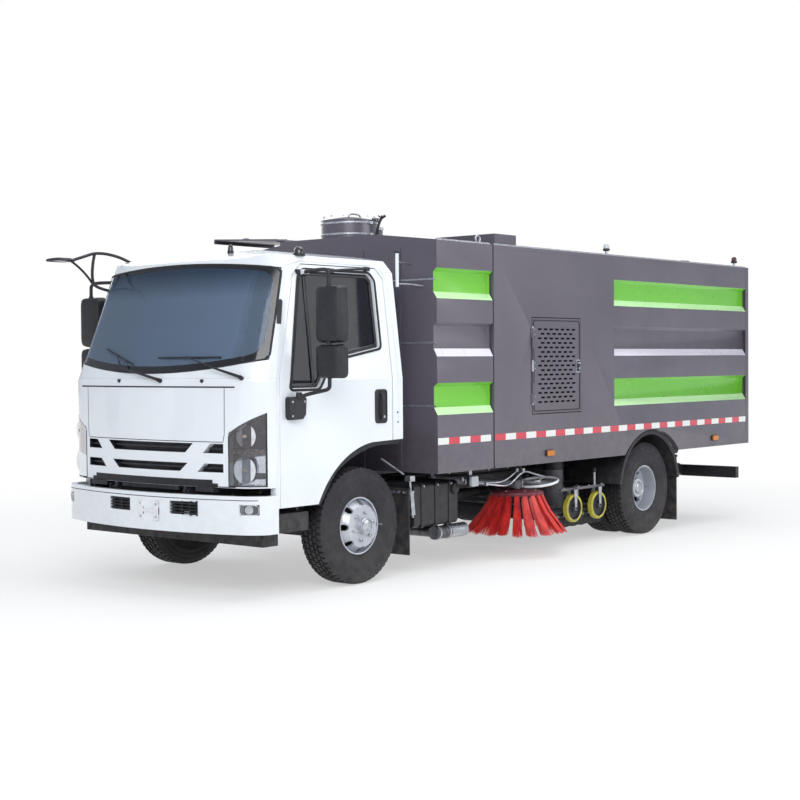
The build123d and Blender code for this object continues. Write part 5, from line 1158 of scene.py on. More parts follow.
class SWEEPER_OT_headlamps(Operator):
    """Headlamps: housings, chrome bowls, bulbs and two clear lenses a side"""
    bl_idname = "sweeper.headlamps"
    bl_label = "Headlamps"

    def execute(self, context):
        tree = skin_of("headlamps")
        across, rows = 14, 30

        def top(y):
            return 1.108 + (1.242 - 1.108) * (y - 0.742) / 0.236

        def met(sign, y, z):
            """Point of the lamp housing's face straight behind a place ahead of it."""
            return landed(tree, (-1.5, sign * y, z), (1, 0, 0))[0]

        chrome, dark, glow, clear_lens, smoked = range(5)
        made = bmesh.new()
        for sign in (-1, 1):
            grid = []
            for k in range(rows + 1):
                t = 0.004 + 0.992 * k / rows
                line = []
                for i in range(across + 1):
                    y = 0.746 + 0.228 * i / across
                    z = 0.756 + (top(y) - 0.760) * t
                    line.append(met(sign, y, z))
                grid.append(line)
            inward = Vector((0.93, -0.36 * sign, 0)).normalized()
            lens_rows = [[made.verts.new(p - Vector((0.001, 0, 0))) for p in line] for line in grid]
            split = 13
            for k in range(rows):
                for i in range(across):
                    quad = (lens_rows[k][i], lens_rows[k][i + 1], lens_rows[k + 1][i + 1], lens_rows[k + 1][i])
                    made.faces.new(quad).material_index = clear_lens if k < split else smoked
            # Housing behind: walls and a stepped back
            depth = 0.075
            back_rows = [[made.verts.new(p + inward * depth) for p in line] for line in grid]
            for k in range(rows):
                for i in range(across):
                    quad = (back_rows[k][i], back_rows[k + 1][i], back_rows[k + 1][i + 1], back_rows[k][i + 1])
                    made.faces.new(quad).material_index = dark if k >= split else chrome
            rim = [*[(0, i) for i in range(across + 1)], *[(k, across) for k in range(1, rows + 1)],
                   *[(rows, i) for i in range(across - 1, -1, -1)], *[(k, 0) for k in range(rows - 1, 0, -1)]]
            wall = [[made.verts.new(grid[k][i] + inward * d) for k, i in rim] for d in (0.004, depth)]
            bridged(made, wall, dark)
            # Shelf between the two units with its row of small lamps
            shelf_y = [0.757 + 0.21 * i / 8 for i in range(9)]
            for z, mat in ((1.004, chrome), (0.955, chrome)):
                front, back = [], []
                for y in shelf_y:
                    spot = met(sign, y, z)
                    front.append(made.verts.new(spot + inward * 0.008))
                    back.append(made.verts.new(spot + inward * 0.07))
                for i in range(8):
                    made.faces.new((front[i], front[i + 1], back[i + 1], back[i])).material_index = mat
            for i in range(5):
                y = 0.782 + 0.040 * i
                spot = met(sign, y, 0.98)
                centre = spot + inward * 0.012
                turned(made, [(0.0165, 0.0), (0.0145, 0.006), (0.006, 0.03)], centre, inward, 16, chrome,
                       ends=False)
                turned(made, [(0.0105, 0.004), (0.009, 0.0), (0.004, -0.0025)], centre + inward * 0.004, inward,
                       14, glow)
            # Bowls: a deep one above, a wide one below, each with a bulb and its shade
            for y, z, radius, bowl in ((0.868, 1.088, 0.074, 0.05), (0.858, 0.862, 0.084, 0.06)):
                spot = met(sign, y, z)
                centre = spot + inward * 0.016
                aim = Vector((0.985, -0.17 * sign, 0)).normalized()
                profile = [(radius + 0.005, 0.0), (radius, 0.001)]
                profile += [(radius * math.sqrt(1 - t), bowl * t) for t in (0.12, 0.25, 0.4, 0.55, 0.7, 0.85, 0.95)]
                turned(made, profile, centre, aim, 40, chrome)
                turned(made, [(0.013, 0.0), (0.013, 0.02), (0.009, 0.034)], centre + aim * (bowl - 0.04), -aim, 18,
                       glow)
                turned(made, [(0.020, 0.0), (0.017, 0.006), (0.006, 0.011)], centre + aim * (bowl * 0.35), -aim,
                       18, chrome)
                rod(made, centre + aim * (bowl * 0.4) + Vector((0, 0, -0.018)),
                    centre + aim * (bowl * 0.9) + Vector((0, 0, -0.028)), 0.003, 8, chrome)
            # Amber turn lamp on the outer edge of the upper unit
            spot = met(sign, 0.952, 1.12)
            turned(made, [(0.022, 0.0), (0.02, 0.02), (0.01, 0.034)], spot + inward * 0.018, inward, 18, chrome)
        mats = [finish("chrome"), finish("lamp bezel"), lens("amber bulb", "F4E6C8", 0.35),
                lens("clear lamp", "EEF1F4", 0.04), lens("smoked lamp", "C4C0C3", 0.10)]
        piece("headlamp_units", made, "cab", "lamp", mats, ("headlamps",), outward=False)

        # Rubber line round each lens
        bm = bmesh.new()
        for sign in (-1, 1):
            outline = [(0.7425, 0.7525), (0.977, 0.7525), (0.977, 1.240), (0.7425, 1.1065)]
            line = []
            for a, b in zip(outline, outline[1:] + outline[:1]):
                for i in range(16):
                    y, z = a[0] + (b[0] - a[0]) * i / 16, a[1] + (b[1] - a[1]) * i / 16
                    spot = tree.ray_cast(Vector((-1.5, sign * min(max(y, 0.7445), 0.9745), min(max(z, 0.755), 1.236))),
                                         Vector((1, 0, 0)))[0]
                    if spot:
                        line.append(spot)
            pipe(bm, line, 0.0032, 6, closed=True, straight=True)
        piece("headlamp_seals", bm, "cab", "cab_plastic", [finish("seal rubber")])
        return {"FINISHED"}


class SWEEPER_OT_chassis_lamps(Operator):
    """Fog lamps in the bumper and the ribbed tail lamps on the rear guard"""
    bl_idname = "sweeper.chassis_lamps"
    bl_label = "Chassis lamps"

    def execute(self, context):
        clear_lens, chrome, red, amber, dark, white = range(6)
        mats = [lens("fog lamp", "E8EAEE", 0.08), finish("chrome"), lens("tail red", "B3121C", 0.45),
                lens("turn amber", "E07A10", 0.5), finish("black plastic"), lens("reversing white", "E6E6E6", 0.4)]
        tree = skin_of("chassis_lamps")
        bm = bmesh.new()
        for sign in (-1, 1):
            inner, outer, low, high = 0.873, 0.982, 0.575, 0.637
            points = rounded([(inner, low), (outer, low), (outer, high), (inner, high)], 0.02, 4)
            spots = [landed(tree, (-1.5, sign * y, z), (1, 0, 0))[0] for y, z in points]
            middle = sum(spots, Vector()) / len(spots)
            aim = Vector((-0.86, sign * 0.5, 0)).normalized()
            face = [bm.verts.new(s + aim * 0.003) for s in spots]
            top = bm.verts.new(middle + aim * 0.012)
            for i in range(len(face)):
                bm.faces.new((face[i], face[(i + 1) % len(face)], top)).material_index = clear_lens
            rim = [bm.verts.new(s + aim * 0.003) for s in spots]
            wall = [bm.verts.new(s - aim * 0.045) for s in spots]
            bridged(bm, [rim, wall], dark)
            bm.faces.new(wall).material_index = dark
            # round bowl with its bulb behind the lens
            turned(bm, [(0.029, 0.0), (0.026, 0.012), (0.018, 0.024), (0.006, 0.03)], middle + aim * 0.002, -aim, 28,
                   chrome)
            turned(bm, [(0.008, 0.0), (0.0075, 0.012), (0.004, 0.018)], middle - aim * 0.024, aim, 14, white)
            pipe(bm, [s + aim * 0.0035 for s in spots], 0.0028, 6, chrome, closed=True, straight=True)
            # Tail lamp: three lenses in a black box with a screwed foot
            for y0, y1, mat in ((0.645, 0.755, red), (0.758, 0.86, amber), (0.863, 0.975, white)):
                ys = sorted((sign * y0, sign * y1))
                block(bm, 5.512, 5.538, ys[0], ys[1], 0.424, 0.492, mat)
                ribs = 7
                for r in range(ribs):
                    y = ys[0] + (ys[1] - ys[0]) * (r + 0.5) / ribs
                    block(bm, 5.538, 5.5405, y - 0.0042, y + 0.0042, 0.428, 0.488, mat)
            ys = sorted((sign * 0.64, sign * 0.98))
            block(bm, 5.515, 5.530, ys[0], ys[1], 0.414, 0.502, dark)
            for y in (0.7, 0.92):
                rod(bm, (5.526, sign * y, 0.500), (5.526, sign * y, 0.508), 0.006, 8, chrome)
        piece("chassis_lamp_units", bm, "chassis", "lamp", mats, ("chassis_lamps",), bevel=0.0018)
        return {"FINISHED"}


# ---- Cab front trim

class SWEEPER_OT_cab_trim(Operator):
    """Service lid joints, intake strips, arch liners, pillar vents, gutters, door handles and the grab rail"""
    bl_idname = "sweeper.cab_trim"
    bl_label = "Cab trim"

    def execute(self, context):
        front = skin_of("cab_front", "grille", "cab_pillars")
        bm = bmesh.new()
        lid = [(0.715, 1.412), (0.712, 1.10), (0.700, 1.046), (-0.700, 1.046), (-0.712, 1.10), (-0.715, 1.412)]
        line = [Vector((-1.5, y, z)) for y, z in lid]
        ribbon(bm, front, line, (1, 0, 0), 0.005, 0.0006)
        ribbon(bm, front, [(-1.5, -0.80, 1.412), (-1.5, 0.80, 1.412)], (1, 0, 0), 0.010, 0.0007)
        # black intake under the lid's slots, between the lamps
        ribbon(bm, front, [(-1.5, -0.655, 0.757), (-1.5, 0.655, 0.757)], (1, 0, 0), 0.026, 0.0012)
        ribbon(bm, front, [(-1.5, -0.610, 0.780), (-1.5, 0.610, 0.780)], (1, 0, 0), 0.026, 0.0012)
        ribbon(bm, front, [(-1.5, -0.80, 0.748), (-1.5, 0.80, 0.748)], (1, 0, 0), 0.006,
               0.0006)
        piece("front_joints", bm, "cab", "cab_plastic", [finish("seal rubber")], outward=False)

        # Black liner lip under each wheel arch of the cab
        arch = [(-0.520, 0.560), (-0.440, 0.602), (-0.225, 0.860), (0.120, 1.000), (0.460, 1.012), (0.62, 1.012)]
        curve = []
        for a, b, c, d in zip(arch, arch[1:], arch[2:], arch[3:]):
            for k in range(8):
                t = k / 8
                curve.append([0.5 * (2 * q + (r - p) * t + (2 * p - 5 * q + 4 * r - s) * t * t
                                     + (3 * q - p - 3 * r + s) * t ** 3) for p, q, r, s in zip(a, b, c, d)])
        curve.append(list(arch[-2]))
        for side, sign in SIDES:
            bm = bmesh.new()
            rows = [[], [], [], []]
            for x, z in curve:
                away = Vector((0.10 - x, 0, 0.40 - z)).normalized()
                for row, (y, width) in zip(rows, ((0.972, -0.004), (0.972, 0.042), (0.900, 0.050), (0.900, 0.004))):
                    row.append(bm.verts.new(Vector((x, sign * y, z)) + away * width))
            channel(bm, rows)
            piece(f"arch_liner_{side}", bm, "cab", "cab_plastic", [finish("arch plastic")], bevel=0.002)

        # Black vents on the windscreen pillars, above the doors' front edges
        for side, sign in SIDES:
            pillar = skin_of("cab_pillars", f"door_{side}", "cab_roof", "cab_front", "cab_glass")
            bm = bmesh.new()
            outline = [(-0.772, 1.832), (-0.746, 1.828), (-0.706, 1.985), (-0.716, 1.998), (-0.732, 1.99)]
            rows = []
            for lift in (0.0, 0.006):
                rows.append([bm.verts.new(landed(pillar, (x, sign * 1.5, z), (0, -sign, 0), lift)[0])
                             for x, z in outline])
            bridged(bm, rows)
            bm.faces.new(rows[1])
            piece(f"pillar_vent_{side}", bm, "cab", "cab_plastic", [finish("black plastic")], bevel=0.002)

        # Gutter line over each door
        for side, sign in SIDES:
            roof = skin_of("cab_roof", f"door_{side}", "cab_rear")
            bm = bmesh.new()
            gutter = [(-0.62, 2.236), (-0.50, 2.262), (0.20, 2.262), (0.33, 2.235), (0.385, 2.15), (0.40, 1.9),
                      (0.408, 1.45), (0.41, 1.05)]
            spots = []
            for (x0, z0), (x1, z1) in zip(gutter, gutter[1:]):
                for i in range(5):
                    x, z = x0 + (x1 - x0) * i / 5, z0 + (z1 - z0) * i / 5
                    spots.append(landed(roof, (x, sign * 1.5, z), (0, -sign, 0), 0.0)[0])
            pipe(bm, spots, 0.0042, 6, 0, straight=True)
            piece(f"gutter_{side}", bm, "cab", "cab_white", [white_enamel()])

        # Handle cups: a rounded recess plate with a pull bar and a lock
        for side, sign in SIDES:
            door = skin_of(f"door_{side}")
            bm = bmesh.new()
            x0, x1, z0, z1 = 0.149, 0.280, 1.132, 1.376
            outline = rounded([(x0, z0), (x1, z0), (x1, z1), (x0, z1)], 0.03, 4)
            base = [landed(door, (p.x, sign * 1.5, p.y), (0, -sign, 0), 0.0005)[0] for p in outline]
            out = Vector((0, sign, 0))
            centre = sum(base, Vector()) / len(base)

            def ring(share, lift):
                return [bm.verts.new(centre + (b - centre) * share + out * lift) for b in base]
            rings = [ring(1.0, 0.0), ring(1.0, 0.006), ring(0.90, 0.008), ring(0.86, 0.0015), ring(0.5, 0.0008)]
            bridged(bm, rings)
            bm.faces.new(rings[-1])
            grip = [centre + Vector((0.0, sign * d, h)) for h, d in
                    ((-0.092, 0.002), (-0.084, 0.016), (0.0, 0.021), (0.084, 0.016), (0.092, 0.002))]
            pipe(bm, grip, 0.0105, 12)
            lock = centre + Vector((0.032, sign * 0.002, -0.075))
            rod(bm, lock, lock + out * 0.006, 0.011, 16, 1, 0.010)
            piece(f"door_handle_{side}", bm, f"door_{side}_body", "cab_plastic",
                  [finish("black plastic"), finish("zinc")], bevel=0.0015)
            bm = bmesh.new()
            rear = skin_of("cab_rear", "cab_pillars", f"door_{side}")
            for x, z, radius in ((0.399, 1.205, 0.0075), (0.401, 1.135, 0.006)):
                spot, normal = landed(rear, (x, sign * 1.5, z), (0, -sign, 0))
                rod(bm, spot - normal * 0.002, spot + normal * 0.004, radius, 12, 0, radius * 0.8)
            piece(f"pillar_studs_{side}", bm, "cab", "cab_plastic", [finish("black plastic")])
        # Grab rail on the left door frame, on two feet
        bm = bmesh.new()
        rail = [(-0.235, 2.216), (-0.215, 2.205), (-0.03, 2.222), (0.165, 2.232), (0.185, 2.236)]
        roof = skin_of("cab_roof", "door_left")
        spots = [landed(roof, (x, -1.5, z), (0, 1, 0), 0.02)[0] for x, z in rail]
        pipe(bm, [spots[0] + Vector((0, 0.02, 0)), *spots, spots[-1] + Vector((0, 0.02, 0))], 0.0085, 10)
        for end in (spots[1], spots[-2]):
            block(bm, end.x - 0.02, end.x + 0.02, end.y - 0.008, end.y + 0.022, end.z - 0.014, end.z + 0.014)
        piece("grab_rail", bm, "door_left_body", "cab_plastic", [finish("black plastic")], bevel=0.003)
        return {"FINISHED"}


class SWEEPER_OT_bumper_trim(Operator):
    """Blank plate bracket with its bolts, the painted shade of the bumper's groove, and the bumper's louvres"""
    bl_idname = "sweeper.bumper_trim"
    bl_label = "Bumper trim"

    def execute(self, context):
        bumper = skin_of("front_bumper")
        bm = bmesh.new()
        # Blank plate bracket: two uprights with their bolts and a bar between them
        front = landed(bumper, (-1.5, -0.112, 0.66), (1, 0, 0))[0].x
        for y0, y1 in ((-0.100, -0.058), (0.058, 0.100)):
            block(bm, front - 0.006, front - 0.0005, -0.112 + y0, -0.112 + y1, 0.508, 0.640)
            for z in (0.530, 0.618):
                rod(bm, (front - 0.0005, -0.112 + (y0 + y1) / 2, z), (front - 0.0125, -0.112 + (y0 + y1) / 2, z),
                    0.008, 6, 1)
        block(bm, front - 0.0045, front - 0.001, -0.112 - 0.100, -0.112 + 0.100, 0.560, 0.585)
        piece("plate_bracket", bm, "chassis", "cab_white", [finish("plate"), finish("zinc")], bevel=0.0012)

        # Dark strip along the bumper's crease: painted shade of its groove
        bm = bmesh.new()
        ribbon(bm, bumper, [(-1.5, -0.98, 0.668), (-1.5, 0.98, 0.668)], (1, 0, 0), 0.005, 0.0006)
        piece("bumper_groove", bm, "chassis", "cab_plastic", [finish("seal rubber")], outward=False)

        # Louvres in the two bumper openings
        bm = bmesh.new()
        for y0, y1 in ((-0.112 - 0.430, -0.112 - 0.195), (-0.112 + 0.195, -0.112 + 0.430)):
            for k in range(4):
                z = 0.572 + 0.021 * k
                block(bm, front + 0.022, front + 0.045, y0 - 0.004, y1 + 0.004, z - 0.0035, z + 0.0035)
            for k in range(3):
                y = y0 + (y1 - y0) * (k + 0.5) / 3
                block(bm, front + 0.024, front + 0.043, y - 0.003, y + 0.003, 0.556, 0.652)
            block(bm, front + 0.046, front + 0.052, y0 - 0.01, y1 + 0.01, 0.552, 0.656, 0)
        piece("bumper_louvres", bm, "chassis", "cab_plastic", [finish("black plastic")], bevel=0.001)
        return {"FINISHED"}


# ---- Mirrors

def mirror_head(bm, x0, x1, y, half, low, high):
    """Mirror head: a bowed shell, a rim and its glass on the rear face."""
    middle, tall = (low + high) / 2, (high - low) / 2

    def outline(share_y, share_z, x):
        points = rounded([(-half * share_y, -tall * share_z), (half * share_y, -tall * share_z),
                          (half * share_y, tall * share_z), (-half * share_y, tall * share_z)], 0.045, 6)
        return [Vector((x, y + p.x, middle + p.y)) for p in points]
    deep = x1 - x0
    layers = [(0.55, 0.72, x0), (0.80, 0.87, x0 + deep * 0.05), (0.93, 0.955, x0 + deep * 0.18),
              (0.99, 0.992, x0 + deep * 0.45), (1.0, 1.0, x1 - 0.010), (0.985, 0.99, x1),
              (0.94, 0.965, x1), (0.925, 0.955, x1 - 0.008)]
    rings = [[bm.verts.new(p) for p in outline(*layer)] for layer in layers]
    bridged(bm, rings)
    bm.faces.new(rings[0])
    bm.faces.new(rings[-1]).material_index = 1


class SWEEPER_OT_mirrors(Operator):
    """Door mirrors and kerb mirrors: shells, glass, bent tubes and clamps"""
    bl_idname = "sweeper.mirrors"
    bl_label = "Mirrors"

    def execute(self, context):
        for side, sign in SIDES:
            bm = bmesh.new()
            y = sign * 1.245
            mirror_head(bm, -0.620, -0.520, y, 0.112, 1.701, 2.082)
            mirror_head(bm, -0.620, -0.520, y, 0.112, 1.464, 1.690)
            # Tube from the bracket up behind the heads, over to the door frame
            tube = [(-0.668, sign * 1.035, 1.335), (-0.645, sign * 1.062, 1.352), (-0.600, sign * 1.17, 1.378),
                    (-0.586, y, 1.392), (-0.585, y, 1.44), (-0.585, y, 1.8), (-0.585, y, 2.13),
                    (-0.583, y, 2.178), (-0.570, sign * 1.17, 2.196), (-0.480, sign * 0.905, 2.186)]
            pipe(bm, tube, 0.0135, 12, 0)
            for z in (1.56, 1.70, 1.90, 2.07):
                rod(bm, (-0.585, y, z - 0.02), (-0.585, y, z + 0.02), 0.0175)
            # Bracket on the door skin, tapered at its foot
            outer = sign * 1.045
            points = [(-0.757, 1.208), (-0.742, 1.189), (-0.632, 1.192), (-0.604, 1.222), (-0.597, 1.330),
                      (-0.612, 1.343), (-0.745, 1.343), (-0.757, 1.330)]
            prism(bm, [(x, sign * 0.995, z) for x, z in points], (0, sign * 0.05, 0), 0)
            rod(bm, (-0.665, sign * 1.040, 1.330), (-0.665, sign * 1.040, 1.372), 0.024, 18, 0, 0.020)
            for x, z in ((-0.735, 1.215), (-0.735, 1.31), (-0.62, 1.31)):
                rod(bm, (x, outer - sign * 0.001, z), (x, outer + sign * 0.006, z), 0.008, 6, 2)
            # White knuckle on the door frame
            rod(bm, (-0.520, sign * 0.93, 2.186), (-0.445, sign * 0.925, 2.190), 0.017, 14, 3, 0.015)
            block(bm, -0.555, -0.43, sign * 0.90, sign * 0.925, 2.172, 2.204)
            piece(f"mirror_set_{side}", bm, f"door_{side}_body", "cab_plastic",
                  [finish("black plastic"), finish("mirror"), finish("zinc"), white_enamel()],
                  (f"mirrors_{side}",), bevel=0.0018)
        # Kerb mirrors on their frame of bent tubes
        bm = bmesh.new()
        apex, roof, low = (-0.776, 0.950, 2.399), (-0.473, 0.820, 2.296), (-0.807, 0.950, 2.174)
        foot, tip = (-0.668, 0.885, 2.112), (-1.000, 0.950, 2.330)
        pipe(bm, [roof, (-0.56, 0.85, 2.352), (-0.68, 0.90, 2.392), apex, (-0.86, 0.950, 2.372), tip], 0.0115, 12)
        pipe(bm, [apex, (-0.80, 0.95, 2.33), low, (-0.76, 0.93, 2.134), foot], 0.0115, 12)
        pipe(bm, [low, (-0.88, 0.955, 2.27), tip], 0.009, 10)
        for spot in (roof, foot):
            rod(bm, Vector(spot) + Vector((0, 0.018, -0.012)), Vector(spot) + Vector((0, -0.012, 0.012)), 0.022,
                16, 0, 0.019)
        rings = []
        for share, dz in ((0.30, 0.018), (0.72, 0.0155), (0.92, 0.009), (1.0, 0.0), (1.0, -0.004), (0.93, -0.010),
                          (0.90, -0.006)):
            points = rounded([(-0.09 * share, -0.08 * share), (0.09 * share, -0.08 * share),
                              (0.09 * share, 0.08 * share), (-0.09 * share, 0.08 * share)], 0.04, 6)
            rings.append([bm.verts.new((-1.09 + p.x, 0.950 + p.y, 2.33 + dz)) for p in points])
        bridged(bm, rings)
        bm.faces.new(rings[0])
        bm.faces.new(rings[-1]).material_index = 1
        piece("kerb_mirror_set", bm, "cab", "cab_plastic", [finish("black plastic"), finish("mirror")],
              ("kerb_mirrors",), bevel=0.0012)
        return {"FINISHED"}


# ---- Wheels

AXLE_Z = 0.415
REAR_AXLE = 3.815
BRUSH_X, BRUSH_Y = 2.010, 0.900


def tyre_shape(bm, centre, out):
    """Tyre carcass turned about an axle: beads, side walls with their rings, and the ribbed tread's base."""
    base = 0.4035
    section = [(0.2035, -0.088), (0.212, -0.098), (0.232, -0.104), (0.236, -0.106), (0.240, -0.104),
               (0.262, -0.110), (0.300, -0.1165), (0.303, -0.1175), (0.306, -0.1165), (0.340, -0.1150),
               (0.343, -0.1160), (0.346, -0.1145), (0.372, -0.1085), (0.375, -0.1095), (0.378, -0.1065),
               (0.394, -0.0985), (base, -0.0925)]
    grooves = []
    for y in (-0.058, -0.020, 0.020, 0.058):
        grooves += [(base, y - 0.0075), (base - 0.010, y - 0.0045), (base - 0.010, y + 0.0045), (base, y + 0.0075)]
    profile = section + grooves + [(r, -y) for r, y in reversed(section)]
    turned(bm, profile, centre, out, 120, 0, closed=True)


def tread_blocks(centre, out, mats):
    """Blocks of the five tread ribs round a tyre, grown from one block a rib."""
    wheels = bpy.context.scene.sweeper_wheels
    base = 0.4025
    top = base + wheels.tread_depth + 0.0025
    parts = []
    pitch = math.tau * base / wheels.tread_blocks
    for k, (y0, y1) in enumerate(((-0.094, -0.066), (-0.050, -0.028), (-0.012, 0.012), (0.028, 0.050),
                                  (0.066, 0.094))):
        shape = bmesh.new()
        gap = 0.0035 if k in (1, 2, 3) else 0.006
        long = pitch / 2 - gap
        skew = (0.0, 0.006, 0.0, -0.006, 0.0)[k]
        low = [(-long, y0 - skew), (long, y0), (long, y1 + skew), (-long, y1)]
        block_low = [shape.verts.new((base - 0.002, a, b)) for a, b in low]
        drop = 0.005 if k in (0, 4) else 0.0
        block_high = [shape.verts.new((top - (drop if abs(b) > 0.09 else 0), a * 0.92, b * 0.985)) for a, b in low]
        shape.faces.new(block_low[::-1])
        shape.faces.new(block_high)
        bridged(shape, [block_low, block_high])
        bmesh.ops.translate(shape, verts=shape.verts, vec=(-base, 0, 0))
        ring = grown(ring_tree(), facing(centre, out, pitch / base * (0.5 if k % 2 else 0.0)), shape,
                     Count=wheels.tread_blocks, Radius=base, Material=mats[0])
        parts.append(taken_in(bmesh.new(), ring))
    return joined(*parts)


class SWEEPER_OT_tyres(Operator):
    """Tyres with ribbed side walls and five rows of tread blocks"""
    bl_idname = "sweeper.tyres"
    bl_label = "Tyres"

    def execute(self, context):
        rubber = [finish("tyre")]
        sets = [("tyre_front_left", "wheel_front_left", [(0.0, -0.885)]),
                ("tyre_front_right", "wheel_front_right", [(0.0, 0.885)]),
                ("tyres_rear_left", "wheels_rear_left", [(REAR_AXLE, -0.925), (REAR_AXLE, -0.659)]),
                ("tyres_rear_right", "wheels_rear_right", [(REAR_AXLE, 0.925), (REAR_AXLE, 0.659)])]
        for node_name, body, places in sets:
            parts = []
            for x, y in places:
                out = (0, math.copysign(1, y), 0)
                carcass = bmesh.new()
                tyre_shape(carcass, (x, y, AXLE_Z), out)
                bmesh.ops.recalc_face_normals(carcass, faces=carcass.faces)
                parts += [carcass, tread_blocks((x, y, AXLE_Z), out, rubber)]
            piece(f"{node_name}_tread", joined(*parts), body, "tyre", rubber, (node_name,), outward=False,
                  smooth=40)
        return {"FINISHED"}


class SWEEPER_OT_rims(Operator):
    """Silver rims, wheel nuts, centre caps and valves"""
    bl_idname = "sweeper.rims"
    bl_label = "Rims"

    def execute(self, context):
        wheels = context.scene.sweeper_wheels
        silver, zinc = finish("wheel"), finish("zinc")
        for name in ("rim_front_left", "rim_front_right", "rims_rear_left", "rims_rear_right"):
            dressed(name, [silver], None, 0.003, 2, 40)
        for side, sign in SIDES:
            out = Vector((0, sign, 0))
            for kind, x, rim, body in (("front", 0.0, f"rim_front_{side}", f"wheel_front_{side}"),
                                       ("rear", REAR_AXLE, f"rims_rear_{side}", f"wheels_rear_{side}")):
                tree = skin_of(rim)
                centre = Vector((x, 0, AXLE_Z))
                spot = landed(tree, centre + Vector((wheels.nut_circle, sign * 1.6, 0)), -out)[0]
                shape = bmesh.new()
                turned(shape, [(0.0165, -0.001), (0.0165, 0.003), (0.0145, 0.0035)], (0, 0, 0), (0, 0, 1), 16)
                turned(shape, [(0.0135, 0.003), (0.0135, 0.017), (0.0115, 0.019)], (0, 0, 0), (0, 0, 1), 6)
                turned(shape, [(0.0065, 0.018), (0.0065, 0.028), (0.0045, 0.030)], (0, 0, 0), (0, 0, 1), 10)
                place = facing(Vector((x, spot.y, AXLE_Z)), out, 0.26)
                nuts = grown(ring_tree(), place, shape, Count=wheels.nuts, Radius=wheels.nut_circle,
                             Material=zinc)
                part = taken_in(bmesh.new(), nuts)
                # hub cap with a stepped rim, and the valve stem through a hand hole
                hub = landed(tree, centre + Vector((0.0, sign * 1.6, 0)), -out)[0]
                turned(part, [(0.060, -0.002), (0.060, 0.004), (0.052, 0.007), (0.050, 0.013), (0.040, 0.018),
                              (0.018, 0.0205)], hub, out, 40)
                part_valve = Vector((x + 0.165, hub.y - sign * 0.03, AXLE_Z))
                rod(part, part_valve, part_valve + Vector((0.004, sign * 0.022, 0)), 0.0035, 8, 0, 0.003)
                rod(part, part_valve + Vector((0.004, sign * 0.022, 0)),
                    part_valve + Vector((0.005, sign * 0.030, 0)), 0.0048, 8)
                piece(f"wheel_nuts_{kind}_{side}", part, body, "rim_silver", [zinc], outward=True)
        return {"FINISHED"}


# ---- Brushes

class SWEEPER_OT_brushes(Operator):
    """Side brushes: plate with its bolts and tufts of bristles flared outward"""
    bl_idname = "sweeper.brushes"
    bl_label = "Brushes"

    def execute(self, context):
        brushes = context.scene.sweeper_brushes
        bristle, plate = finish("bristle"), finish("brush plate")
        for side, sign in SIDES:
            centre = Vector((BRUSH_X, sign * BRUSH_Y, 0.0))
            # One tuft: rows of bristle bundles that fan out from a root under the plate
            shape = bmesh.new()
            columns, layers = brushes.strands, 4
            for row in range(layers):
                for col in range(columns):
                    fan = (col / (columns - 1) - 0.5) * 2
                    wobble = math.sin(col * 12.9898 + row * 78.233) * 0.5
                    root = Vector((-0.004 - 0.010 * row, fan * 0.013, 0.0))
                    tip = Vector((0.204 - 0.024 * row + wobble * 0.010, fan * 0.038 + wobble * 0.004,
                                  -0.322 + abs(fan) * 0.008 + wobble * 0.010))
                    bend = root.lerp(tip, 0.45) + Vector((-0.016, 0, -0.008))
                    spots = [root, root.lerp(bend, 0.5) + Vector((-0.004, 0, 0)), bend, bend.lerp(tip, 0.5), tip]
                    rings = []
                    for k, spot in enumerate(spots):
                        size = brushes.strand * (1.0, 1.05, 1.0, 0.85, 0.35)[k]
                        rings.append([shape.verts.new(spot + Vector((math.cos(a) * size, math.sin(a) * size, 0)))
                                      for a in (0.5, 2.6, 4.7)])
                    bridged(shape, rings)
                    shape.faces.new(rings[-1])
            bmesh.ops.recalc_face_normals(shape, faces=shape.faces)
            tufts = grown(ring_tree(), Matrix.Translation(centre + Vector((0, 0, 0.504))), shape,
                          Count=brushes.tufts, Radius=0.208, Jitter=0.05, Seed=11, Material=bristle)
            piece(f"brush_tufts_{side}", taken_in(bmesh.new(), tufts), f"brush_{side}_body", "brush_red", [bristle],
                  (f"brush_{side}",), outward=False, smooth=60)
            disc = bmesh.new()
            turned(disc, [(0.045, 0.533), (0.075, 0.530), (0.110, 0.520), (0.200, 0.518), (0.214, 0.512),
                          (0.218, 0.500), (0.213, 0.488), (0.200, 0.484), (0.105, 0.488), (0.045, 0.496)],
                   centre, (0, 0, 1), 72, 0, closed=True)
            rod(disc, centre + Vector((0, 0, 0.490)), centre + Vector((0, 0, 0.560)), 0.030, 24, 1)
            # Sockets that clamp the tufts, and the bolts of the plate
            sockets = bmesh.new()
            turned(sockets, [(0.021, -0.026), (0.023, 0.0), (0.020, 0.006)], (0, 0, 0), (0.35, 0, 1), 12)
            ring = grown(ring_tree(), Matrix.Translation(centre + Vector((0, 0, 0.500))), sockets,
                         Count=brushes.tufts, Radius=0.198, Material=plate)
            taken_in(disc, ring)
            bolts = bmesh.new()
            turned(bolts, [(0.010, 0.0), (0.010, 0.007), (0.008, 0.009)], (0, 0, 0), (0, 0, 1), 6)
            ring = grown(ring_tree(), Matrix.Translation(centre + Vector((0, 0, 0.516))), bolts,
                         Count=6, Radius=0.150, Material=finish("zinc"))
            taken_in(disc, ring, 1)
            piece(f"brush_plate_{side}", disc, f"brush_{side}_body", "brush_red", [plate, finish("zinc")],
                  bevel=0.001)
        return {"FINISHED"}


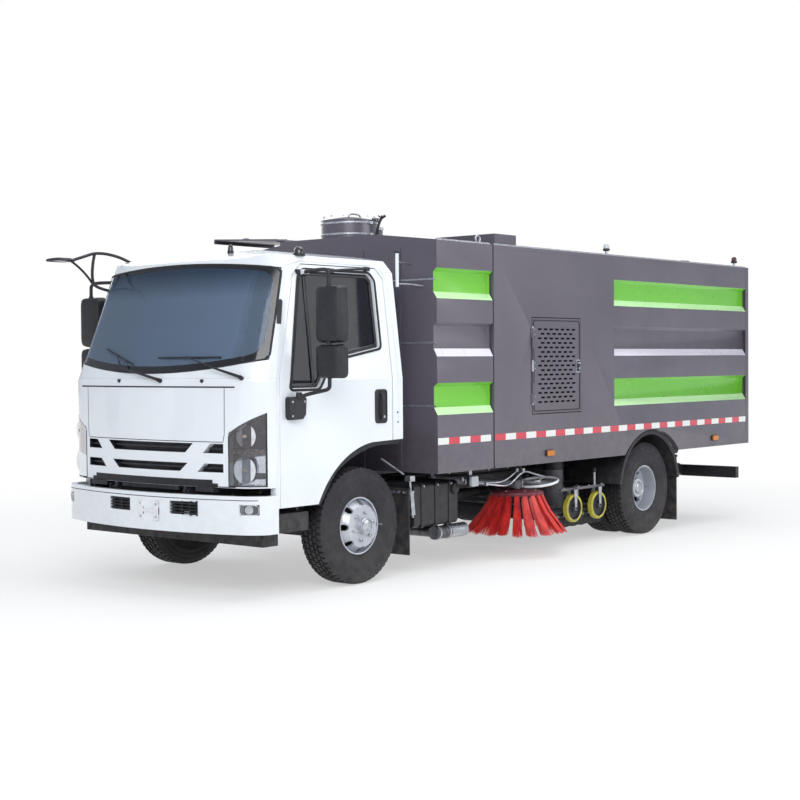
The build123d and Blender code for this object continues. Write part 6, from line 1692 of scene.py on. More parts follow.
class SWEEPER_OT_brush_gear(Operator):
    """Brush arms, motors, the white guard rings and the bent linkage rods"""
    bl_idname = "sweeper.brush_gear"
    bl_label = "Brush gear"

    def execute(self, context):
        white, steel, zinc = white_enamel(), finish("stainless"), finish("zinc")
        for side, sign in SIDES:
            bm = bmesh.new()
            ring = Vector((2.235, sign * 0.945, 0.572))
            # Guard ring tilted up at its rear, on three spokes
            count = 28
            loop = [ring + Vector((math.cos(math.tau * i / count) * 0.172, math.sin(math.tau * i / count) * 0.172,
                                   math.cos(math.tau * i / count) * 0.028)) for i in range(count)]
            pipe(bm, loop, 0.0115, 12, 0, closed=True)
            for angle in (0.35, 2.45, 4.55):
                tip = ring + Vector((math.cos(angle) * 0.170, math.sin(angle) * 0.170, math.cos(angle) * 0.028))
                rod(bm, ring + Vector((0, 0, -0.004)), tip, 0.007, 10)
            rod(bm, ring + Vector((0, 0, -0.016)), ring + Vector((0, 0, 0.016)), 0.026, 20)
            # Arm: pivot, boom with its gusset, sleeve with two clamp bolts
            pivot, head = Vector((1.320, sign * 0.560, 0.640)), Vector((BRUSH_X, sign * BRUSH_Y, 0.572))
            rod(bm, pivot - Vector((0, 0, 0.030)), pivot + Vector((0, 0, 0.030)), 0.035, 28, 1)
            rod(bm, pivot + Vector((0, 0, 0.030)), pivot + Vector((0, 0, 0.040)), 0.019, 6, 3)
            along = (head - pivot).normalized()
            rod(bm, pivot + along * 0.03, head - along * 0.05, 0.0295, 24, 1)
            turned(bm, [(0.0465, -0.030), (0.059, -0.030), (0.059, 0.030), (0.0465, 0.030)], head, (0, 0, 1), 40, 1,
                   closed=True)
            for dz in (-0.016, 0.016):
                tip = head + Vector((-0.02, sign * 0.057, dz))
                rod(bm, tip, tip + Vector((0, sign * 0.016, 0)), 0.009, 6, 3)
            rod(bm, head + Vector((0.055, 0, 0)), ring + Vector((-0.03, 0, -0.004)), 0.010, 12)
            # Bent linkage rods along the outside, with their ball ends
            link = [(1.38, 0.860, 0.628), (1.52, 0.960, 0.606), (1.70, 1.000, 0.576), (1.79, 1.000, 0.590),
                    (1.96, 1.000, 0.690), (2.12, 0.985, 0.652), (2.30, 0.985, 0.612)]
            pipe(bm, [(x, sign * y, z) for x, y, z in link], 0.009, 10, 2)
            link = [(1.44, 0.780, 0.640), (1.62, 0.930, 0.600), (1.80, 0.960, 0.612), (1.93, 0.960, 0.690)]
            pipe(bm, [(x, sign * y, z) for x, y, z in link], 0.008, 10, 2)
            for x, y, z in ((1.38, 0.860, 0.628), (1.52, 0.960, 0.606), (1.96, 1.000, 0.690), (1.44, 0.780, 0.640),
                            (1.93, 0.960, 0.690)):
                rod(bm, (x, sign * y, z - 0.014), (x, sign * y, z + 0.014), 0.014, 14, 3)
            piece(f"brush_arm_set_{side}", bm, f"brush_arm_{side}_body", "nozzle_steel",
                  [white, finish("machine grey"), steel, zinc], (f"brush_arm_{side}",), bevel=0.0015)
            # Motor: stepped housing, port block and two hose unions
            bm = bmesh.new()
            turned(bm, [(0.0445, 0.538), (0.0445, 0.618), (0.040, 0.622), (0.040, 0.680), (0.0445, 0.684),
                        (0.0445, 0.722), (0.036, 0.730)], (BRUSH_X, sign * BRUSH_Y, 0), (0, 0, 1), 36, 0)
            block(bm, 1.996, 2.024, sign * 0.886, sign * 0.914, 0.718, 0.736)
            for x in (2.003, 2.017):
                rod(bm, (x, sign * 0.888, 0.727), (x, sign * 0.868, 0.727), 0.006, 6, 1)
            for k in range(4):
                a = math.pi / 4 + math.pi / 2 * k
                spot = Vector((BRUSH_X + math.cos(a) * 0.030, sign * BRUSH_Y + math.sin(a) * 0.030, 0.728))
                rod(bm, spot, spot + Vector((0, 0, 0.008)), 0.0055, 6, 1)
            piece(f"brush_motor_{side}", bm, f"brush_head_{side}_body", "nozzle_steel",
                  [finish("cast iron"), zinc], (f"brush_head_{side}",), bevel=0.0015)
        return {"FINISHED"}


# ---- Suction nozzle

class SWEEPER_OT_nozzle(Operator):
    """Nozzle hood with its flaps and bolts, castor frames, handles and yellow castors"""
    bl_idname = "sweeper.nozzle"
    bl_label = "Suction nozzle"

    def execute(self, context):
        steel, zinc, rubber = finish("stainless"), finish("zinc"), finish("seal rubber")
        bm = bmesh.new()
        # Rubber skirts round the mouth, scalloped at their lower edge
        for sign in (-1, 1):
            for k in range(11):
                x = 2.60 + 0.064 * k
                block(bm, x - 0.030, x + 0.030, sign * 0.884, sign * 0.892, 0.150 + 0.004 * (k % 2), 0.262)
        for k in range(24):
            y = -0.84 + 0.073 * k
            block(bm, 3.300, 3.308, y - 0.034, y + 0.034, 0.140 + 0.004 * (k % 2), 0.262)
        for sign in (-1, 1):
            block(bm, 2.58, 3.26, sign * 0.892, sign * 0.897, 0.236, 0.262, 1)
        for k in range(9):
            for sign in (-1, 1):
                rod(bm, (2.62 + 0.075 * k, sign * 0.897, 0.249), (2.62 + 0.075 * k, sign * 0.904, 0.249), 0.007,
                    6, 2)
        # Silver bars, forks and handles over the painted frame
        for sign in (-1, 1):
            y = sign * 0.950
            rod(bm, (3.09, y, 0.485), (3.09, y, 0.618), 0.0115, 14, 1)
            rod(bm, (3.09, y, 0.600), (3.09, y, 0.640), 0.016, 14)
            for x in (2.62, 2.84, 3.0, 3.2):
                rod(bm, (x, y, 0.488), (x, y, 0.498), 0.010, 6, 2)
            for x in (2.75, 3.13):
                rod(bm, (x, sign * 0.977, 0.315), (x, sign * 0.986, 0.315), 0.016, 6, 2, 0.013)
                prism(bm, [(x - 0.026, sign * 0.980, 0.482), (x + 0.026, sign * 0.980, 0.482),
                           (x + 0.012, sign * 0.980, 0.300), (x - 0.012, sign * 0.980, 0.300)],
                      (0, sign * 0.006, 0), 1)
                block(bm, x - 0.026, x + 0.026, sign * 0.915, sign * 0.986, 0.474, 0.482, 1)
        piece("nozzle_trim", bm, "nozzle", "nozzle_steel", [rubber, steel, zinc], bevel=0.001)
        for name, x in (("nozzle_wheels_front", 2.750), ("nozzle_wheels_rear", 3.130)):
            bm = bmesh.new()
            for sign in (-1, 1):
                centre = Vector((x, sign * 0.950, 0.315))
                turned(bm, [(0.096, -0.022), (0.112, -0.025), (0.119, -0.018), (0.120, -0.006), (0.1185, 0.0),
                            (0.120, 0.006), (0.119, 0.018), (0.112, 0.025), (0.096, 0.022)], centre, (0, 1, 0), 64, 0,
                       closed=True)
                turned(bm, [(0.0125, -0.024), (0.030, -0.024), (0.034, -0.010), (0.086, -0.008), (0.090, -0.022),
                            (0.098, -0.022), (0.098, 0.022), (0.090, 0.022), (0.086, 0.008), (0.034, 0.010),
                            (0.030, 0.024), (0.0125, 0.024)], centre, (0, 1, 0), 48, 1, closed=True)
            rod(bm, (x, -0.972, 0.315), (x, 0.972, 0.315), 0.0118, 16, 2)
            piece(f"{name}_castors", bm, f"{name}_body", "caster_yellow",
                  [finish("castor"), finish("black plastic"), zinc], (name,), bevel=0.001)
        return {"FINISHED"}


# ---- Body trim

def lamp(bm, centre, out, size, lens_mat, shell_mat, depth=0.02):
    """Small lamp: shell with a rim and a lens a little proud of it."""
    centre, out = Vector(centre), Vector(out).normalized()
    up = Vector((0, 0, 1)) if abs(out.z) < 0.9 else Vector((1, 0, 0))
    side = out.cross(up).normalized()
    up = side.cross(out).normalized()
    for scale, low, high, mat in ((1.0, 0.0, 0.55, shell_mat), (0.84, 0.3, 1.0, lens_mat)):
        flat = rounded([(-size[0] * scale, -size[1] * scale), (size[0] * scale, -size[1] * scale),
                        (size[0] * scale, size[1] * scale), (-size[0] * scale, size[1] * scale)],
                       min(size) * 0.4 * scale)
        prism(bm, [centre + side * a + up * b + out * depth * low for a, b in flat], out * depth * (high - low), mat)


class SWEEPER_OT_tape(Operator):
    """Red and white reflective tape along both sides and across the tail"""
    bl_idname = "sweeper.tape"
    bl_label = "Reflective tape"

    def execute(self, context):
        body = context.scene.sweeper_body
        colours = [tape("white", "EEF0EC", "B9BDBB"), tape("red", "D8344B", "A01F33")]
        half, middle = body.tape_width / 2, body.tape_middle
        for name, owner, x0, x1, first in (("module_tape", "chassis", 0.732, 1.386, 0),
                                           ("hopper_tape", "hopper", 1.440, 5.592, 1)):
            count = round((x1 - x0) / body.tape_block)
            pitch = (x1 - x0) / count
            whole = bmesh.new()
            for colour in (0, 1):
                shape = bmesh.new()
                prism(shape, [(0, 0, -half), (pitch - 0.001, 0, -half), (pitch - 0.001, 0, half), (0, 0, half)],
                      (0, -0.0009, 0))
                number = (count + (1 if colour == first else 0)) // 2
                start = x0 + (0 if colour == first else pitch)
                place = Matrix.Translation((start, -1.1066, middle))
                strip = grown(row_tree(), place, shape, Count=number, Step=(2 * pitch, 0, 0), Rows=1,
                              Material=colours[colour])
                whole = joined(whole, taken_in(bmesh.new(), strip, colour))
            whole = joined(whole, mirrored(whole))
            piece(name, whole, owner, "body_grey", colours)
        tail = bmesh.new()
        for sign in (-1, 1):
            for k in range(4):
                y = sign * (1.03 - 0.14 * k)
                block(tail, 5.660, 5.6609, y - 0.069, y + 0.069, 0.955, 1.003, k % 2)
            for k in range(3):
                block(tail, 5.660, 5.6609, sign * 1.055, sign * 1.100, 1.06 + 0.14 * k,
                      1.198 + 0.14 * k, (k + 1) % 2)
        piece("tail_tape", tail, "tailgate_body", "body_grey", colours)
        return {"FINISHED"}


class SWEEPER_OT_body_lamps(Operator):
    """Side, roof edge, cab roof and work lamps"""
    bl_idname = "sweeper.body_lamps"
    bl_label = "Body lamps"

    def execute(self, context):
        black, zinc = finish("black plastic"), finish("zinc")
        amber, clear_lens = lens("amber", "E58A1F", 0.62), lens("clear", "E9EEF2", 0.45)
        red = lens("smoked red", "4A1F26", 0.7)
        bm = bmesh.new()
        for sign in (-1, 1):
            for x in (2.175, 4.949):
                lamp(bm, (x, sign * 1.1068, 0.820), (0, sign, 0), (0.058, 0.026), 1, 0, 0.022)
            for x, mat in ((3.10, 2), (5.42, 3)):
                spot = Vector((x, sign * 1.075, 2.478))
                rod(bm, spot, spot + Vector((0, 0, 0.030)), 0.012, 14, 4)
                turned(bm, [(0.022, 0.028), (0.030, 0.034), (0.030, 0.046), (0.024, 0.050)], spot, (0, 0, 1), 24, 0)
                turned(bm, [(0.024, 0.048), (0.026, 0.062), (0.022, 0.080), (0.010, 0.090)], spot, (0, 0, 1), 24, mat)
        piece("hopper_lamps", bm, "hopper", "lamp", [black, amber, clear_lens, red, zinc], smooth=40)
        bm = bmesh.new()
        for y, size in ((-0.893, 0.8), (-0.219, 0.45)):
            spot = landed(skin_of("cab_roof"), (-0.50, y, 3.0), (0, 0, -1))[0]
            turned(bm, [(0.052 * size, -0.004), (0.052 * size, 0.010), (0.046 * size, 0.016)], spot, (0, 0, 1), 28, 0)
            turned(bm, [(0.045 * size, 0.012), (0.044 * size, 0.032), (0.034 * size, 0.052), (0.014 * size, 0.062)],
                   spot, (0, 0, 1), 28, 1)
        piece("cab_roof_lamps", bm, "cab", "lamp", [black, lens("smoked", "3A3438", 0.8)], smooth=40)
        bm = bmesh.new()
        for sign in (-1, 1):
            lamp(bm, (1.250, sign * 1.008, 0.648), (0, sign, 0), (0.052, 0.046), 1, 0, 0.046)
            block(bm, 1.232, 1.268, sign * 0.985, sign * 1.010, 0.690, 0.739, 2)
            block(bm, 1.232, 1.268, sign * 0.985, sign * 1.009, 0.600, 0.700, 2)
            for x in (1.215, 1.285):
                rod(bm, (x, sign * 1.008, 0.612), (x, sign * 1.056, 0.612), 0.004, 8, 2)
        piece("work_lamps", bm, "chassis", "lamp", [black, clear_lens, zinc], bevel=0.001)
        return {"FINISHED"}


class SWEEPER_OT_side_seams(Operator):
    """Flanges that carry the banded sides on to the seam between module and hopper, and the wheel arch liners"""
    bl_idname = "sweeper.side_seams"
    bl_label = "Side seams"

    def execute(self, context):
        paints = [grey_enamel(), green_enamel(), pale_green_enamel(), pale_enamel()]
        outline = [(1.040, 0.742), (1.1055, 0.742)]
        for top, upper, lower, foot in reversed(BANDS):
            outline += [(1.1055, foot), (1.0735, lower), (1.0735, upper), (1.1055, top)]
        outline += [(1.1055, 2.468), (1.040, 2.476)]
        bm = bmesh.new()
        for sign in (-1, 1):
            prism(bm, [(1.386, sign * y, z) for y, z in outline], (0.034, 0, 0), 0)
        bmesh.ops.recalc_face_normals(bm, faces=bm.faces)
        # faces are painted as on the banded sides, the upward shelves in their painted sky highlight
        for face in bm.faces:
            centre = face.calc_center_median()
            face.material_index = band_paint(centre, face.normal) if abs(face.normal.x) < 0.5 else 0
        piece("seam_flanges", bm, "chassis", "body_grey", paints)
        bm = bmesh.new()
        for sign in (-1, 1):
            arc = [math.radians(8 + 164 * k / 30) for k in range(31)]
            rows = [[bm.verts.new((REAR_AXLE + math.cos(a) * radius, sign * y, AXLE_Z + math.sin(a) * radius))
                     for a in arc] for radius, y in ((0.520, 1.082), (0.520, 0.500), (0.508, 0.500), (0.508, 1.060),
                                                     (0.485, 1.070), (0.485, 1.082))]
            channel(bm, rows)
        piece("rear_fenders", bm, "chassis", "cab_plastic", [finish("arch plastic")], bevel=0.002)
        return {"FINISHED"}


class SWEEPER_OT_module_trim(Operator):
    """Front wall ribs, white post, lifting ring and drum fittings of the module, and the roof lid's ribs"""
    bl_idname = "sweeper.module_trim"
    bl_label = "Module trim"

    def execute(self, context):
        grey, zinc, white, black = grey_enamel(), finish("zinc"), white_enamel(), finish("black plastic")
        bm = bmesh.new()
        for z in (1.24, 1.71, 2.18):
            block(bm, 0.7265, 0.731, -1.098, 1.098, z - 0.006, z + 0.006, 1)
        for y in (-0.74, -0.37, 0.0, 0.37, 0.74):
            block(bm, 0.722, 0.731, y - 0.022, y + 0.022, 0.76, 2.42)
        # zinc bead along the roof's near edge: edge trim, its bright zinc also a painted highlight along that edge
        rod(bm, (0.735, -1.100, 2.4715), (1.388, -1.100, 2.4715), 0.008, 10, 1)
        # lifting ring on its foot, on the side that the lid leaves free
        foot = Vector((1.36, -1.010, 2.476))
        block(bm, 1.330, 1.390, -1.032, -0.988, 2.470, 2.486)
        loop = [foot + Vector((math.cos(a) * 0.028, 0, 0.034 + math.sin(a) * 0.028))
                for a in [math.tau * i / 18 for i in range(18)]]
        pipe(bm, loop, 0.0075, 8, 1, closed=True)
        # post with its stay and the pipe clamp
        post = (0.523, -0.900)
        rod(bm, (*post, 2.120), (*post, 2.372), 0.013, 14, 2)
        rod(bm, (*post, 2.366), (*post, 2.382), 0.018, 14, 3)
        pipe(bm, [(0.523, -0.900, 2.14), (0.60, -0.93, 2.150), (0.735, -0.98, 2.130)], 0.006, 8, 1)
        pipe(bm, [(0.523, -0.900, 2.30), (0.62, -0.88, 2.30), (0.735, -0.86, 2.30)], 0.008, 8, 1)
        piece("module_trim", bm, "chassis", "body_grey", [grey, zinc, white, black], bevel=0.0008)
        bm = bmesh.new()
        # drum: band clamps with toggles, lid rim, hinge and lock, pipe cap
        for z in (2.575, 2.665):
            turned(bm, [(0.2195, -0.010), (0.224, -0.008), (0.2265, 0.0), (0.224, 0.008), (0.2195, 0.010)],
                   (1.0, 0, z), (0, 0, 1), 64, 1, closed=True)
            block(bm, 0.985, 1.015, -0.240, -0.222, z - 0.011, z + 0.011, 1)
            rod(bm, (0.965, -0.234, z), (1.035, -0.234, z), 0.005, 8, 1)
        for k in range(12):
            a = math.tau * k / 12
            spot = Vector((1.0 + math.cos(a) * 0.204, math.sin(a) * 0.204, 2.716))
            rod(bm, spot, spot + Vector((0, 0, 0.008)), 0.008, 6, 1)
        pipe(bm, [(0.93, -0.06, 2.717), (0.93, -0.06, 2.744), (1.07, -0.06, 2.744), (1.07, -0.06, 2.717)], 0.007, 8,
             1)
        for y in (-0.09, 0.09):
            block(bm, 1.195, 1.245, y - 0.02, y + 0.02, 2.690, 2.724)
        rod(bm, (1.232, -0.125, 2.706), (1.232, 0.125, 2.706), 0.010, 12, 1)
        turned(bm, [(0.0285, -0.012), (0.034, -0.010), (0.034, 0.006), (0.0285, 0.008)], (1.240, -0.110, 2.640),
               (0, 0, 1), 24, 1, closed=True)
        # hood and small vane of the vent beside the drum
        pipe(bm, [(1.05, -0.235, 2.55), (1.05, -0.262, 2.64), (1.08, -0.275, 2.712), (1.14, -0.255, 2.724)], 0.011,
             10, 3)
        for a in (0.2, 1.5, 2.8, 4.1, 5.3):
            spot = Vector((1.08 + math.cos(a) * 0.034, -0.272 + math.sin(a) * 0.026, 2.722))
            rod(bm, (1.08, -0.272, 2.706), spot, 0.0075, 8, 3, 0.004)
        piece("drum_fittings", bm, "chassis", "body_grey", [grey, zinc, white, black], bevel=0.0008)
        # roof lid: stiffening ribs and handle, which ride on the lid
        tree = skin_of("roof_lid")
        bm = bmesh.new()
        for x in (0.86, 1.06, 1.26):
            a = landed(tree, (x, 0.56, 3.2), (0, 0, -1), 0.0)[0]
            b = landed(tree, (x, 1.18, 3.2), (0, 0, -1), 0.0)[0]
            rod(bm, a, b, 0.009, 8)
        a = landed(tree, (1.0, 1.17, 3.2), (0, 0, -1), 0.0)[0]
        pipe(bm, [a + Vector((x, 0, z)) for x, z in ((-0.05, -0.004), (-0.05, 0.024), (0.05, 0.024), (0.05, -0.004))],
             0.006, 8, 1)
        piece("roof_lid_trim", bm, "roof_lid_body", "body_grey", [grey, zinc])
        return {"FINISHED"}


class SWEEPER_OT_hopper_trim(Operator):
    """Roof beads: zinc edge trim that is also a painted highlight along the roof's edge; ribs and bolts and the sill
    strips of the hopper; hinges, bead and latch of its vent door
    """
    bl_idname = "sweeper.hopper_trim"
    bl_label = "Hopper trim"

    def execute(self, context):
        grey, zinc, chrome, black = grey_enamel(), finish("zinc"), finish("chrome"), finish("seal rubber")
        bm = bmesh.new()
        for sign in (-1, 1):
            side = sign * BODY_HALF
            # zinc beads along the roof's edges: edge trim, their bright zinc also a painted highlight along those
            # edges
            rod(bm, (1.440, sign * 1.100, 2.4715), (5.592, sign * 1.100, 2.4715), 0.008, 10, 1)
            for x0, x1 in ((1.44, 3.30), (4.33, 5.59)):
                block(bm, x0, x1, side - sign * 0.001, side + sign * 0.003, 0.742, 0.758)
        for k in range(8):
            x = 2.45 + 0.38 * k
            prism(bm, [(x - 0.02, -0.50, 2.539), (x + 0.02, -0.50, 2.539), (x + 0.012, -0.50, 2.549),
                       (x - 0.012, -0.50, 2.549)], (0, 1.0, 0), 0)
        # bolts along the roof's rear and front edges
        bolt = bmesh.new()
        turned(bolt, [(0.010, -0.001), (0.010, 0.006), (0.008, 0.008)], (0, 0, 0), (0, 0, 1), 6)
        line = grown(row_tree(), Matrix.Translation((2.20, -0.44, 2.540)), bolt, Count=2, Step=(3.25, 0, 0),
                     Rows=9, Row_Step=(0, 0.11, 0), Material=zinc)
        taken_in(bm, line, 1)
        piece("hopper_trim", bm, "hopper", "body_grey", [grey, zinc, chrome, black], bevel=0.0008)
        # vent door: hinges, frame bead and the chrome latch
        bm = bmesh.new()
        side = -BODY_HALF
        for z in (1.26, 1.53, 1.80):
            rod(bm, (1.940, side - 0.006, z - 0.045), (1.940, side - 0.006, z + 0.045), 0.009, 14, 1)
            block(bm, 1.945, 1.990, side - 0.006, side - 0.0005, z - 0.038, z + 0.038)
            for dz in (-0.022, 0.022):
                rod(bm, (1.972, side - 0.005, z + dz), (1.972, side - 0.010, z + dz), 0.006, 8, 1, 0.004)
        frame_line = rounded([(1.965, 1.165), (2.625, 1.165), (2.625, 1.895), (1.965, 1.895)], 0.02)
        pipe(bm, [(x, side - 0.001, z) for x, z in frame_line], 0.0045, 6, 2, closed=True, straight=True)
        plate = rounded([(2.574, 1.468), (2.634, 1.468), (2.634, 1.578), (2.574, 1.578)], 0.012)
        prism(bm, [(x, side, z) for x, z in plate], (0, -0.005, 0), 3)
        inner = rounded([(2.582, 1.480), (2.626, 1.480), (2.626, 1.566), (2.582, 1.566)], 0.010)
        prism(bm, [(x, side - 0.004, z) for x, z in inner], (0, -0.003, 0), 2)
        pipe(bm, [(2.590, side - 0.006, 1.548), (2.590, side - 0.022, 1.548), (2.618, side - 0.022, 1.548),
                  (2.618, side - 0.006, 1.548)], 0.005, 8, 3)
        rod(bm, (2.604, side - 0.004, 1.505), (2.604, side - 0.016, 1.505), 0.010, 16, 3)
        piece("vent_door_trim", bm, "vent_door_body", "body_grey", [grey, zinc, black, chrome], bevel=0.0006)
        return {"FINISHED"}


class SWEEPER_OT_tail_trim(Operator):
    """Tail door ribs, seal, sight glasses, clamps and handles; plate and reflectors of the rear guard"""
    bl_idname = "sweeper.tail_trim"
    bl_label = "Tail trim"

    def execute(self, context):
        grey, zinc, chrome, black = grey_enamel(), finish("zinc"), finish("chrome"), finish("seal rubber")
        tail = 5.660
        bm = bmesh.new()
        for y in (-0.72, 0.0, 0.72):
            low = 0.82 if y else 1.24
            prism(bm, [(tail - 0.001, y - 0.045, low), (tail + 0.004, y - 0.030, low), (tail + 0.004, y + 0.030, low),
                       (tail - 0.001, y + 0.045, low)], (0, 0, 2.36 - low), 0)
        for z in (1.30, 1.78, 2.26):
            for y0, y1 in ((-1.05, -0.77), (-0.67, -0.05), (0.05, 0.67), (0.77, 1.05)):
                prism(bm, [(tail - 0.001, y0, z - 0.035), (tail + 0.004, y0, z - 0.022),
                           (tail + 0.004, y0, z + 0.022), (tail - 0.001, y0, z + 0.035)], (0, y1 - y0, 0), 0)
        # rubber seal round the door, showing at its edge
        edge = rounded([(-1.092, 0.748), (1.092, 0.748), (1.092, 2.440), (-1.092, 2.440)], 0.03)
        pipe(bm, [(tail - 0.052, y, z) for y, z in edge], 0.010, 8, 3, closed=True, straight=True)
        # round sight glass and the suction coupling blank
        for y, z, size in ((-0.36, 2.02, 0.085), (0.36, 2.02, 0.085), (0.0, 0.95, 0.105)):
            turned(bm, [(size + 0.022, 0.0), (size + 0.022, 0.006), (size + 0.016, 0.008), (size, 0.008),
                        (size - 0.004, 0.002)], (tail - 0.002, y, z), (1, 0, 0), 40, 1)
            for k in range(8):
                a = math.tau * k / 8
                rod(bm, (tail + 0.004, y + math.cos(a) * (size + 0.011), z + math.sin(a) * (size + 0.011)),
                    (tail + 0.009, y + math.cos(a) * (size + 0.011), z + math.sin(a) * (size + 0.011)), 0.005, 6,
                    2)
            turned(bm, [(size - 0.002, 0.002), (size * 0.6, 0.004), (0.004, 0.005)], (tail - 0.002, y, z), (1, 0, 0),
                   40, 4 if z > 1.5 else 0)
        # side clamps with their tie rods
        for sign in (-1, 1):
            for z in (0.98, 1.52, 2.06):
                y = sign * 1.078
                block(bm, tail - 0.010, tail + 0.006, y - 0.020, y + 0.020, z - 0.045, z + 0.045, 1)
                rod(bm, (tail + 0.004, y, z - 0.030), (tail + 0.004, y, z + 0.030), 0.005, 8, 2)
        # grab handles
        for y in (-0.90, 0.90):
            pipe(bm, [(tail, y, 1.42), (tail + 0.008, y, 1.43), (tail + 0.008, y, 1.65), (tail, y, 1.66)], 0.006, 8, 1)
        piece("tailgate_trim", bm, "tailgate_body", "body_grey",
              [grey, zinc, chrome, black, lens("clear", "E9EEF2", 0.45)], bevel=0.0006)
        # tail plate bracket with its lamp, blank plate, and guard reflectors on the rear rail
        bm = bmesh.new()
        plate = rounded([(-0.22, 0.405), (0.22, 0.405), (0.22, 0.505), (-0.22, 0.505)], 0.012)
        prism(bm, [(5.520, y, z) for y, z in plate], (0.004, 0, 0), 0)
        plate = rounded([(-0.205, 0.412), (0.205, 0.412), (0.205, 0.498), (-0.205, 0.498)], 0.008)
        prism(bm, [(5.5235, y, z) for y, z in plate], (0.0015, 0, 0), 1)
        for y in (-0.17, 0.17):
            rod(bm, (5.5245, y, 0.488), (5.528, y, 0.488), 0.006, 6, 2)
        for sign in (-1, 1):
            for k in range(4):
                y = sign * (0.32 + 0.14 * k)
                block(bm, 5.5195, 5.5210, y - 0.069, y + 0.069, 0.430, 0.480, 3 + k % 2)
        piece("rear_guard_trim", bm, "chassis", "body_grey",
              [finish("black plastic"), finish("plate"), zinc, tape("red", "D8344B", "A01F33"),
               tape("white", "EEF0EC", "B9BDBB")], bevel=0.0005)
        return {"FINISHED"}


class SWEEPER_OT_underbody(Operator):
    """Tank straps and caps, air lines, exhaust clamps, spring bolts, flap fixings and the silver strut"""
    bl_idname = "sweeper.underbody"
    bl_label = "Underbody"

    def execute(self, context):
        black, zinc, steel, rubber = (finish("chassis"), finish("zinc"), finish("stainless"),
                                      finish("seal rubber"))
        bm = bmesh.new()
        for sign in (-1, 1):
            for x in (0.76, 0.925, 1.09):
                loop = rounded([(sign * 0.413, 0.328), (sign * 0.932, 0.328), (sign * 0.932, 0.662),
                                (sign * 0.413, 0.662)], 0.02)
                for (y0, z0), (y1, z1) in zip(loop, loop[1:] + loop[:1]):
                    prism(bm, [(x - 0.018, y0, z0), (x + 0.018, y0, z0), (x + 0.018, y1, z1), (x - 0.018, y1, z1)],
                          Vector((0, z1 - z0, y0 - y1)).normalized() * 0.003 * sign, 0)
                rod(bm, (x, sign * 0.934, 0.640), (x, sign * 0.950, 0.640), 0.008, 6, 1)
            turned(bm, [(0.045, -0.004), (0.045, 0.010), (0.040, 0.022), (0.012, 0.025)], (1.14, sign * 0.931, 0.600),
                   (0, sign, 0), 28, 0)
            # silver strut and air cylinder behind the front wheel
            top, low = Vector((0.572, sign * 0.965, 0.690)), Vector((0.600, sign * 0.968, 0.420))
            rod(bm, top, low, 0.010, 12, 2)
            rod(bm, top.lerp(low, 0.30), top.lerp(low, 0.92), 0.024, 18, 2)
            rod(bm, top.lerp(low, 0.26), top.lerp(low, 0.32), 0.029, 18, 1)
            block(bm, 0.545, 0.600, sign * 0.940, sign * 0.992, 0.690, 0.730, 1)
            pipe(bm, [(0.44, sign * 0.80, 0.86), (0.50, sign * 0.86, 0.80), (0.56, sign * 0.92, 0.74)], 0.008, 8, 2)
            # chassis bolts along the rails
            for k in range(22):
                x = -0.70 + 0.27 * k
                rod(bm, (x, sign * 0.414, 0.655), (x, sign * 0.426, 0.655), 0.011, 6, 1)
                rod(bm, (x + 0.03, sign * 0.414, 0.565), (x + 0.03, sign * 0.426, 0.565), 0.011, 6, 1)
            # flap clamps and screws
            for x, y0, y1 in ((0.515, 0.790, 0.980), (4.335, 0.560, 1.020)):
                block(bm, x - 0.006, x, sign * y0, sign * y1, 0.600, 0.626, 2)
                for k in range(4):
                    y = sign * (y0 + (y1 - y0) * (k + 0.5) / 4)
                    rod(bm, (x - 0.005, y, 0.613), (x - 0.012, y, 0.613), 0.007, 6, 1)
            # brake chambers on the rear axle, hoses to them
            rod(bm, (3.70, sign * 0.40, 0.47), (3.58, sign * 0.40, 0.49), 0.075, 28)
            rod(bm, (3.655, sign * 0.40, 0.478), (3.640, sign * 0.40, 0.480), 0.082, 28, 1)
            rod(bm, (3.70, sign * 0.40, 0.47), (3.77, sign * 0.41, 0.45), 0.010, 10, 1)
            pipe(bm, [(3.57, sign * 0.40, 0.50), (3.50, sign * 0.39, 0.56), (3.40, sign * 0.37, 0.60),
                      (3.30, sign * 0.39, 0.64)], 0.009, 8, 3)
            # spring clamps
            for axle in (0.0, REAR_AXLE):
                for dx in (-0.09, 0.09):
                    rod(bm, (axle + dx, sign * 0.455, 0.36), (axle + dx, sign * 0.455, 0.60), 0.008, 8, 1)
        # air lines and loom along the left rail
        for k, (y, z, size) in enumerate(((-0.432, 0.690, 0.007), (-0.434, 0.672, 0.006), (-0.436, 0.630, 0.010))):
            pipe(bm, [(-0.6, y, z), (0.2, y, z - 0.012), (0.6, y, z), (1.6, y, z), (2.4, y, z - 0.012), (3.4, y, z),
                      (4.4, y, z - 0.010), (5.3, y, z)], size, 8, 3)
        # exhaust clamps, hangers and the bright tail tip
        for x in (0.88, 1.32):
            turned(bm, [(0.0905, -0.012), (0.0955, -0.010), (0.0955, 0.010), (0.0905, 0.012)], (x, -0.25, 0.39),
                   (1, 0, 0), 40, 2, closed=True)
            rod(bm, (x, -0.25, 0.485), (x, -0.25, 0.56), 0.008, 8, 1)
        turned(bm, [(0.050, -0.10), (0.054, -0.098), (0.054, 0.098), (0.0485, 0.100), (0.0485, 0.06)],
               (1.20, -0.90, 0.27), (1, 0, 0), 40, 2)
        for x in (0.96, 1.08):
            turned(bm, [(0.0505, -0.009), (0.056, -0.007), (0.056, 0.007), (0.0505, 0.009)], (x, -0.90, 0.27),
                   (1, 0, 0), 36, 1, closed=True)
        piece("underbody_trim", bm, "chassis", "chassis_black", [black, zinc, steel, rubber], bevel=0.0006)
        return {"FINISHED"}


# ---- Cab interior

SEATS = ((-0.75, -0.25, (-0.5,)), (-0.12, 0.85, (0.125, 0.605)))


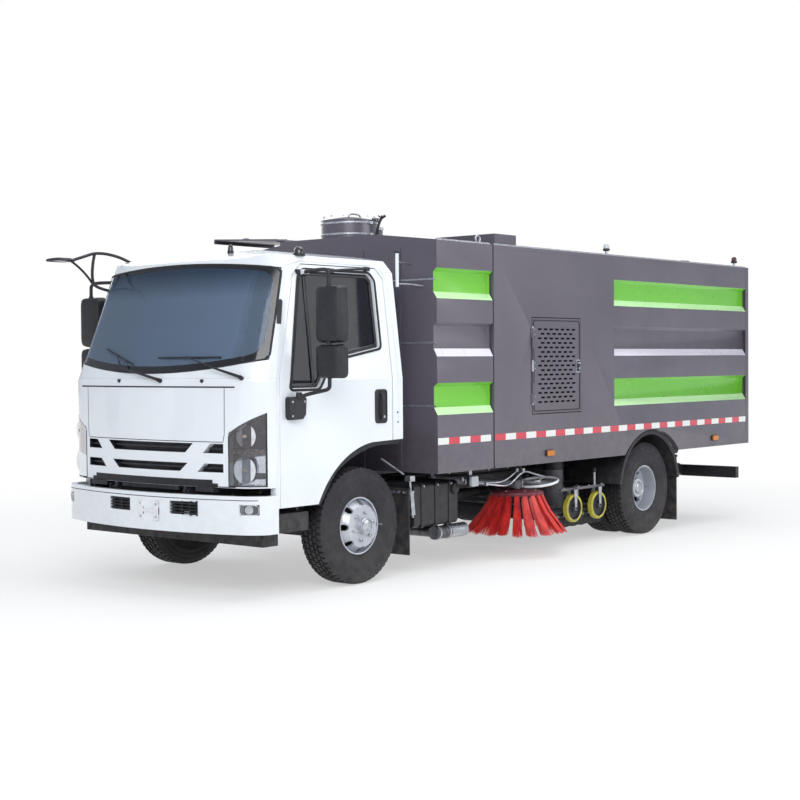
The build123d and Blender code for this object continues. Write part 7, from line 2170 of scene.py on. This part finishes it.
def stuffed(name, shape, voxel, cap):
    """Closed shape puffed up as sewn cloth round foam: remeshed, put under pressure, its swelling capped."""
    mesh = bpy.data.meshes.new(name)
    bmesh.ops.recalc_face_normals(shape, faces=shape.faces)
    shape.to_mesh(mesh)
    shape.free()
    scene = bpy.context.scene
    pad = bpy.data.objects.new(name, mesh)
    scene.collection.objects.link(pad)
    grid = pad.modifiers.new("grid", "REMESH")
    grid.mode = "VOXEL"
    grid.voxel_size = voxel
    bpy.context.view_layer.update()
    fine = bpy.data.meshes.new_from_object(pad.evaluated_get(bpy.context.evaluated_depsgraph_get()))
    pad.modifiers.remove(grid)
    pad.data = fine
    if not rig.quick():
        cloth = pad.modifiers.new("cloth", "CLOTH")
        cloth.settings.use_pressure = True
        cloth.settings.uniform_pressure_force = 4
        cloth.settings.quality = 3
        cloth.settings.effector_weights.gravity = 0
        cloth.point_cache.frame_start = 1
        cloth.point_cache.frame_end = 20
        for number in range(1, 21):
            scene.frame_set(number)
        puffed = bpy.data.meshes.new_from_object(pad.evaluated_get(bpy.context.evaluated_depsgraph_get()))
        pad.modifiers.remove(cloth)
        scene.frame_set(1)
        for old, new in zip(fine.vertices, puffed.vertices):
            move = new.co - old.co
            old.co += move * min(1.0, cap / max(move.length, 1e-6))
        bpy.data.meshes.remove(puffed)
    bpy.data.objects.remove(pad)
    return fine


class SWEEPER_OT_seats(Operator):
    """Driver's seat and bench: stuffed cushions, backs and head rests with sewn seams"""
    bl_idname = "sweeper.seats"
    bl_label = "Seats"

    def execute(self, context):
        bm = bmesh.new()
        inset = 0.009
        for y0, y1, centres in SEATS:
            outline = [(-0.412, 1.150), (-0.405, 1.235), (-0.36, 1.250), (0.048, 1.238), (0.048, 1.150)]
            prism(bm, [(x, y0 + inset, z) for x, z in outline], (0, y1 - y0 - 2 * inset, 0))
            outline = [(0.070, 1.155), (0.160, 1.155), (0.258, 1.788), (0.172, 1.790)]
            prism(bm, [(x, y0 + inset, z) for x, z in outline], (0, y1 - y0 - 2 * inset, 0))
            for y in centres:
                outline = [(0.180, 1.825), (0.250, 1.815), (0.268, 1.930), (0.205, 1.945)]
                prism(bm, [(x, y - 0.125, z) for x, z in outline], (0, 0.25, 0))
        mesh = stuffed("seat_cloth", bm, 0.015, 0.009)
        # seams: bolsters at each seat's sides, a cross seam, and the split of the bench
        for v in mesh.vertices:
            x, y, z = v.co
            for y0, y1, centres in SEATS:
                if y0 - 0.05 < y < y1 + 0.05 and z < 1.805:
                    lines = [abs(y - c - s * 0.150) for c in centres for s in (-1, 1)]
                    lines += [abs(x + 0.255) if z < 1.27 else abs(z - 1.33), abs(z - 1.62) if z > 1.27 else 9]
                    if len(centres) > 1:
                        lines.append(abs(y - 0.365))
                    near = min(lines)
                    sink = 0.006 * math.exp(-(near / 0.009) ** 2)
                    v.co -= v.normal * sink
        pads = piece("seat_cloth", mesh, "cab", "seat_cloth", [finish("seat cloth")], ("seat_pads",), smooth=70)
        soft = pads.modifiers.new("soft", "SUBSURF")
        soft.levels = soft.render_levels = 1
        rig.padded(pads, 0.7)
        bm = bmesh.new()
        for y0, y1, centres in SEATS:
            for y in centres:
                for dy in (-0.06, 0.06):
                    rod(bm, (0.213, y + dy, 1.775), (0.222, y + dy, 1.850), 0.006, 10)
                # buckle and webbing of the belt
                block(bm, -0.02, 0.02, y + 0.200, y + 0.226, 1.235, 1.300, 1)
                block(bm, -0.012, 0.012, y + 0.204, y + 0.222, 1.298, 1.306, 2)
            # recliner cover and slide rails under the base
            block(bm, 0.020, 0.110, y0 - 0.012, y0 - 0.001, 1.120, 1.230, 1)
            for y in (y0 + 0.09, y1 - 0.09):
                block(bm, -0.38, 0.02, y - 0.018, y + 0.018, 1.060, 1.072)
        piece("seat_fittings", bm, "cab", "cab_plastic", [finish("zinc"), finish("black plastic"),
                                                          lens("red", "B5182A", 0.6)], bevel=0.002)
        return {"FINISHED"}


class SWEEPER_OT_dashboard(Operator):
    """Dashboard with its binnacle, dials, vents and switches; steering wheel, levers, pedals and visors"""
    bl_idname = "sweeper.dashboard"
    bl_label = "Dashboard"

    def execute(self, context):
        black, vinyl, zinc = finish("black plastic"), finish("vinyl"), finish("zinc")
        dial = material("printed dial face", coat("D9DDE2", "C9CDD3", 60, (0.3, 0.4)))
        dressed("dashboard", [vinyl, black],
                lambda c, n: 1 if c.x > -0.72 and (c.z > 1.43 or c.x > -0.595) else 0, 0.004)
        bm = bmesh.new()
        # binnacle over the instruments
        outline = [(-0.755, 1.415), (-0.612, 1.368), (-0.622, 1.462), (-0.655, 1.492), (-0.765, 1.462)]
        prism(bm, [(x, -0.740, z) for x, z in outline], (0, 0.48, 0), 1)
        for y, size in ((-0.600, 0.052), (-0.470, 0.052), (-0.372, 0.030), (-0.300, 0.022)):
            spot = Vector((-0.6175, y, 1.415))
            out = (1, 0, 0.10)
            turned(bm, [(size + 0.006, -0.002), (size + 0.006, 0.004), (size, 0.004), (size - 0.002, 0.001)], spot,
                   out, 36, 0)
            turned(bm, [(size - 0.002, 0.001), (size * 0.5, 0.0012), (0.002, 0.0014)], spot, out, 36, 4)
            for k in range(9):
                a = math.radians(225 - 33.75 * k)
                tip = spot + Vector((0.003, math.cos(a) * size * 0.86, math.sin(a) * size * 0.86))
                rod(bm, spot + Vector((0.003, math.cos(a) * size * 0.70, math.sin(a) * size * 0.70)), tip,
                    0.0014, 6)
            rod(bm, spot + Vector((0.004, 0, 0)), spot + Vector((0.004, -size * 0.45, size * 0.5)), 0.0016, 6, 5)
        # centre stack: radio, knobs, switches; vents; glove box lid
        prism(bm, [(-0.602, -0.165, 1.130), (-0.602, 0.165, 1.130), (-0.602, 0.150, 1.352), (-0.602, -0.150, 1.352)],
              (0.014, 0, 0), 0)
        block(bm, -0.589, -0.584, -0.092, 0.092, 1.285, 1.335, 1)
        block(bm, -0.585, -0.582, -0.055, 0.055, 1.297, 1.324, 2)
        for y in (-0.078, 0.078):
            rod(bm, (-0.586, y, 1.310), (-0.572, y, 1.310), 0.010, 20, 3)
        for y in (-0.09, 0.0, 0.09):
            rod(bm, (-0.589, y, 1.215), (-0.566, y, 1.215), 0.022, 28, 1, 0.019)
            rod(bm, (-0.568, y, 1.215), (-0.563, y, 1.215), 0.012, 20, 3)
        for k in range(5):
            block(bm, -0.590, -0.578, -0.115 + 0.048 * k, -0.077 + 0.048 * k, 1.245, 1.272, 1)
        for y in (-0.84, -0.215, 0.215, 0.80):
            for k in range(6):
                z = 1.270 + 0.013 * k
                block(bm, -0.6005, -0.590, y - 0.045, y + 0.045, z, z + 0.004, 1)
            pipe(bm, [(-0.594, y - 0.052, 1.262), (-0.594, y + 0.052, 1.262), (-0.594, y + 0.052, 1.348),
                      (-0.594, y - 0.052, 1.348)], 0.005, 8, 0, closed=True, straight=True)
        lid = rounded([(0.300, 1.140), (0.740, 1.140), (0.740, 1.335), (0.300, 1.335)], 0.02)
        prism(bm, [(-0.600, y, z) for y, z in lid], (0.010, 0, 0), 2)
        block(bm, -0.592, -0.578, 0.485, 0.555, 1.300, 1.316, 1)
        # steering wheel pad, spokes' trim and column stalks
        lean = math.radians(35)
        axis = Vector((math.sin(lean), 0, math.cos(lean)))
        hub = Vector((-0.505, -0.500, 1.420))
        turned(bm, [(0.076, -0.022), (0.080, 0.004), (0.070, 0.020), (0.040, 0.027), (0.004, 0.029)], hub, axis, 40, 1)
        turned(bm, [(0.060, -0.150), (0.066, -0.060), (0.058, -0.026)], hub, axis, 32, 1)
        for sign in (-1, 1):
            start = hub - axis * 0.085 + Vector((0, sign * 0.05, 0))
            rod(bm, start, start + Vector((0.01, sign * 0.135, 0.02)), 0.007, 12, 1, 0.010)
        # gear and brake levers, pedals
        turned(bm, [(0.070, 0.0), (0.062, 0.030), (0.042, 0.060), (0.048, 0.080), (0.026, 0.110), (0.012, 0.130)],
               (-0.56, -0.150, 0.842), (0, 0, 1), 28, 0)
        pipe(bm, [(-0.56, -0.150, 0.95), (-0.57, -0.150, 1.10), (-0.53, -0.155, 1.26)], 0.008, 12, 3)
        turned(bm, [(0.012, -0.010), (0.024, 0.004), (0.026, 0.030), (0.016, 0.046)], (-0.53, -0.155, 1.262),
               (0.2, 0, 1), 24, 1)
        for y, half in ((-0.650, 0.034), (-0.530, 0.034), (-0.400, 0.026)):
            prism(bm, [(-0.800, y - half, 0.950), (-0.800, y + half, 0.950), (-0.830, y + half, 1.030),
                       (-0.830, y - half, 1.030)], (-0.012, 0, -0.004), 0)
            rod(bm, (-0.825, y, 1.010), (-0.860, y, 1.120), 0.007, 8, 3)
        piece("dashboard_fittings", bm, "cab", "cab_plastic",
              [black, finish("arch plastic"), vinyl, zinc, dial, lens("red", "B5182A", 0.6)], bevel=0.0012)
        bm = bmesh.new()
        for y0, y1 in ((-0.72, -0.20), (0.16, 0.68)):
            prism(bm, [(-0.748, y0, 2.110), (-0.748, y1, 2.110), (-0.722, y1, 2.225), (-0.722, y0, 2.225)],
                  (0.014, 0, -0.003), 0)
        prism(bm, [(-0.745, y, z) for y, z in rounded([(-0.12, 2.040), (0.10, 2.040), (0.10, 2.105),
                                                          (-0.12, 2.105)], 0.02)], (0.012, 0, 0.002), 1)
        rod(bm, (-0.742, -0.01, 2.09), (-0.720, -0.01, 2.20), 0.006, 10, 1)
        piece("visors", bm, "cab", "cab_plastic", [finish("felt"), black], bevel=0.004)
        for side, sign in SIDES:
            tree = skin_of(f"door_{side}")
            wall = landed(tree, (-0.15, sign * 0.5, 1.32), (0, sign, 0))[0]
            bm = bmesh.new()
            y0, y1 = sorted((wall.y + sign * 0.004, wall.y - sign * 0.052))
            block(bm, -0.38, 0.12, y0, y1, 1.290, 1.345)
            pipe(bm, [(-0.33, wall.y, 1.40), (-0.33, wall.y - sign * 0.045, 1.40),
                      (-0.10, wall.y - sign * 0.045, 1.44), (-0.10, wall.y, 1.44)], 0.011, 12, 0)
            turned(bm, [(0.085, -0.002), (0.088, 0.006), (0.078, 0.010), (0.074, 0.004), (0.030, 0.008),
                        (0.004, 0.010)], (-0.42, wall.y, 1.00), (0, -sign, 0), 40, 1)
            rod(bm, (0.10, wall.y, 1.21), (0.10, wall.y - sign * 0.030, 1.21), 0.016, 18)
            rod(bm, (0.10, wall.y - sign * 0.026, 1.21), (0.02, wall.y - sign * 0.034, 1.235), 0.008, 10)
            rod(bm, (0.02, wall.y - sign * 0.026, 1.235), (0.02, wall.y - sign * 0.062, 1.235), 0.011, 12)
            piece(f"door_trim_{side}", bm, f"door_{side}_body", "cab_plastic", [black, vinyl], bevel=0.003)
        return {"FINISHED"}


# ---- Add-on

CLASSES = [value for value in list(globals().values()) if isinstance(value, type) and value.__module__ == __name__
           and issubclass(value, (PropertyGroup, Operator)) and value not in (PropertyGroup, Operator)]
STEPS = [value.bl_idname for value in CLASSES if issubclass(value, Operator)]
GROUPS = {"sweeper_paint": SweeperPaint, "sweeper_wheels": SweeperWheels, "sweeper_brushes": SweeperBrushes,
          "sweeper_body": SweeperBody, "sweeper_stage": SweeperStage}


class SWEEPER_PT_sidebar(Panel):
    """Sizes, colours and pieces of the sweeper"""
    bl_label = "Street sweeper"
    bl_idname = "SWEEPER_PT_sidebar"
    bl_space_type = "VIEW_3D"
    bl_region_type = "UI"
    bl_category = "Sweeper"

    def draw(self, context):
        for key in GROUPS:
            group = getattr(context.scene, key)
            box = self.layout.box()
            for name in group.bl_rna.properties.keys():
                if name not in ("rna_type", "name"):
                    box.prop(group, name)
        for step in STEPS:
            self.layout.operator(step)


def register():
    for item in [*CLASSES, SWEEPER_PT_sidebar]:
        bpy.utils.register_class(item)
    for key, group in GROUPS.items():
        setattr(bpy.types.Scene, key, PointerProperty(type=group))


def unregister():
    for key in GROUPS:
        delattr(bpy.types.Scene, key)
    for item in reversed([*CLASSES, SWEEPER_PT_sidebar]):
        bpy.utils.unregister_class(item)


def main():
    register()
    for step in STEPS:
        family, name = step.split(".")
        getattr(getattr(bpy.ops, family), name)()
    dressed_box = [list(corner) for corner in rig.bounds()]
    with open("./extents.json", "w") as size_file:
        json.dump({"cad": CAD_BOX, "visual": dressed_box}, size_file)


if __name__ == "__main__":
    main()
